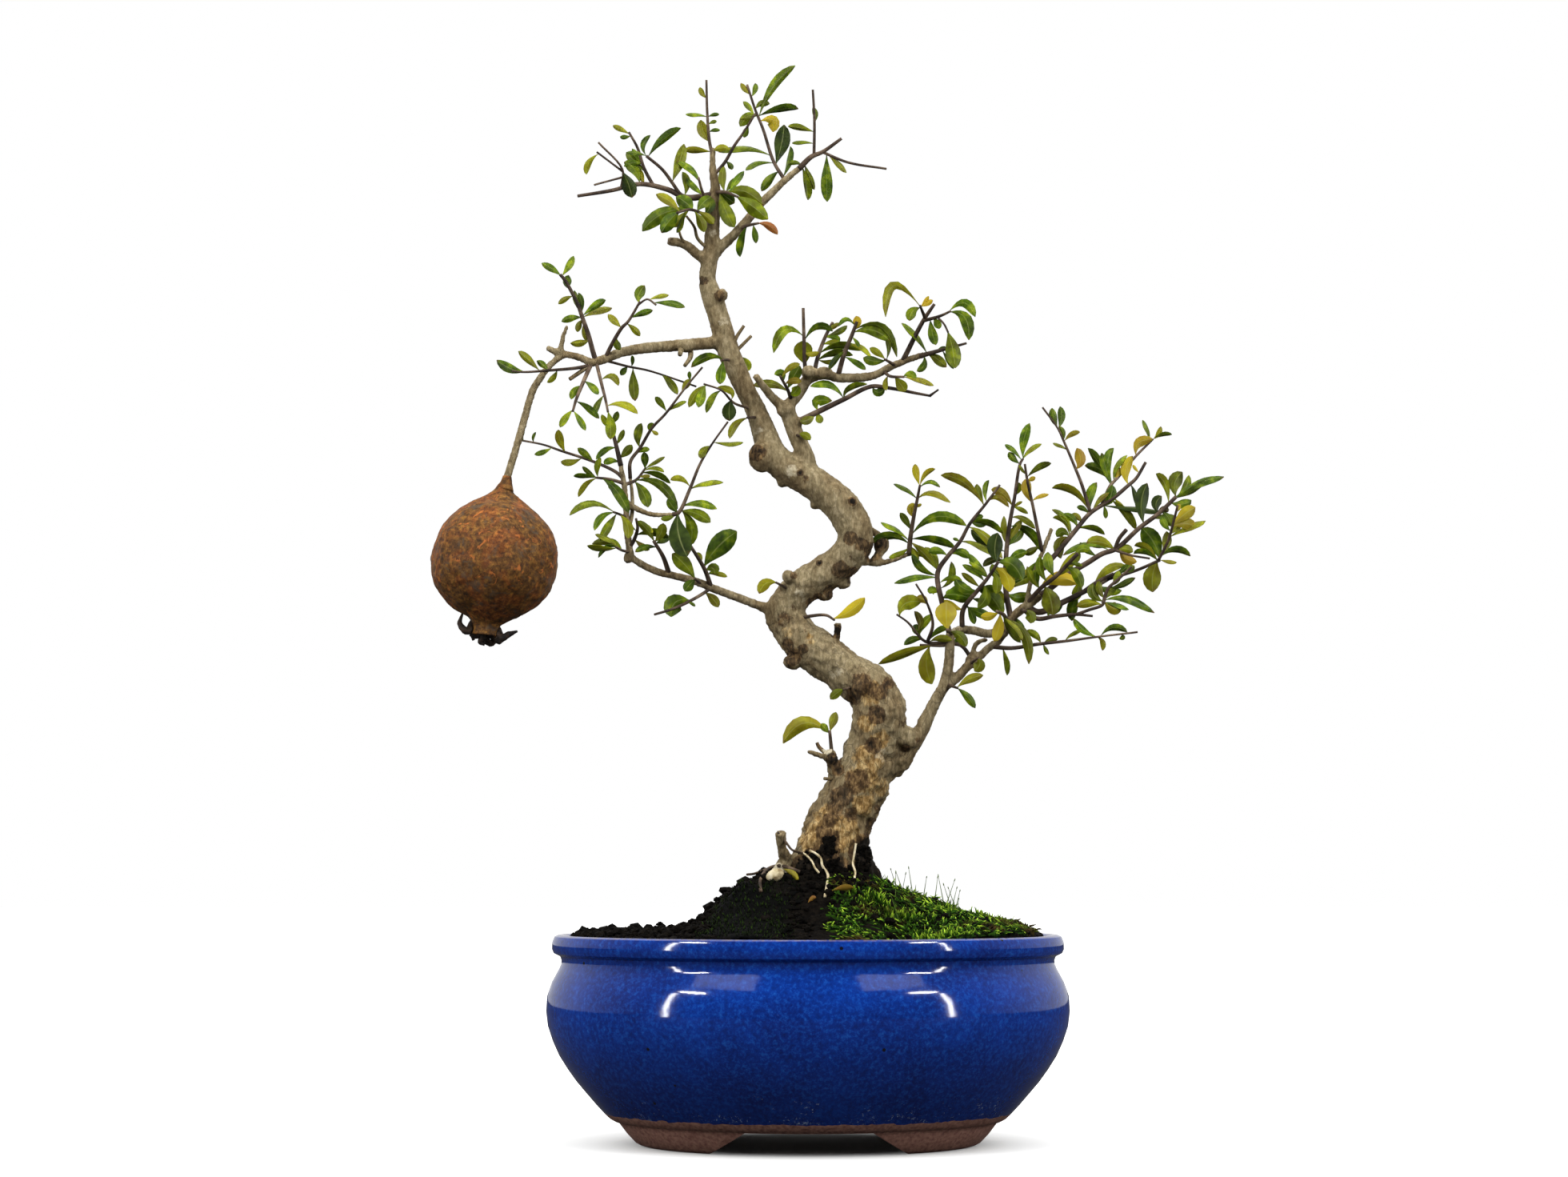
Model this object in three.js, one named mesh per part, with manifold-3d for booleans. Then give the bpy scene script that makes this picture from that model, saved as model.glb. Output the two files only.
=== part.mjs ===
import * as THREE from 'three';
import { mergeVertices } from 'three/addons/utils/BufferGeometryUtils.js';
import Module from 'manifold-3d';

const wasm = await Module();
wasm.setup();

// A dwarf pomegranate grown as a bonsai in an oval glazed pot. Millimetres, +Z up, front towards -Y.

// Pot: half lengths are along X, and the oval's half widths along Y are ovalRatio of them.
const ovalRatio = 0.8;
const potSides = 28;
const footHeight = 9.9;
const floorTop = 15;
const rimTop = 91.1;
const bellyHalf = 115;
const bellyHeight = 58;
const rimHalf = 112.5;
const drainRadius = 7;
const drainOffset = 36;
const footGapTop = 54;
const footGapFoot = 90;
const sideGapTop = 16;
const sideGapFoot = 30;

// Clearances between pieces that touch.
const seatGap = 0.3;
const soilGap = 0.4;
const barkGap = 0.42;

// Soil mound: a root ball with a steep left side and a long mossy right side.
const soilEdge = 88.6;
const flatRise = 2.3;
const moundHeight = 27.3;
const moundLeft = -39.5;
const moundRight = 60;
const moundFront = 40;
const crumbCount = 12;

// Moss on the mound.
const mossThickness = 3.6;
const tuftCount = 24;
const tuftHeight = 3.4;

// Knots on the bark are rounder the wider they are: widths on the sheet.
const smallKnot = 12;
const largeKnot = 16;

// Drain screens, square plastic mesh plates over the drain holes.
const screenSide = 24;
const screenThickness = 0.8;
const screenHole = 3.4;
const screenPitch = 5;

// Leaves: blade thickness, and how much of its length a leaf leans towards or away from the front.
const bladeThickness = 0.62;
const leanShare = 0.3;
const leanSteps = [0, 0.35, -0.35, 0.7, -0.7, 1.05, -1.05];
const keptShare = 0.7;
const thinnestTwig = 0.46;
const smallLeaf = 8.5;
const largeLeaf = 13;
const rootOverlap = 0.35;
const leafSink = 0.2;
const leafWidest = 4.4;
const leafWidthShare = 0.27;

// The tree is laid out on a drawing sheet as it is seen from a standpoint in front of the pot, so what
// stands nearer is drawn larger. Columns run to the right, rows run down, and depth in mm runs away
// from the viewer. Widths are drawn widths on the sheet.
const eye = new THREE.Vector3(-10.5, -1400, 126.6);
const eyeTilt = THREE.MathUtils.degToRad(4.8);
const sheetFocus = 3948;
const sheetCentre = { column: 980, row: 735.5 };
const sheetUnitsPerMm = 2.843;

// Trunk and leader, one line from the roots to the cut top: column, row, depth, width.
const trunkLine = [
  [1026, 1135, 0, 92], [1034, 1085, 0, 94], [1045, 1042, 0, 84], [1061, 1005, 0, 77], [1081, 965, -1, 72],
  [1094, 925, -2, 68], [1099, 892, -3, 68], [1089, 864, -3, 62], [1058, 841, 0, 56], [1023, 816, 2, 56],
  [997, 795, 4, 52], [980, 767, 5, 48], [995, 741, 4, 46], [1026, 720, 2, 46], [1055, 699, -1, 46],
  [1070, 673, -3, 46], [1062, 647, -3, 46], [1043, 624, -2, 44], [1017, 604, 0, 42], [989, 588, 1, 40],
  [966, 570, 1, 38], [957, 545, 2, 33], [949, 523, 2, 28], [940, 503, 3, 26], [930, 483, 3, 26],
  [920, 461, 3, 27], [910, 438, 4, 29], [904, 417, 4, 28], [898, 394, 4, 27], [890, 371, 4, 28],
  [884, 349, 4, 21], [887, 327, 3, 21], [890, 295, 3, 20], [892, 265, 2, 18], [894, 236, 2, 13],
  [891, 207, 1, 9], [891, 184, 1, 7]
];

// Bare limbs, stubs and roots, each grown from the nearest line before it: name, width at its start and
// end, depth of its end, then columns and rows along it.
const limbs = [
  ["fork", 22, 20, -1, 1020, 594, 1008, 572, 996, 546, 987, 522, 983, 506],
  ["darkArm", 14, 9, -13, 984, 512, 970, 501, 959, 489, 944, 469],
  ["rightArm", 16, 8, -6, 984, 509, 998, 492, 1010, 474, 1030, 468, 1047, 472, 1074, 472, 1093, 469,
    1112, 459, 1131, 451, 1156, 443],
  ["forkStub", 13, 10, -2, 990, 530, 1002, 525],
  ["fruitArm", 17, 11, -12, 908, 427, 885, 429, 860, 431, 830, 433, 800, 436, 775, 441, 755, 449, 738, 454],
  ["fruitArmTip", 10, 8, -14, 739, 454, 725, 447, 708, 443, 695, 440, 683, 434],
  ["fruitArmStub", 8, 5, -16, 700, 441, 704, 421, 709, 407],
  ["stubA", 6, 5, -16, 742, 454, 728, 463, 712, 474],
  ["stalk", 9, 10, -18, 706, 444, 690, 454, 677, 470, 667, 486, 661, 503, 655, 525, 648, 550, 640, 577,
    633, 600],
  ["lowArm", 12, 9, -5, 972, 764, 952, 758, 925, 748, 893, 736, 868, 726, 840, 719, 820, 714, 800, 704,
    786, 694],
  ["lowArmStem", 10, 6, -7, 787, 697, 785, 672, 783, 642, 781, 612, 777, 588, 774, 570],
  ["lowArmTwin", 6, 4, -3, 785, 665, 790, 642, 790, 616, 787, 592],
  ["innerTwig", 8, 6, -8, 783, 626, 800, 638, 815, 643, 846, 643],
  ["heel", 13, 9, -6, 786, 694, 783, 703],
  ["crownStump", 14, 11, -5, 892, 330, 872, 318, 855, 305, 835, 301],
  ["crownRight", 15, 8, -4, 893, 330, 899, 311, 915, 296, 930, 280, 950, 256, 970, 236, 985, 222, 1000,
    210],
  ["stubB", 6, 4, 0, 917, 448, 919, 425, 930, 407],
  ["rightArmBase", 27, 17, -2, 1100, 985, 1120, 956, 1139, 932, 1152, 912, 1160, 896],
  ["rightArmLow", 17, 14, -2, 1159, 899, 1170, 875, 1180, 858],
  ["elbowArm", 14, 12, -4, 1179, 860, 1185, 836, 1187, 812, 1188, 790],
  ["paleArm", 11, 12, -2, 1187, 793, 1200, 787, 1216, 788, 1238, 792, 1255, 784, 1268, 769, 1286, 755,
    1300, 744],
  ["forkArm", 14, 9, 4, 1181, 859, 1196, 847, 1210, 832, 1225, 820, 1238, 808, 1250, 801],
  ["forkArmStub", 8, 6, 8, 1213, 828, 1217, 812, 1222, 803, 1234, 799],
  ["forkArmUp", 8, 7, 3, 1246, 804, 1260, 788, 1266, 776],
  ["upperStub", 7, 6, -4, 1283, 757, 1287, 733, 1293, 716, 1303, 690, 1315, 660],
  ["sideArm", 8, 6, 2, 1078, 712, 1094, 705, 1116, 700, 1138, 692, 1162, 696],
  ["stubLoop", 12, 8, 4, 1090, 706, 1100, 690, 1101, 672, 1088, 662],
  ["kneeStub", 9, 10, -4, 1040, 805, 1047, 793, 1047, 779],
  ["baseStub", 15, 13, -9, 1052, 985, 1046, 966, 1040, 948, 1034, 939],
  ["baseStubSide", 9, 6, -11, 1040, 950, 1027, 945, 1010, 939],
  ["rootLeft", 24, 16, -10, 1012, 1070, 992, 1078, 975, 1088, 962, 1106, 955, 1130],
  ["rootHorn", 14, 14, -14, 986, 1080, 978, 1060, 976, 1040],
  ["rootRight", 26, 14, 8, 1060, 1075, 1084, 1088, 1100, 1110, 1108, 1135],
  ["rootFront", 22, 14, -22, 1040, 1070, 1046, 1096, 1052, 1118, 1056, 1140],
  ["rootBack", 26, 14, 26, 1046, 1070, 1052, 1095, 1060, 1118, 1064, 1140]
];

// Knots, burls and scars: name, column, row, depth, and half sizes across, up and in depth on the sheet.
const knots = [
  ["cutKnob", 953, 571, -2, 18, 20, 16], ["kneeHeel", 990, 828, 0, 12, 9, 12],
    ["elbowBump", 1114, 872, -2, 14, 14, 14],
  ["burl", 1079, 857, -9, 17, 15, 12], ["paleBurl", 1134, 922, -6, 14, 15, 11],
    ["ringKnot", 1065, 631, -9, 9, 11, 6],
  ["darkKnot", 1102, 680, 2, 10, 13, 9], ["leaderKnot", 902, 369, -1, 8, 9, 7],
    ["armKnot", 858, 432, -5, 13, 9, 8],
  ["rightArmKnob", 1011, 465, -5, 10, 9, 8], ["rightArmKnobB", 1030, 466, -6, 12, 8, 8],
    ["barkScar", 1068, 986, -9, 18, 14, 8],
  ["forkKnob", 1216, 826, 2, 10, 10, 7], ["clod", 1078, 1080, -4, 15, 25, 15],
    ["toothA", 1030, 742, 2, 11, 9, 9],
  ["toothB", 1054, 728, 2, 10, 9, 9], ["toothC", 978, 602, 2, 7, 8, 6], ["toothD", 1019, 630, 0, 7, 7, 6],
  ["stumpKnot", 986, 720, -4, 9, 9, 8], ["forkBurl", 982, 512, -3, 12, 10, 10],
    ["scarLow", 1090, 935, -10, 10, 8, 7]
];

// Leafy sprays. A shoot has its width at its start and end, the depth of its end, then columns and rows.
// A leaf has its drawn width, then its base, the point its arch is drawn towards, and its tip.
const sprays = {
  spray_crown_left: {
    shoots: [[9, 4, -14, 892, 243, 858, 247, 835, 237, 800, 230, 765, 238, 722, 245],
      [5, 3, -8, 817, 233, 805, 210, 797, 185, 786, 165], [4, 2, -20, 778, 235, 778, 212, 748, 178],
      [3, 2, -12, 778, 214, 746, 190], [3, 2, -22, 775, 222, 743, 231],
      [5, 4, -14, 858, 247, 850, 242, 840, 228, 828, 212, 808, 195]],
    leaves: [[14, 841, 228, 850, 204, 855, 180], [10, 857, 243, 863, 228, 853, 215],
      [18, 779, 214, 787, 230, 790, 247], [11, 807, 226, 800, 217, 794, 211]]
  },
  spray_crown_heart: {
    shoots: [[5, 3, -20, 889, 274, 876, 266, 862, 262, 846, 266]],
    leaves: [[19, 862, 263, 825, 258, 803, 289], [18, 850, 266, 838, 270, 827, 291],
      [12, 850, 264, 838, 248, 820, 243], [18, 866, 263, 862, 254, 845, 246],
      [14, 872, 264, 877, 252, 889, 246], [12, 868, 263, 878, 276, 880, 290]]
  },
  spray_crown_tip: {
    shoots: [[5, 3, -3, 891, 196, 887, 178, 884, 140, 883, 100]],
    leaves: [[14, 886, 178, 877, 166, 876, 150]]
  },
  spray_crown_cross: {
    shoots: [[5, 3, -9, 894, 220, 906, 203, 918, 182, 930, 165, 944, 142]],
    leaves: [[9, 914, 190, 905, 180, 893, 188]]
  },
  spray_crown_top: {
    shoots: [[5, 3, 6, 982, 226, 967, 202, 954, 162, 944, 137, 934, 106]],
    leaves: [[10, 948, 147, 962, 102, 994, 82], [16, 949, 151, 972, 142, 966, 165],
      [20, 970, 206, 979, 180, 980, 156], [11, 974, 214, 960, 222, 952, 239]]
  },
  spray_crown_right: {
    shoots: [[8, 4, -7, 999, 212, 1014, 196, 1028, 190, 1052, 173],
      [4, 3, -12, 1017, 194, 1018, 150, 1016, 112], [4, 3, 2, 1028, 190, 1060, 203, 1108, 211]],
    leaves: [[9, 1006, 206, 1012, 221, 1018, 237], [15, 1032, 192, 1033, 225, 1034, 252]]
  },
  spray_crown_front: {
    shoots: [[6, 3, -18, 897, 240, 906, 240, 922, 246]],
    leaves: [[18, 908, 240, 930, 230, 954, 256], [18, 900, 240, 904, 262, 918, 284],
      [19, 920, 245, 938, 254, 960, 274], [9, 912, 242, 918, 226, 930, 214]]
  },
  spray_left_whorl: {
    shoots: [[7, 4, -20, 744, 450, 741, 439, 736, 420, 728, 397, 722, 380, 706, 350, 700, 343]],
    leaves: [[9, 701, 346, 690, 334, 677, 329], [9, 702, 345, 712, 333, 717, 320],
      [11, 712, 362, 706, 353, 711, 344], [9, 728, 397, 714, 395, 702, 402],
      [9, 729, 395, 745, 379, 757, 375], [9, 729, 396, 748, 385, 765, 385],
      [9, 737, 424, 728, 430, 713, 429]]
  },
  spray_left_pair: {
    shoots: [[6, 3, -26, 757, 447, 762, 436, 777, 410, 785, 402, 800, 377],
      [3, 2, -30, 798, 382, 809, 374, 820, 381]],
    leaves: [[9, 777, 411, 768, 401, 760, 393], [13, 799, 379, 795, 367, 806, 357],
      [9, 770, 420, 768, 430, 776, 437]]
  },
  spray_left_under: {
    shoots: [[5, 3, -24, 747, 456, 752, 480, 757, 500, 760, 515]],
    leaves: [[9, 752, 474, 768, 462, 773, 482], [9, 758, 508, 780, 498, 797, 517],
      [14, 760, 514, 765, 530, 763, 549]]
  },
  spray_left_hang: {
    shoots: [[6, 3, -32, 740, 457, 728, 480, 720, 500, 716, 514]],
    leaves: [[9, 716, 512, 706, 521, 700, 534], [9, 730, 477, 741, 482, 748, 493],
      [9, 727, 482, 716, 486, 714, 499]]
  },
  spray_left_far: {
    shoots: [[5, 2, -34, 736, 457, 720, 460, 685, 463, 655, 465, 640, 464]],
    leaves: [[12, 657, 465, 637, 464, 621, 450], [9, 674, 464, 660, 449, 648, 439]]
  },
  spray_left_thread: {
    shoots: [[4, 2, 22, 752, 451, 762, 452, 785, 458, 810, 463, 850, 476, 870, 483]],
    leaves: [[13, 792, 460, 791, 480, 794, 501], [10, 828, 469, 838, 475, 847, 493]]
  },
  spray_dark_twig: {
    shoots: [[5, 2, -20, 784, 598, 788, 577, 800, 560, 815, 535, 832, 517, 851, 492, 862, 478, 878, 459]],
    leaves: [[9, 852, 491, 856, 482, 863, 474], [11, 800, 560, 793, 545, 802, 529]]
  },
  spray_leader_tuft: {
    shoots: [[4, 2, -22, 936, 514, 918, 504, 902, 488, 880, 480]],
    leaves: [[11, 884, 481, 870, 487, 861, 509], [12, 882, 481, 877, 492, 873, 509],
      [9, 901, 488, 888, 492, 883, 516], [18, 914, 500, 910, 508, 912, 526],
      [9, 914, 501, 922, 486, 897, 484]]
  },
  spray_stem_top: {
    shoots: [[7, 3, -10, 775, 582, 771, 560, 766, 540, 762, 520]],
    leaves: [[11, 773, 574, 783, 566, 790, 556], [9, 774, 578, 762, 572, 755, 580]]
  },
  spray_stem_left: {
    shoots: [[5, 2, 12, 779, 598, 770, 590, 742, 577, 700, 563, 680, 556, 650, 550]],
    leaves: [[9, 727, 572, 713, 581, 701, 577], [11, 708, 566, 698, 552, 698, 537],
      [9, 655, 551, 648, 543, 654, 534], [9, 742, 577, 733, 568, 722, 560]]
  },
  spray_stem_whorl: {
    shoots: [[5, 3, -16, 780, 604, 762, 599, 745, 597]],
    leaves: [[14, 752, 598, 773, 608, 786, 641], [10, 762, 599, 767, 606, 764, 613]]
  },
  spray_stem_mid: {
    shoots: [[4, 3, -15, 783, 647, 775, 643, 767, 640]],
    leaves: [[9, 769, 641, 748, 640, 743, 663], [10, 771, 642, 762, 655, 750, 676],
      [13, 774, 643, 789, 655, 785, 673]]
  },
  spray_stem_foot: {
    shoots: [[4, 3, -18, 786, 690, 778, 688, 770, 684]],
    leaves: [[10, 776, 687, 765, 670, 740, 680], [10, 778, 688, 770, 676, 755, 677]]
  },
  spray_stem_right: {
    shoots: [[5, 3, 4, 781, 606, 795, 600, 807, 585]],
    leaves: [[10, 806, 586, 807, 576, 805, 565], [11, 793, 603, 828, 592, 847, 636],
      [15, 793, 602, 807, 614, 810, 634]]
  },
  spray_low_right: {
    shoots: [[6, 3, -12, 786, 684, 792, 676, 797, 660, 795, 648]],
    leaves: [[9, 795, 669, 815, 660, 836, 672]]
  },
  spray_inner_tip: {
    shoots: [[6, 2, -14, 840, 643, 848, 641, 862, 612, 875, 580, 890, 555, 910, 527]],
    leaves: [[10, 888, 558, 877, 561, 876, 573], [9, 852, 634, 874, 622, 896, 636],
      [14, 850, 638, 872, 638, 888, 653], [27, 848, 641, 842, 664, 859, 695],
      [15, 850, 637, 872, 655, 862, 682], [11, 847, 641, 842, 634, 834, 624]]
  },
  spray_arm_fork: {
    shoots: [[7, 4, -10, 836, 722, 829, 696, 817, 676]],
    leaves: [[10, 818, 677, 812, 662, 797, 651], [13, 818, 677, 828, 668, 829, 654],
      [9, 819, 679, 828, 676, 838, 670]]
  },
  spray_arm_mid: {
    shoots: [[7, 4, -14, 889, 733, 881, 712, 863, 682]],
    leaves: [[27, 881, 710, 893, 682, 921, 664], [15, 882, 713, 893, 704, 894, 718]]
  },
  spray_fork_left: {
    shoots: [[6, 3, -16, 991, 504, 985, 488, 975, 470]],
    leaves: [[11, 985, 490, 968, 474, 941, 482], [10, 979, 478, 982, 461, 968, 468],
      [15, 985, 487, 992, 470, 1000, 457], [9, 981, 480, 990, 473, 1002, 477],
      [13, 986, 492, 994, 494, 998, 482]]
  },
  spray_fork_square: {
    shoots: [[6, 4, -11, 1011, 476, 1006, 455, 1005, 424, 1004, 385]],
    leaves: [[13, 1004, 422, 976, 394, 967, 441], [24, 1006, 457, 1004, 442, 1003, 426]]
  },
  spray_fork_twig: {
    shoots: [[6, 4, 2, 1016, 469, 1022, 447, 1032, 420, 1041, 403]],
    leaves: [[9, 1028, 431, 1041, 424, 1054, 433]]
  },
  spray_fork_yellow: {
    shoots: [[7, 4, -14, 1047, 474, 1055, 443, 1066, 416, 1071, 402]],
    leaves: [[11, 1068, 412, 1074, 405, 1070, 395], [15, 1067, 416, 1092, 404, 1112, 426]]
  },
  spray_arm_under_right: {
    shoots: [[5, 3, -16, 1103, 463, 1112, 470, 1130, 471]],
    leaves: [[14, 1118, 471, 1126, 480, 1132, 489], [11, 1128, 471, 1140, 462, 1143, 476]]
  },
  spray_arm_up: {
    shoots: [[7, 4, -14, 1129, 453, 1154, 401, 1168, 380], [5, 3, -20, 1156, 398, 1150, 382],
      [5, 3, -24, 1155, 402, 1175, 395, 1188, 389], [3, 2, -28, 1172, 397, 1180, 405, 1185, 415]],
    leaves: [[11, 1151, 383, 1106, 324, 1107, 396], [13, 1151, 384, 1137, 386, 1137, 401],
      [12, 1186, 390, 1208, 364, 1219, 396], [16, 1186, 390, 1214, 387, 1211, 425],
      [19, 1184, 413, 1192, 434, 1194, 460], [12, 1163, 399, 1164, 416, 1170, 431],
      [10, 1166, 398, 1172, 402, 1174, 411]]
  },
  spray_arm_end: {
    shoots: [[7, 3, -16, 1148, 446, 1175, 438, 1208, 429]],
    leaves: [[12, 1160, 443, 1170, 445, 1183, 459], [9, 1155, 445, 1160, 458, 1146, 464]]
  },
  spray_arm_long: {
    shoots: [[8, 3, -10, 998, 527, 1032, 510, 1055, 499, 1089, 483, 1112, 485, 1143, 491, 1164, 495],
      [4, 2, -12, 1162, 495, 1173, 487]],
    leaves: [[14, 1024, 514, 1010, 496, 1040, 501], [10, 1022, 515, 1024, 522, 1026, 529],
      [11, 1018, 516, 1014, 526, 1000, 527], [9, 1056, 498, 1040, 470, 1013, 483],
      [11, 1090, 484, 1093, 495, 1106, 487]]
  },
  spray_side_tip: {
    shoots: [[7, 3, -14, 1136, 694, 1138, 672, 1142, 647, 1147, 622, 1150, 606]],
    leaves: [[9, 1150, 607, 1144, 592, 1144, 580], [9, 1142, 646, 1133, 637, 1143, 629],
      [9, 1139, 664, 1133, 650, 1125, 641], [14, 1139, 670, 1168, 628, 1208, 657],
      [9, 1138, 678, 1152, 686, 1165, 702], [9, 1137, 682, 1146, 690, 1145, 704]]
  },
  spray_right_shoot: {
    shoots: [
      [8, 3, -12, 1187, 796, 1178, 755, 1172, 716, 1185, 695, 1200, 677, 1212, 655, 1232, 630, 1250, 606]],
    leaves: [[9, 1211, 657, 1219, 646, 1229, 645], [11, 1210, 658, 1232, 662, 1253, 698],
      [11, 1230, 631, 1208, 594, 1176, 594], [9, 1230, 631, 1222, 616, 1221, 605],
      [9, 1173, 715, 1160, 695, 1144, 682], [12, 1173, 714, 1170, 697, 1156, 684],
      [10, 1185, 695, 1172, 684, 1161, 690], [11, 1186, 694, 1202, 684, 1212, 698],
      [9, 1175, 737, 1197, 726, 1189, 702], [24, 1177, 750, 1198, 736, 1218, 745],
      [11, 1176, 742, 1164, 733, 1162, 742], [9, 1214, 653, 1222, 656, 1234, 654]]
  },
  spray_elbow_left: {
    shoots: [[5, 2, -16, 1187, 803, 1157, 802, 1135, 778, 1121, 768],
      [5, 2, -22, 1160, 803, 1166, 780, 1158, 752, 1145, 730]],
    leaves: [[19, 1124, 770, 1124, 748, 1152, 752], [9, 1155, 801, 1143, 794, 1130, 806],
      [10, 1150, 795, 1150, 780, 1166, 768], [9, 1146, 791, 1156, 776, 1143, 764],
      [9, 1162, 802, 1174, 794, 1190, 800], [10, 1160, 757, 1157, 748, 1146, 746],
      [11, 1151, 797, 1143, 788, 1146, 780]]
  },
  spray_elbow_behind: {
    shoots: [[6, 3, 12, 1216, 824, 1200, 806, 1175, 807, 1150, 806]],
    leaves: [[10, 1166, 807, 1140, 812, 1098, 830], [21, 1163, 807, 1152, 830, 1165, 855],
      [9, 1190, 806, 1198, 797, 1208, 797]]
  },
  spray_low_thread: {
    shoots: [[6, 2, -14, 1238, 809, 1264, 810, 1298, 805, 1334, 801, 1371, 796, 1422, 790]],
    leaves: [[9, 1370, 796, 1352, 790, 1342, 773], [9, 1300, 805, 1298, 792, 1283, 788]]
  },
  spray_heart_low: {
    shoots: [[6, 4, -20, 1262, 779, 1254, 768, 1246, 764]],
    leaves: [[14, 1250, 766, 1251, 783, 1243, 802], [13, 1258, 773, 1290, 785, 1286, 830],
      [13, 1256, 770, 1266, 786, 1278, 800], [11, 1249, 765, 1238, 772, 1226, 770]]
  },
  spray_heart_mid: {
    shoots: [[7, 4, -20, 1203, 788, 1204, 762, 1222, 738, 1235, 722, 1248, 702]],
    leaves: [[20, 1222, 738, 1242, 740, 1253, 769], [18, 1243, 710, 1262, 712, 1262, 740],
      [22, 1247, 703, 1267, 696, 1278, 725], [20, 1246, 704, 1240, 688, 1247, 666],
      [9, 1222, 738, 1237, 730, 1251, 741], [12, 1240, 714, 1250, 726, 1245, 742],
      [9, 1208, 757, 1216, 768, 1218, 780]]
  },
  spray_spire: {
    shoots: [[8, 3, -8, 1264, 774, 1257, 735, 1258, 690, 1262, 655, 1268, 623, 1275, 580, 1279, 573]],
    leaves: [[12, 1279, 573, 1276, 551, 1287, 529], [9, 1275, 581, 1265, 573, 1261, 565],
      [12, 1267, 633, 1256, 612, 1239, 612], [9, 1262, 657, 1288, 654, 1303, 691],
      [14, 1258, 742, 1272, 752, 1288, 742], [14, 1257, 725, 1270, 714, 1284, 716],
      [11, 1258, 706, 1270, 690, 1284, 690], [10, 1259, 684, 1268, 672, 1267, 658],
      [9, 1259, 680, 1274, 674, 1279, 660]]
  },
  spray_spire_pair: {
    shoots: [[5, 3, -16, 1303, 691, 1297, 662, 1291, 632, 1284, 600, 1281, 580]],
    leaves: [[13, 1291, 628, 1279, 612, 1285, 598], [9, 1300, 680, 1290, 690, 1280, 692]]
  },
  spray_stub_twig: {
    shoots: [[6, 5, -22, 1281, 755, 1300, 736, 1320, 720, 1347, 692]],
    leaves: [[18, 1298, 738, 1318, 712, 1347, 730], [24, 1306, 732, 1315, 746, 1316, 768],
      [11, 1333, 707, 1344, 702, 1349, 689], [13, 1318, 721, 1308, 706, 1310, 690],
      [12, 1300, 736, 1290, 724, 1296, 712]]
  },
  spray_high_right: {
    shoots: [
      [7, 4, 12, 1290, 726, 1322, 690, 1345, 662, 1363, 641, 1391, 623, 1410, 607, 1420, 598, 1432, 578],
      [5, 2, 4, 1363, 641, 1352, 605, 1344, 585, 1330, 552, 1322, 535, 1303, 509],
      [5, 3, 20, 1377, 632, 1388, 607, 1397, 597, 1420, 570, 1441, 549]],
    leaves: [[14, 1337, 671, 1318, 672, 1326, 698], [12, 1338, 670, 1328, 658, 1321, 671],
      [9, 1346, 661, 1345, 645, 1328, 643], [12, 1318, 694, 1306, 698, 1306, 713],
      [12, 1364, 640, 1357, 620, 1371, 603], [14, 1374, 634, 1392, 626, 1390, 606],
      [13, 1411, 606, 1400, 588, 1416, 570], [10, 1322, 535, 1316, 524, 1315, 510],
      [10, 1323, 536, 1330, 522, 1325, 508], [14, 1344, 586, 1356, 578, 1346, 560],
      [13, 1420, 570, 1416, 548, 1441, 549], [12, 1390, 604, 1378, 580, 1356, 582],
      [11, 1390, 604, 1378, 575, 1392, 560], [9, 1388, 606, 1382, 586, 1377, 566],
      [10, 1393, 601, 1400, 592, 1395, 582]]
  },
  spray_far_right: {
    shoots: [
      [8, 5, -8, 1300, 744, 1312, 736, 1335, 718, 1360, 703, 1378, 692, 1395, 686, 1424, 660, 1448, 642,
        1470, 621],
      [5, 5, -10, 1394, 687, 1399, 673, 1408, 662], [4, 2, -14, 1392, 688, 1414, 694, 1437, 698]],
    leaves: [[9, 1470, 622, 1494, 600, 1530, 596], [16, 1394, 687, 1378, 672, 1358, 679],
      [12, 1398, 689, 1406, 682, 1416, 690], [12, 1400, 690, 1404, 700, 1421, 702],
      [17, 1430, 655, 1421, 628, 1434, 604],
      [9, 1438, 650, 1458, 640, 1478, 653], [13, 1448, 642, 1440, 628, 1452, 620],
      [18, 1470, 621, 1463, 602, 1478, 590], [10, 1470, 622, 1486, 612, 1486, 594],
      [12, 1464, 629, 1478, 634, 1489, 625],
      [12, 1452, 640, 1463, 646, 1464, 658], [10, 1444, 645, 1456, 632, 1460, 640],
      [9, 1372, 696, 1356, 688, 1350, 678]]
  },
  spray_right_low: {
    shoots: [[9, 5, 8, 1284, 758, 1298, 765, 1330, 752, 1350, 742, 1372, 731, 1404, 712],
      [5, 4, 4, 1352, 742, 1370, 728, 1392, 717], [4, 4, -4, 1385, 726, 1420, 713, 1450, 700],
      [4, 3, -18, 1448, 701, 1460, 676, 1467, 652, 1472, 632]],
    leaves: [[10, 1366, 734, 1380, 704, 1406, 706], [9, 1398, 718, 1404, 708, 1416, 707],
      [23, 1448, 701, 1438, 714, 1441, 740], [24, 1450, 699, 1446, 676, 1427, 660],
      [12, 1452, 694, 1462, 680, 1458, 664], [16, 1466, 656, 1482, 640, 1494, 634],
      [15, 1466, 658, 1486, 650, 1494, 660], [10, 1463, 668, 1470, 660, 1476, 652],
      [9, 1464, 665, 1454, 656, 1452, 645], [14, 1350, 743, 1338, 752, 1340, 776]]
  },
  spray_right_thread: {
    shoots: [[7, 3, -6, 1282, 764, 1296, 773, 1320, 770, 1345, 768, 1366, 770],
      [4, 4, -10, 1345, 768, 1362, 762, 1378, 756, 1381, 748],
      [5, 3, -12, 1379, 754, 1385, 736, 1400, 722, 1415, 708]],
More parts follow.
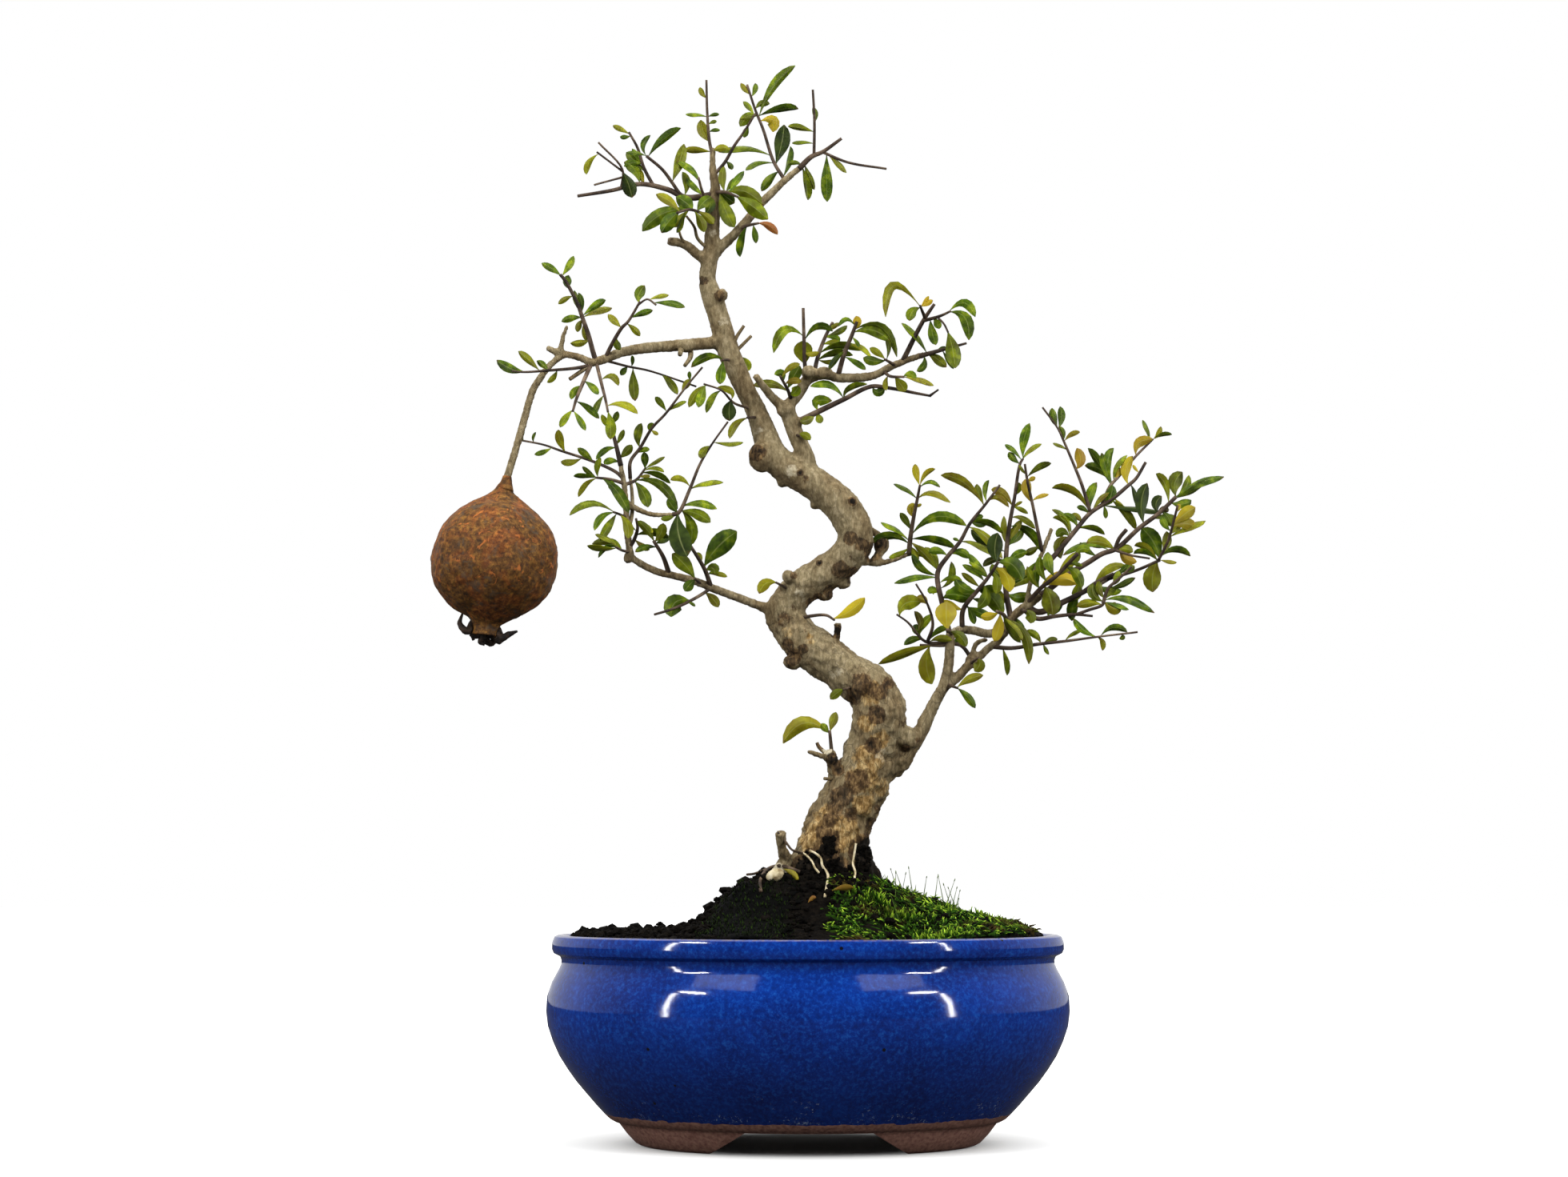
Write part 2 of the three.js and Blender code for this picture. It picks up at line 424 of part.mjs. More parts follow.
    leaves: [[16, 1381, 752, 1390, 764, 1402, 759], [10, 1381, 751, 1408, 738, 1443, 766],
      [13, 1380, 752, 1362, 746, 1366, 729], [11, 1378, 756, 1362, 750, 1346, 758],
      [9, 1389, 732, 1398, 726, 1398, 713], [9, 1408, 715, 1412, 712, 1418, 707],
      [9, 1382, 748, 1372, 740, 1374, 726], [10, 1380, 752, 1384, 738, 1396, 735]]
  }
};

// Small sprigs straight from the bark, one body with the wood.
const sprigs = {
  sprig_crown_stub: {
    shoots: [[5, 3, -10, 890, 256, 880, 244, 873, 222]],
    leaves: []
  },
  sprig_crown_dead: {
    shoots: [[5, 3, -16, 926, 285, 938, 281, 948, 279]],
    leaves: [[10, 946, 279, 962, 277, 972, 293], [9, 934, 282, 924, 300, 925, 321]]
  },
  sprig_leader_bud: {
    shoots: [[4, 3, -11, 915, 449, 903, 450]],
    leaves: [[9, 905, 450, 885, 437, 864, 459], [13, 904, 450, 901, 465, 900, 480]]
  },
  sprig_leader_right: {
    shoots: [[4, 3, 9, 914, 443, 927, 446]],
    leaves: [[12, 925, 446, 936, 452, 934, 464]]
  },
  sprig_leader_arc: {
    shoots: [[4, 3, -12, 946, 523, 934, 522]],
    leaves: [[9, 936, 522, 915, 526, 912, 548]]
  },
  sprig_fork_low: {
    shoots: [[4, 3, -10, 990, 546, 999, 544]],
    leaves: [[10, 997, 544, 1006, 540, 1013, 550]]
  },
  sprig_arm_leaf: {
    shoots: [[4, 3, -12, 876, 731, 868, 723]],
    leaves: [[19, 869, 724, 858, 704, 840, 692], [13, 869, 724, 862, 729, 856, 739]]
  },
  sprig_arm_under: {
    shoots: [[5, 3, -16, 890, 732, 880, 741, 857, 754, 838, 762, 818, 768]],
    leaves: [[12, 881, 741, 892, 746, 898, 759], [24, 862, 751, 838, 744, 839, 771]]
  },
  sprig_knee_left: {
    shoots: [[5, 3, -9, 988, 731, 970, 728]],
    leaves: [[14, 972, 728, 955, 722, 949, 742]]
  },
  sprig_knee_yellow: {
    shoots: [[5, 3, -12, 992, 772, 1013, 770, 1033, 769, 1043, 775]],
    leaves: [[15, 1041, 773, 1063, 768, 1081, 747]]
  },
  sprig_elbow_leaf: {
    shoots: [[5, 3, -14, 1070, 862, 1054, 862]],
    leaves: [[11, 1056, 862, 1046, 864, 1038, 874]]
  },
  sprig_stub_leaves: {
    shoots: [[6, 4, -10, 1042, 947, 1039, 934, 1037, 913]],
    leaves: [[11, 1037, 915, 1041, 902, 1045, 890], [9, 1037, 916, 1031, 911, 1027, 904],
      [19, 1037, 917, 1002, 884, 979, 929]]
  },
  sprig_arm_dark: {
    shoots: [[5, 3, -18, 1118, 457, 1106, 449]],
    leaves: [[12, 1108, 451, 1092, 454, 1079, 447], [9, 1107, 449, 1098, 440, 1087, 435]]
  },
  sprig_elbow_round: {
    shoots: [[5, 4, -22, 1190, 794, 1184, 787]],
    leaves: [[27, 1184, 788, 1182, 770, 1183, 752], [13, 1186, 790, 1201, 790, 1208, 808]]
  },
  sprig_arm_bud: {
    shoots: [[5, 3, -12, 1183, 854, 1197, 860]],
    leaves: [[11, 1196, 860, 1210, 846, 1229, 844], [10, 1196, 860, 1210, 868, 1219, 885]]
  },
  sprig_arm_bud_high: {
    shoots: [[4, 3, -8, 1212, 829, 1222, 822]],
    leaves: [[15, 1220, 822, 1230, 829, 1218, 839]]
  },
  sprig_heart_round: {
    shoots: [[5, 4, -14, 1276, 762, 1282, 764]],
    leaves: [[14, 1280, 763, 1292, 766, 1288, 779]]
  }
};

// Repeatable random draws in 0..1 (Park and Miller).
const seedFactor = 16807;
const seedModulus = 2147483647;
function draws(seed) {
  let state = seed;
  return () => {
    state = (state * seedFactor) % seedModulus;
    return state / seedModulus;
  };
}

// A place on the sheet at a depth, as a point of the part.
function at(column, row, depth) {
  const right = (column - sheetCentre.column) / sheetFocus;
  const up = (sheetCentre.row - row) / sheetFocus;
  const forward = Math.cos(eyeTilt) - up * Math.sin(eyeTilt);
  const rise = Math.sin(eyeTilt) + up * Math.cos(eyeTilt);
  const reach = (depth - eye.y) / forward;
  return new THREE.Vector3(eye.x + right * reach, depth, eye.z + rise * reach);
}

const pairs = (flat) => flat.filter((_, i) => i % 2 === 0).map((column, i) => [column, flat[2 * i + 1]]);

// ---- solids ----

function toSolid(geometry) {
  const bare = geometry.clone();
  bare.deleteAttribute('normal');
  if (bare.hasAttribute('uv')) bare.deleteAttribute('uv');
  const merged = mergeVertices(bare, 1e-4);
  const mesh = new wasm.Mesh({
    numProp: 3,
    vertProperties: new Float32Array(merged.attributes.position.array),
    triVerts: new Uint32Array(merged.index.array)
  });
  return new wasm.Manifold(mesh);
}

function toGeometry(solid) {
  const { vertProperties, triVerts } = solid.getMesh();
  const geometry = new THREE.BufferGeometry();
  geometry.setAttribute('position', new THREE.BufferAttribute(vertProperties, 3));
  geometry.setIndex(new THREE.BufferAttribute(triVerts, 1));
  geometry.computeVertexNormals();
  return geometry;
}

const larger = (best, piece) => (piece.volume() > best.volume() ? piece : best);
const largest = (solid) => solid.decompose().reduce(larger);

const joined = (solids) => solids.reduce((sum, solid) => sum.add(solid));

function boxesMeet(a, b) {
  const boxA = a.boundingBox();
  const boxB = b.boundingBox();
  return [0, 1, 2].every((k) => boxA.min[k] < boxB.max[k] && boxB.min[k] < boxA.max[k]);
}

const shared = (a, b) => (boxesMeet(a, b) ? a.intersect(b).volume() : 0);

// A closed tapered tube along a smooth line; radii belong to the line's points, flutes roughen its section.
function tube(points, radii, sides, steps, flute = 0) {
  const line = new THREE.CatmullRomCurve3(points, false, 'centripetal');
  const geometry = new THREE.CylinderGeometry(1, 1, 1, sides, steps);
  const rings = [];
  let across = new THREE.Vector3(0, 1, 0);
  for (let i = 0; i <= steps; i++) {
    const t = i / steps;
    const tangent = line.getTangent(t);
    across = across.clone().addScaledVector(tangent, -across.dot(tangent)).normalize();
    const place = t * (radii.length - 1);
    const k = Math.min(Math.floor(place), radii.length - 2);
    rings.push({
      centre: line.getPoint(t),
      across,
      over: across.clone().cross(tangent),
      radius: THREE.MathUtils.lerp(radii[k], radii[k + 1], place - k)
    });
  }
  const position = geometry.attributes.position;
  const spot = new THREE.Vector3();
  for (let i = 0; i < position.count; i++) {
    spot.fromBufferAttribute(position, i);
    const step = Math.round((spot.y + 0.5) * steps);
    const ring = rings[step];
    const turn = Math.atan2(spot.z, spot.x);
    const rough = 1 + flute * (Math.sin(3 * turn + step * 0.7) + Math.sin(5 * turn - step * 1.9)) / 2;
    const out = ring.centre.clone();
    out.addScaledVector(ring.across, spot.x * ring.radius * rough);
    out.addScaledVector(ring.over, spot.z * ring.radius * rough);
    position.setXYZ(i, out.x, out.y, out.z);
  }
  return toSolid(geometry);
}

// ---- pot ----

// Outer and inner wall as half length and height, from the floor's underside round to its top.
const potProfile = [
  [0, footHeight], [82, footHeight], [86.8, 11], [92.8, 17.3], [97.4, 22.6], [105.2, 32.5], [112, 45],
  [bellyHalf, bellyHeight], [112.6, 70.6], [108.6, 78.6], [109, 82], [rimHalf, 84.6], [rimHalf - 0.4, 89.2],
  [110, rimTop], [106.8, rimTop], [105, 87.6], [104.4, 78.6], [109, 62.6], [106.6, 45], [99.6, 32.5],
  [91, 22.6], [80, floorTop], [0, floorTop]
];
const footProfile = [[66, 0], [74, 0], [76.4, 1.4], [79.8, 5.4], [83.6, 10.4], [72, 10.4], [65, 5]];

function ovalLathe(profile, closed) {
  const points = profile.map(([half, height]) => new THREE.Vector2(half, height));
  if (closed) points.push(points[0].clone());
  return new THREE.LatheGeometry(points, potSides).rotateX(Math.PI / 2).scale(1, ovalRatio, 1);
}

function gapPrism(top, foot, along) {
  const outline = new THREE.Shape();
  const under = 2;
  outline.moveTo(-foot / 2 + under, -under);
  outline.lineTo(foot / 2 - under, -under);
  outline.lineTo(foot / 2, 0);
  outline.lineTo(top / 2, footHeight);
  outline.lineTo(-top / 2, footHeight);
  outline.lineTo(-foot / 2, 0);
  const prism = new THREE.ExtrudeGeometry(outline, { depth: 300, bevelEnabled: false });
  prism.translate(0, 0, -150).rotateX(Math.PI / 2);
  return toSolid(along === 'x' ? prism.rotateZ(Math.PI / 2) : prism);
}

function pot() {
  const bowl = toSolid(ovalLathe(potProfile, false));
  const ring = toSolid(ovalLathe(footProfile, true));
  const frontGap = gapPrism(footGapTop, footGapFoot, 'y');
  const sideGap = gapPrism(sideGapTop, sideGapFoot, 'x');
  const feet = ring.subtract(frontGap).subtract(sideGap);
  const holes = [-1, 1].map((side) => {
    const drill = new THREE.CylinderGeometry(drainRadius, drainRadius, 40, 16).rotateX(Math.PI / 2);
    return toSolid(drill.translate(side * drainOffset, 0, floorTop));
  });
  return largest(bowl.add(feet).subtract(holes[0]).subtract(holes[1]));
}

function drainScreen(side, grow) {
  const span = screenSide + 2 * grow;
  const middleHeight = floorTop + soilGap + screenThickness / 2;
  const block = (x, y, across, tall) => {
    const box = new THREE.BoxGeometry(across, across, tall);
    return toSolid(box.translate(side * drainOffset + x, y, middleHeight));
  };
  let plate = block(0, 0, span, screenThickness + 2 * grow);
  if (grow > 0) return plate;
  for (const column of [-1, 0, 1]) {
    for (const row of [-1, 0, 1]) {
      const hole = block(column * screenPitch, row * screenPitch, screenHole, screenThickness * 3);
      plate = plate.subtract(hole);
    }
  }
  return plate;
}

// ---- soil and moss ----

const softStep = (distance, width) => 1 / (1 + Math.exp(-distance / width));

const ringHalves = [104, 95, 82, 68, 56, 46, 36, 20, 0];

function soilHeight(x, y) {
  const across = softStep(x - moundLeft, 4.5) * softStep(moundRight - x, 9);
  const deep = softStep(moundFront - Math.abs(y), 9);
  const lumps = 0.9 * Math.sin(x * 0.31 + 1) * Math.sin(y * 0.27) + 0.7 * Math.sin(x * 0.13 - y * 0.21);
  const inward = 1 - Math.hypot(x / ringHalves[0], y / ringHalves[0] / ovalRatio);
  return soilEdge + 1 + flatRise * softStep(inward - 0.07, 0.03) + moundHeight * across * deep + lumps;
}

function groundSolid(raise) {
  const wall = [[0, floorTop + soilGap], [79.6, floorTop + soilGap], [90.5, 23], [99, 32.9], [106, 45.2],
    [108.5, 62.6], [104, 77.6], [104, 86.6]];
  const profile = [...wall, ...ringHalves.map((half) => [half, soilEdge])];
  const geometry = ovalLathe(profile, false);
  const position = geometry.attributes.position;
  for (let i = 0; i < position.count; i++) {
    if (position.getZ(i) < soilEdge - 1) continue;
    const x = position.getX(i);
    const y = position.getY(i);
    position.setZ(i, soilHeight(x, y) + raise(x, y));
  }
  return toSolid(geometry);
}

function crumbs() {
  const draw = draws(77);
  return Array.from({ length: crumbCount }, () => {
    const x = THREE.MathUtils.lerp(-98, -38, draw());
    const y = THREE.MathUtils.lerp(-42, 42, draw()) * Math.sqrt(1 - (x / 104) ** 2);
    const size = THREE.MathUtils.lerp(1.4, 3.4, draw());
    const stone = new THREE.OctahedronGeometry(size).rotateX(draw() * 3).rotateY(draw() * 3);
    return toSolid(stone.translate(x, y, soilHeight(x, y) + size * 0.35));
  });
}

function mossRise(x, y) {
  const side = softStep(x - 6 - 0.1 * Math.abs(y), 2.6) * softStep(100 - x, 3);
  const patches = 0.75 + 0.45 * Math.sin(x * 0.4) * Math.sin(y * 0.37 + 1);
  return mossThickness * side * patches - 0.7;
}

function filmRise(x, y) {
  const side = softStep(x + 46, 2) * softStep(-2 - x, 2) * softStep(-24 - y, 2.5);
  return 2.4 * side - 0.5;
}

function tufts() {
  const draw = draws(431);
  return Array.from({ length: tuftCount }, () => {
    const x = THREE.MathUtils.lerp(14, 94, draw());
    const y = THREE.MathUtils.lerp(-70, 62, draw()) * Math.sqrt(1 - (x / 104) ** 2);
    const height = tuftHeight * THREE.MathUtils.lerp(0.7, 1.4, draw());
    const blade = new THREE.ConeGeometry(1.7, height + 2, 3).rotateX(Math.PI / 2).rotateZ(draw() * 6);
    blade.rotateX((draw() - 0.5) * 0.7).rotateY((draw() - 0.5) * 0.7);
    return toSolid(blade.translate(x, y, soilHeight(x, y) + mossRise(x, y) + height / 2 - 1));
  });
}

// ---- wood ----

const shoulders = [];

// Remembers a drawn line, so that what grows from it can find its start.
function remember(store, points, depthAt) {
  const steps = 12;
  for (let i = 0; i < points.length - 1; i++) {
    for (let k = 0; k <= steps; k++) {
      const share = k / steps;
      const column = THREE.MathUtils.lerp(points[i][0], points[i + 1][0], share);
      const row = THREE.MathUtils.lerp(points[i][1], points[i + 1][1], share);
      store.push({ column, row, depth: THREE.MathUtils.lerp(depthAt(i), depthAt(i + 1), share) });
    }
  }
}

function nearest(store, column, row) {
  const far = (spot) => (spot.column - column) ** 2 + (spot.row - row) ** 2;
  return store.reduce((best, spot) => (far(spot) < far(best) ? spot : best));
}

// Depths along a line that starts on what it grows from and runs evenly to its own end depth.
function runDepths(points, start, end) {
  const lengths = [0];
  for (let i = 1; i < points.length; i++) {
    const step = Math.hypot(points[i][0] - points[i - 1][0], points[i][1] - points[i - 1][1]);
    lengths.push(lengths[i - 1] + step);
  }
  return lengths.map((length) => THREE.MathUtils.lerp(start, end, length / lengths.at(-1)));
}

// Laid-out lines become tubes: widths on the sheet to radii, more steps where the line is long.
function growLine(parents, own, [startWidth, endWidth, endDepth, ...flat], sides) {
  const drawn = pairs(flat);
  const root = nearest(parents, drawn[0][0], drawn[0][1]);
  drawn[0] = [root.column, root.row];
  const depths = runDepths(drawn, root.depth, endDepth);
  remember(own, drawn, (i) => depths[i]);
  const points = drawn.map(([column, row], i) => at(column, row, depths[i]));
  const radii = points.map((_, i) => {
    const width = THREE.MathUtils.lerp(startWidth, endWidth, i / (points.length - 1));
    return Math.max(width / 2 / sheetUnitsPerMm, thinnestTwig);
  });
  return { points, radii, sides, steps: Math.max(2, points.length - 1) };
}

function woodLines() {
  const lines = [];
  remember(shoulders, trunkLine.map(([column, row]) => [column, row]), (i) => trunkLine[i][2]);
  lines.push({
    points: trunkLine.map(([column, row, depth]) => at(column, row, depth)),
    radii: trunkLine.map((entry) => entry[3] / 2 / sheetUnitsPerMm),
    sides: 8, steps: 32, flute: 0.07
  });
  for (const [, ...limb] of limbs) {
    const line = growLine(shoulders, shoulders, limb, limb[0] > 12 ? 6 : 4);
    lines.push({ ...line, flute: 0.05 });
  }
  return lines;
}

function knotSolid([, column, row, depth, wide, tall, deep], grow) {
  const sizes = [wide, tall, deep].map((size) => size / sheetUnitsPerMm + grow);
  const detail = wide > largeKnot ? 1 : 0;
  const ball = wide < smallKnot ? new THREE.OctahedronGeometry(1) : new THREE.IcosahedronGeometry(1, detail);
  const centre = at(column, row, depth);
  ball.scale(sizes[0], sizes[2], sizes[1]).rotateY(column);
  return toSolid(ball.translate(centre.x, centre.y, centre.z));
}

function wood(lines, grow) {
  const tubes = lines.map((line) => {
    const radii = line.radii.map((radius) => radius + grow);
    const points = line.points.map((point) => point.clone());
    points[0].add(line.points[0].clone().sub(line.points[1]).setLength(grow));
    points.at(-1).add(line.points.at(-1).clone().sub(line.points.at(-2)).setLength(grow));
    return tube(points, radii, line.sides, line.steps, line.flute);
  });
  return joined([...tubes, ...knots.map((knot) => knotSolid(knot, grow))]);
}

// ---- leaves ----

// One blade: a thin plate along a centreline that arches towards its bend, narrow at its base and tip.
function blade(base, bend, tip, width, roll, thickness) {
  const spine = new THREE.QuadraticBezierCurve3(base, bend, tip);
  const small = spine.getLength() < smallLeaf;
  const stations = small ? [0, 0.5, 1] : [0, 0.32, 0.72, 1];
  const fullness = small ? [0, 1, 0] : [0, 0.9, 0.94, 0];
  const positions = [];
  const rings = stations.map((t, i) => {
    const tangent = spine.getTangent(t);
    const flat = tangent.clone().cross(new THREE.Vector3(0, 1, 0)).normalize();
    const side = flat.applyAxisAngle(tangent, roll);
    const face = side.clone().cross(tangent);
    const centre = spine.getPoint(t);
    const corner = (across, out) => {
      const spot = centre.clone().addScaledVector(side, across * fullness[i] * width / 2);
      spot.addScaledVector(face, out * thickness / 2);
      positions.push(spot.x, spot.y, spot.z);
      return positions.length / 3 - 1;
    };
    if (fullness[i] === 0) {
      const end = corner(0, 0);
      return { topLeft: end, topRight: end, underRight: end, underLeft: end };
    }
    return {
      topLeft: corner(-1, 1),
      topRight: corner(1, 1),
      underRight: corner(1, -1),
      underLeft: corner(-1, -1)
    };
  });
  const index = [];
  const face = (a, b, c) => {
    if (a !== b && b !== c && a !== c) index.push(a, b, c);
  };
  for (let i = 0; i < rings.length - 1; i++) {
    const a = rings[i];
    const b = rings[i + 1];
    face(a.topLeft, a.topRight, b.topRight);
    face(a.topLeft, b.topRight, b.topLeft);
    face(a.underLeft, b.underRight, a.underRight);
    face(a.underLeft, b.underLeft, b.underRight);
    face(a.underRight, b.underRight, b.topRight);
    face(a.underRight, b.topRight, a.topRight);
    face(a.underLeft, b.topLeft, b.underLeft);
    face(a.underLeft, a.topLeft, b.topLeft);
  }
  const geometry = new THREE.BufferGeometry();
  geometry.setAttribute('position', new THREE.Float32BufferAttribute(positions, 3));
  geometry.setIndex(index);
  geometry.computeVertexNormals();
  return toSolid(geometry);
}

const leafSeed = (leaf) => leaf.slice(1).reduce((sum, value, i) => sum + value * (7 + 12 * i), 1);

// A leaf's true width is at least a share of its length, so a narrow drawn leaf is one seen from its edge.
function leafShape([drawnWidth, ...flat], own, lean, draw) {
  const [start, arch, end] = pairs(flat);
  const root = nearest(own, start[0], start[1]);
  const length = Math.hypot(end[0] - root.column, end[1] - root.row) / sheetUnitsPerMm;
  const leaning = (draw() * 2 - 1) * leanShare * length;
  const turned = draw() < 0.5 ? -1 : 1;
  const drop = leaning + lean * length;
  const width = Math.max(drawnWidth / sheetUnitsPerMm, Math.min(leafWidest, leafWidthShare * length));
  const roll = turned * Math.acos(Math.min(1, drawnWidth / sheetUnitsPerMm / width));
  const stem = at(root.column, root.row, root.depth);
  const bend = at(arch[0], arch[1], root.depth + drop * 0.45);
  return {
    base: stem.clone().sub(bend).setLength(leafSink).add(stem),
    bend,
    tip: at(end[0], end[1], root.depth + drop),
    width,
    roll
  };
}

function growSpray(laidOut, bark, barkClear, taken) {
  const own = [];
  const tubes = laidOut.shoots.map((shoot) => growLine(own.length ? own : shoulders, own, shoot, 3));
  let body = joined(tubes.map((line) => tube(line.points, line.radii, line.sides, line.steps)));
  if (barkClear) body = largest(body.subtract(barkClear));
  const grown = [];
  const place = (leaf, lean, mayCross) => {
    const { base, bend, tip, width, roll } = leafShape(leaf, own, lean, draws(leafSeed(leaf)));
    const whole = blade(base, bend, tip, width, roll, bladeThickness);
    if (!mayCross && grown.some((other) => shared(other, whole) > rootOverlap)) return false;
    const guard = blade(base, bend, tip, width + 2 * seatGap, roll, bladeThickness + 2 * seatGap);
    if (taken.some((other) => shared(other, guard) > 0)) return false;
    const kept = boxesMeet(bark, whole) ? whole.subtract(barkClear ?? bark) : whole;
    if (kept.volume() < keptShare * whole.volume()) return false;
    body = body.add(barkClear ? kept : whole);
    grown.push(whole);
    return true;
  };
  for (const leaf of laidOut.leaves) {
    const clear = leanSteps.some((lean) => place(leaf, lean, false));
    if (!clear && leaf[0] >= largeLeaf) leanSteps.some((lean) => place(leaf, lean, true));
  }
  return largest(body);
}

// ---- fruit ----

// Profile of the fruit along its own axis: distance from the stalk and radius, in sheet units.
const fruitTop = [631, 603];
const fruitCrown = [606, 796];
const fruitDepth = -18;
const fruitProfile = [[0, 0], [0, 6], [19, 24], [33, 50], [50, 67], [73, 77], [100, 79], [125, 74],
  [146, 60], [163, 40], [174, 20], [186, 15], [195, 19], [186, 0]];
const calyxLobes = [
  [[592, 778], [584, 789], [575, 780], [578, 767]], [[606, 786], [598, 794], [590, 793], [592, 800]],
  [[612, 788], [608, 798], [614, 805], [622, 800]], [[620, 784], [628, 797], [638, 792], [647, 789]],
  [[600, 786], [604, 796], [600, 802], [606, 806]], [[616, 784], [616, 795], [624, 802], [630, 800]]
];

function fruit(grow) {
  const top = at(fruitTop[0], fruitTop[1], fruitDepth);
  const crown = at(fruitCrown[0], fruitCrown[1], fruitDepth - 1);
  const profile = fruitProfile.map(([along, radius]) => (
    new THREE.Vector2(radius === 0 ? 0 : radius / sheetUnitsPerMm + grow, along / sheetUnitsPerMm)));
  const body = new THREE.LatheGeometry(profile, 16);
  const hang = crown.clone().sub(top).normalize();
  const turn = new THREE.Quaternion().setFromUnitVectors(new THREE.Vector3(0, 1, 0), hang);
  body.applyQuaternion(turn).translate(top.x, top.y, top.z);
  const lobes = calyxLobes.map((lobe, i) => {
    const depth = fruitDepth + (i % 3 - 1) * 4;
    const points = lobe.map(([column, row], k) => at(column, row, k === 0 ? fruitDepth : depth));
    return tube(points, [1.6, 1.5, 1.1, 0.7], 4, 3);
  });
  return largest(joined([toSolid(body), ...lobes]));
}

// ---- assembly ----

const barkMaterial = new THREE.MeshStandardMaterial({ color: 0x8b7760, roughness: 0.9 });
const leafMaterial = new THREE.MeshStandardMaterial({ color: 0x6f8a2a, roughness: 0.55 });
const glazeMaterial = new THREE.MeshStandardMaterial({ color: 0x12379b, roughness: 0.12 });
const soilMaterial = new THREE.MeshStandardMaterial({ color: 0x1d1813, roughness: 1 });
const mossMaterial = new THREE.MeshStandardMaterial({ color: 0x4c7d14, roughness: 0.95 });
const fruitMaterial = new THREE.MeshStandardMaterial({ color: 0x7a4a24, roughness: 0.7 });
const screenMaterial = new THREE.MeshStandardMaterial({ color: 0x202020, roughness: 0.6 });

const plant = new THREE.Group();

function addPiece(name, solid, material) {
  const mesh = new THREE.Mesh(toGeometry(solid), material);
  mesh.name = name;
  plant.add(mesh);
}

const lines = woodLines();
const fruitSolid = fruit(0);
const sprigNames = Object.keys(sprigs);
const bare = wood(lines, 0);
const fruitClear = fruit(seatGap);
let timber = largest(bare.subtract(fruitClear));
sprigNames.forEach((name) => {
  const sprig = growSpray(sprigs[name], timber, null, [fruitSolid]);
  timber = timber.add(sprig);
});
timber = largest(timber);
const timberClear = wood(lines, barkGap);

const screens = [-1, 1].map((side) => drainScreen(side, 0));
const screenRoom = [-1, 1].map((side) => drainScreen(side, seatGap));
const inTheWay = timberClear.add(joined(screenRoom));
const ground = largest(joined([groundSolid(() => 0), ...crumbs()]).subtract(inTheWay));
const groundClear = groundSolid(() => seatGap);
const underMoss = groundClear.add(timberClear);
const cushion = largest(joined([groundSolid(mossRise), ...tufts()]).subtract(underMoss));
const film = largest(groundSolid(filmRise).subtract(underMoss).subtract(joined(crumbs())));

addPiece('pot', pot(), glazeMaterial);
addPiece('drain_screen_left', screens[0], screenMaterial);
addPiece('drain_screen_right', screens[1], screenMaterial);
addPiece('soil', ground, soilMaterial);
addPiece('moss_cushion', cushion, mossMaterial);
addPiece('moss_film', film, mossMaterial);
addPiece('wood', timber, barkMaterial);
addPiece('fruit', fruitSolid, fruitMaterial);

const taken = [fruitSolid, ground, cushion, timber];
Object.keys(sprays).forEach((name) => {
  const spray = growSpray(sprays[name], timber, timberClear, taken);
  taken.push(spray);
  addPiece(name, spray, leafMaterial);
});

// The origin is under the middle of the part, on the surface that the feet stand on.
const bounds = new THREE.Box3().setFromObject(plant);
const middle = bounds.getCenter(new THREE.Vector3());
plant.position.set(-middle.x, -middle.y, -bounds.min.z);

const bonsai = new THREE.Group();
bonsai.add(plant);
bonsai.updateMatrixWorld(true);

export default bonsai;
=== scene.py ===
import math

import bpy
import numpy as np
from mathutils import Matrix, Vector, kdtree
from mathutils.bvhtree import BVHTree


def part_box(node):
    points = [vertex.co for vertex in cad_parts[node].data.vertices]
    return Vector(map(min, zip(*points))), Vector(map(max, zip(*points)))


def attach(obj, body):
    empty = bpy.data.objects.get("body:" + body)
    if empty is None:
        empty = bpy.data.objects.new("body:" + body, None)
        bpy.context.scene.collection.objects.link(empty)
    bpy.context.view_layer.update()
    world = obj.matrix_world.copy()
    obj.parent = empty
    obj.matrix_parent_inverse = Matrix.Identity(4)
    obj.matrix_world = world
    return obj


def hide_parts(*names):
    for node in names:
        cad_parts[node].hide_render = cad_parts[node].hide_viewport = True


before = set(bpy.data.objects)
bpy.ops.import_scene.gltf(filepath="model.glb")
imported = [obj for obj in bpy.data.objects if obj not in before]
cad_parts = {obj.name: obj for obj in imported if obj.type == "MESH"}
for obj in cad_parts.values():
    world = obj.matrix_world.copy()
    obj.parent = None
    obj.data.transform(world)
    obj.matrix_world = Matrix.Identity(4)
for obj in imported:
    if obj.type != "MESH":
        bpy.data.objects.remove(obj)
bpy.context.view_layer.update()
print("frame loaded")


def editMesh():
    bpy.ops.object.mode_set(mode="EDIT")


def leaveEdit():
    bpy.ops.object.mode_set(mode="OBJECT")


def deselectAll():
    if bpy.context.mode != "OBJECT":
        leaveEdit()
    bpy.ops.object.select_all(action="DESELECT")


def pick(*pieces):
    deselectAll()
    for piece in pieces:
        piece.select_set(True)
    bpy.context.view_layer.objects.active = pieces[0]


# selects the corners that pass a test, and the edges and faces wholly among them
def selectCorners(piece, test):
    for vertex in piece.data.vertices:
        vertex.select = test(vertex.co)
    for part in [*piece.data.edges, *piece.data.polygons]:
        part.select = all(piece.data.vertices[i].select for i in part.vertices)


def joinPieces(name, pieces):
    pick(*pieces)
    if len(pieces) > 1:
        bpy.ops.object.join()
    whole = bpy.context.object
    whole.name = name
    whole.data.name = name
    return whole


def applyPlace(piece):
    pick(piece)
    bpy.ops.object.transform_apply(location=True, rotation=True, scale=True)


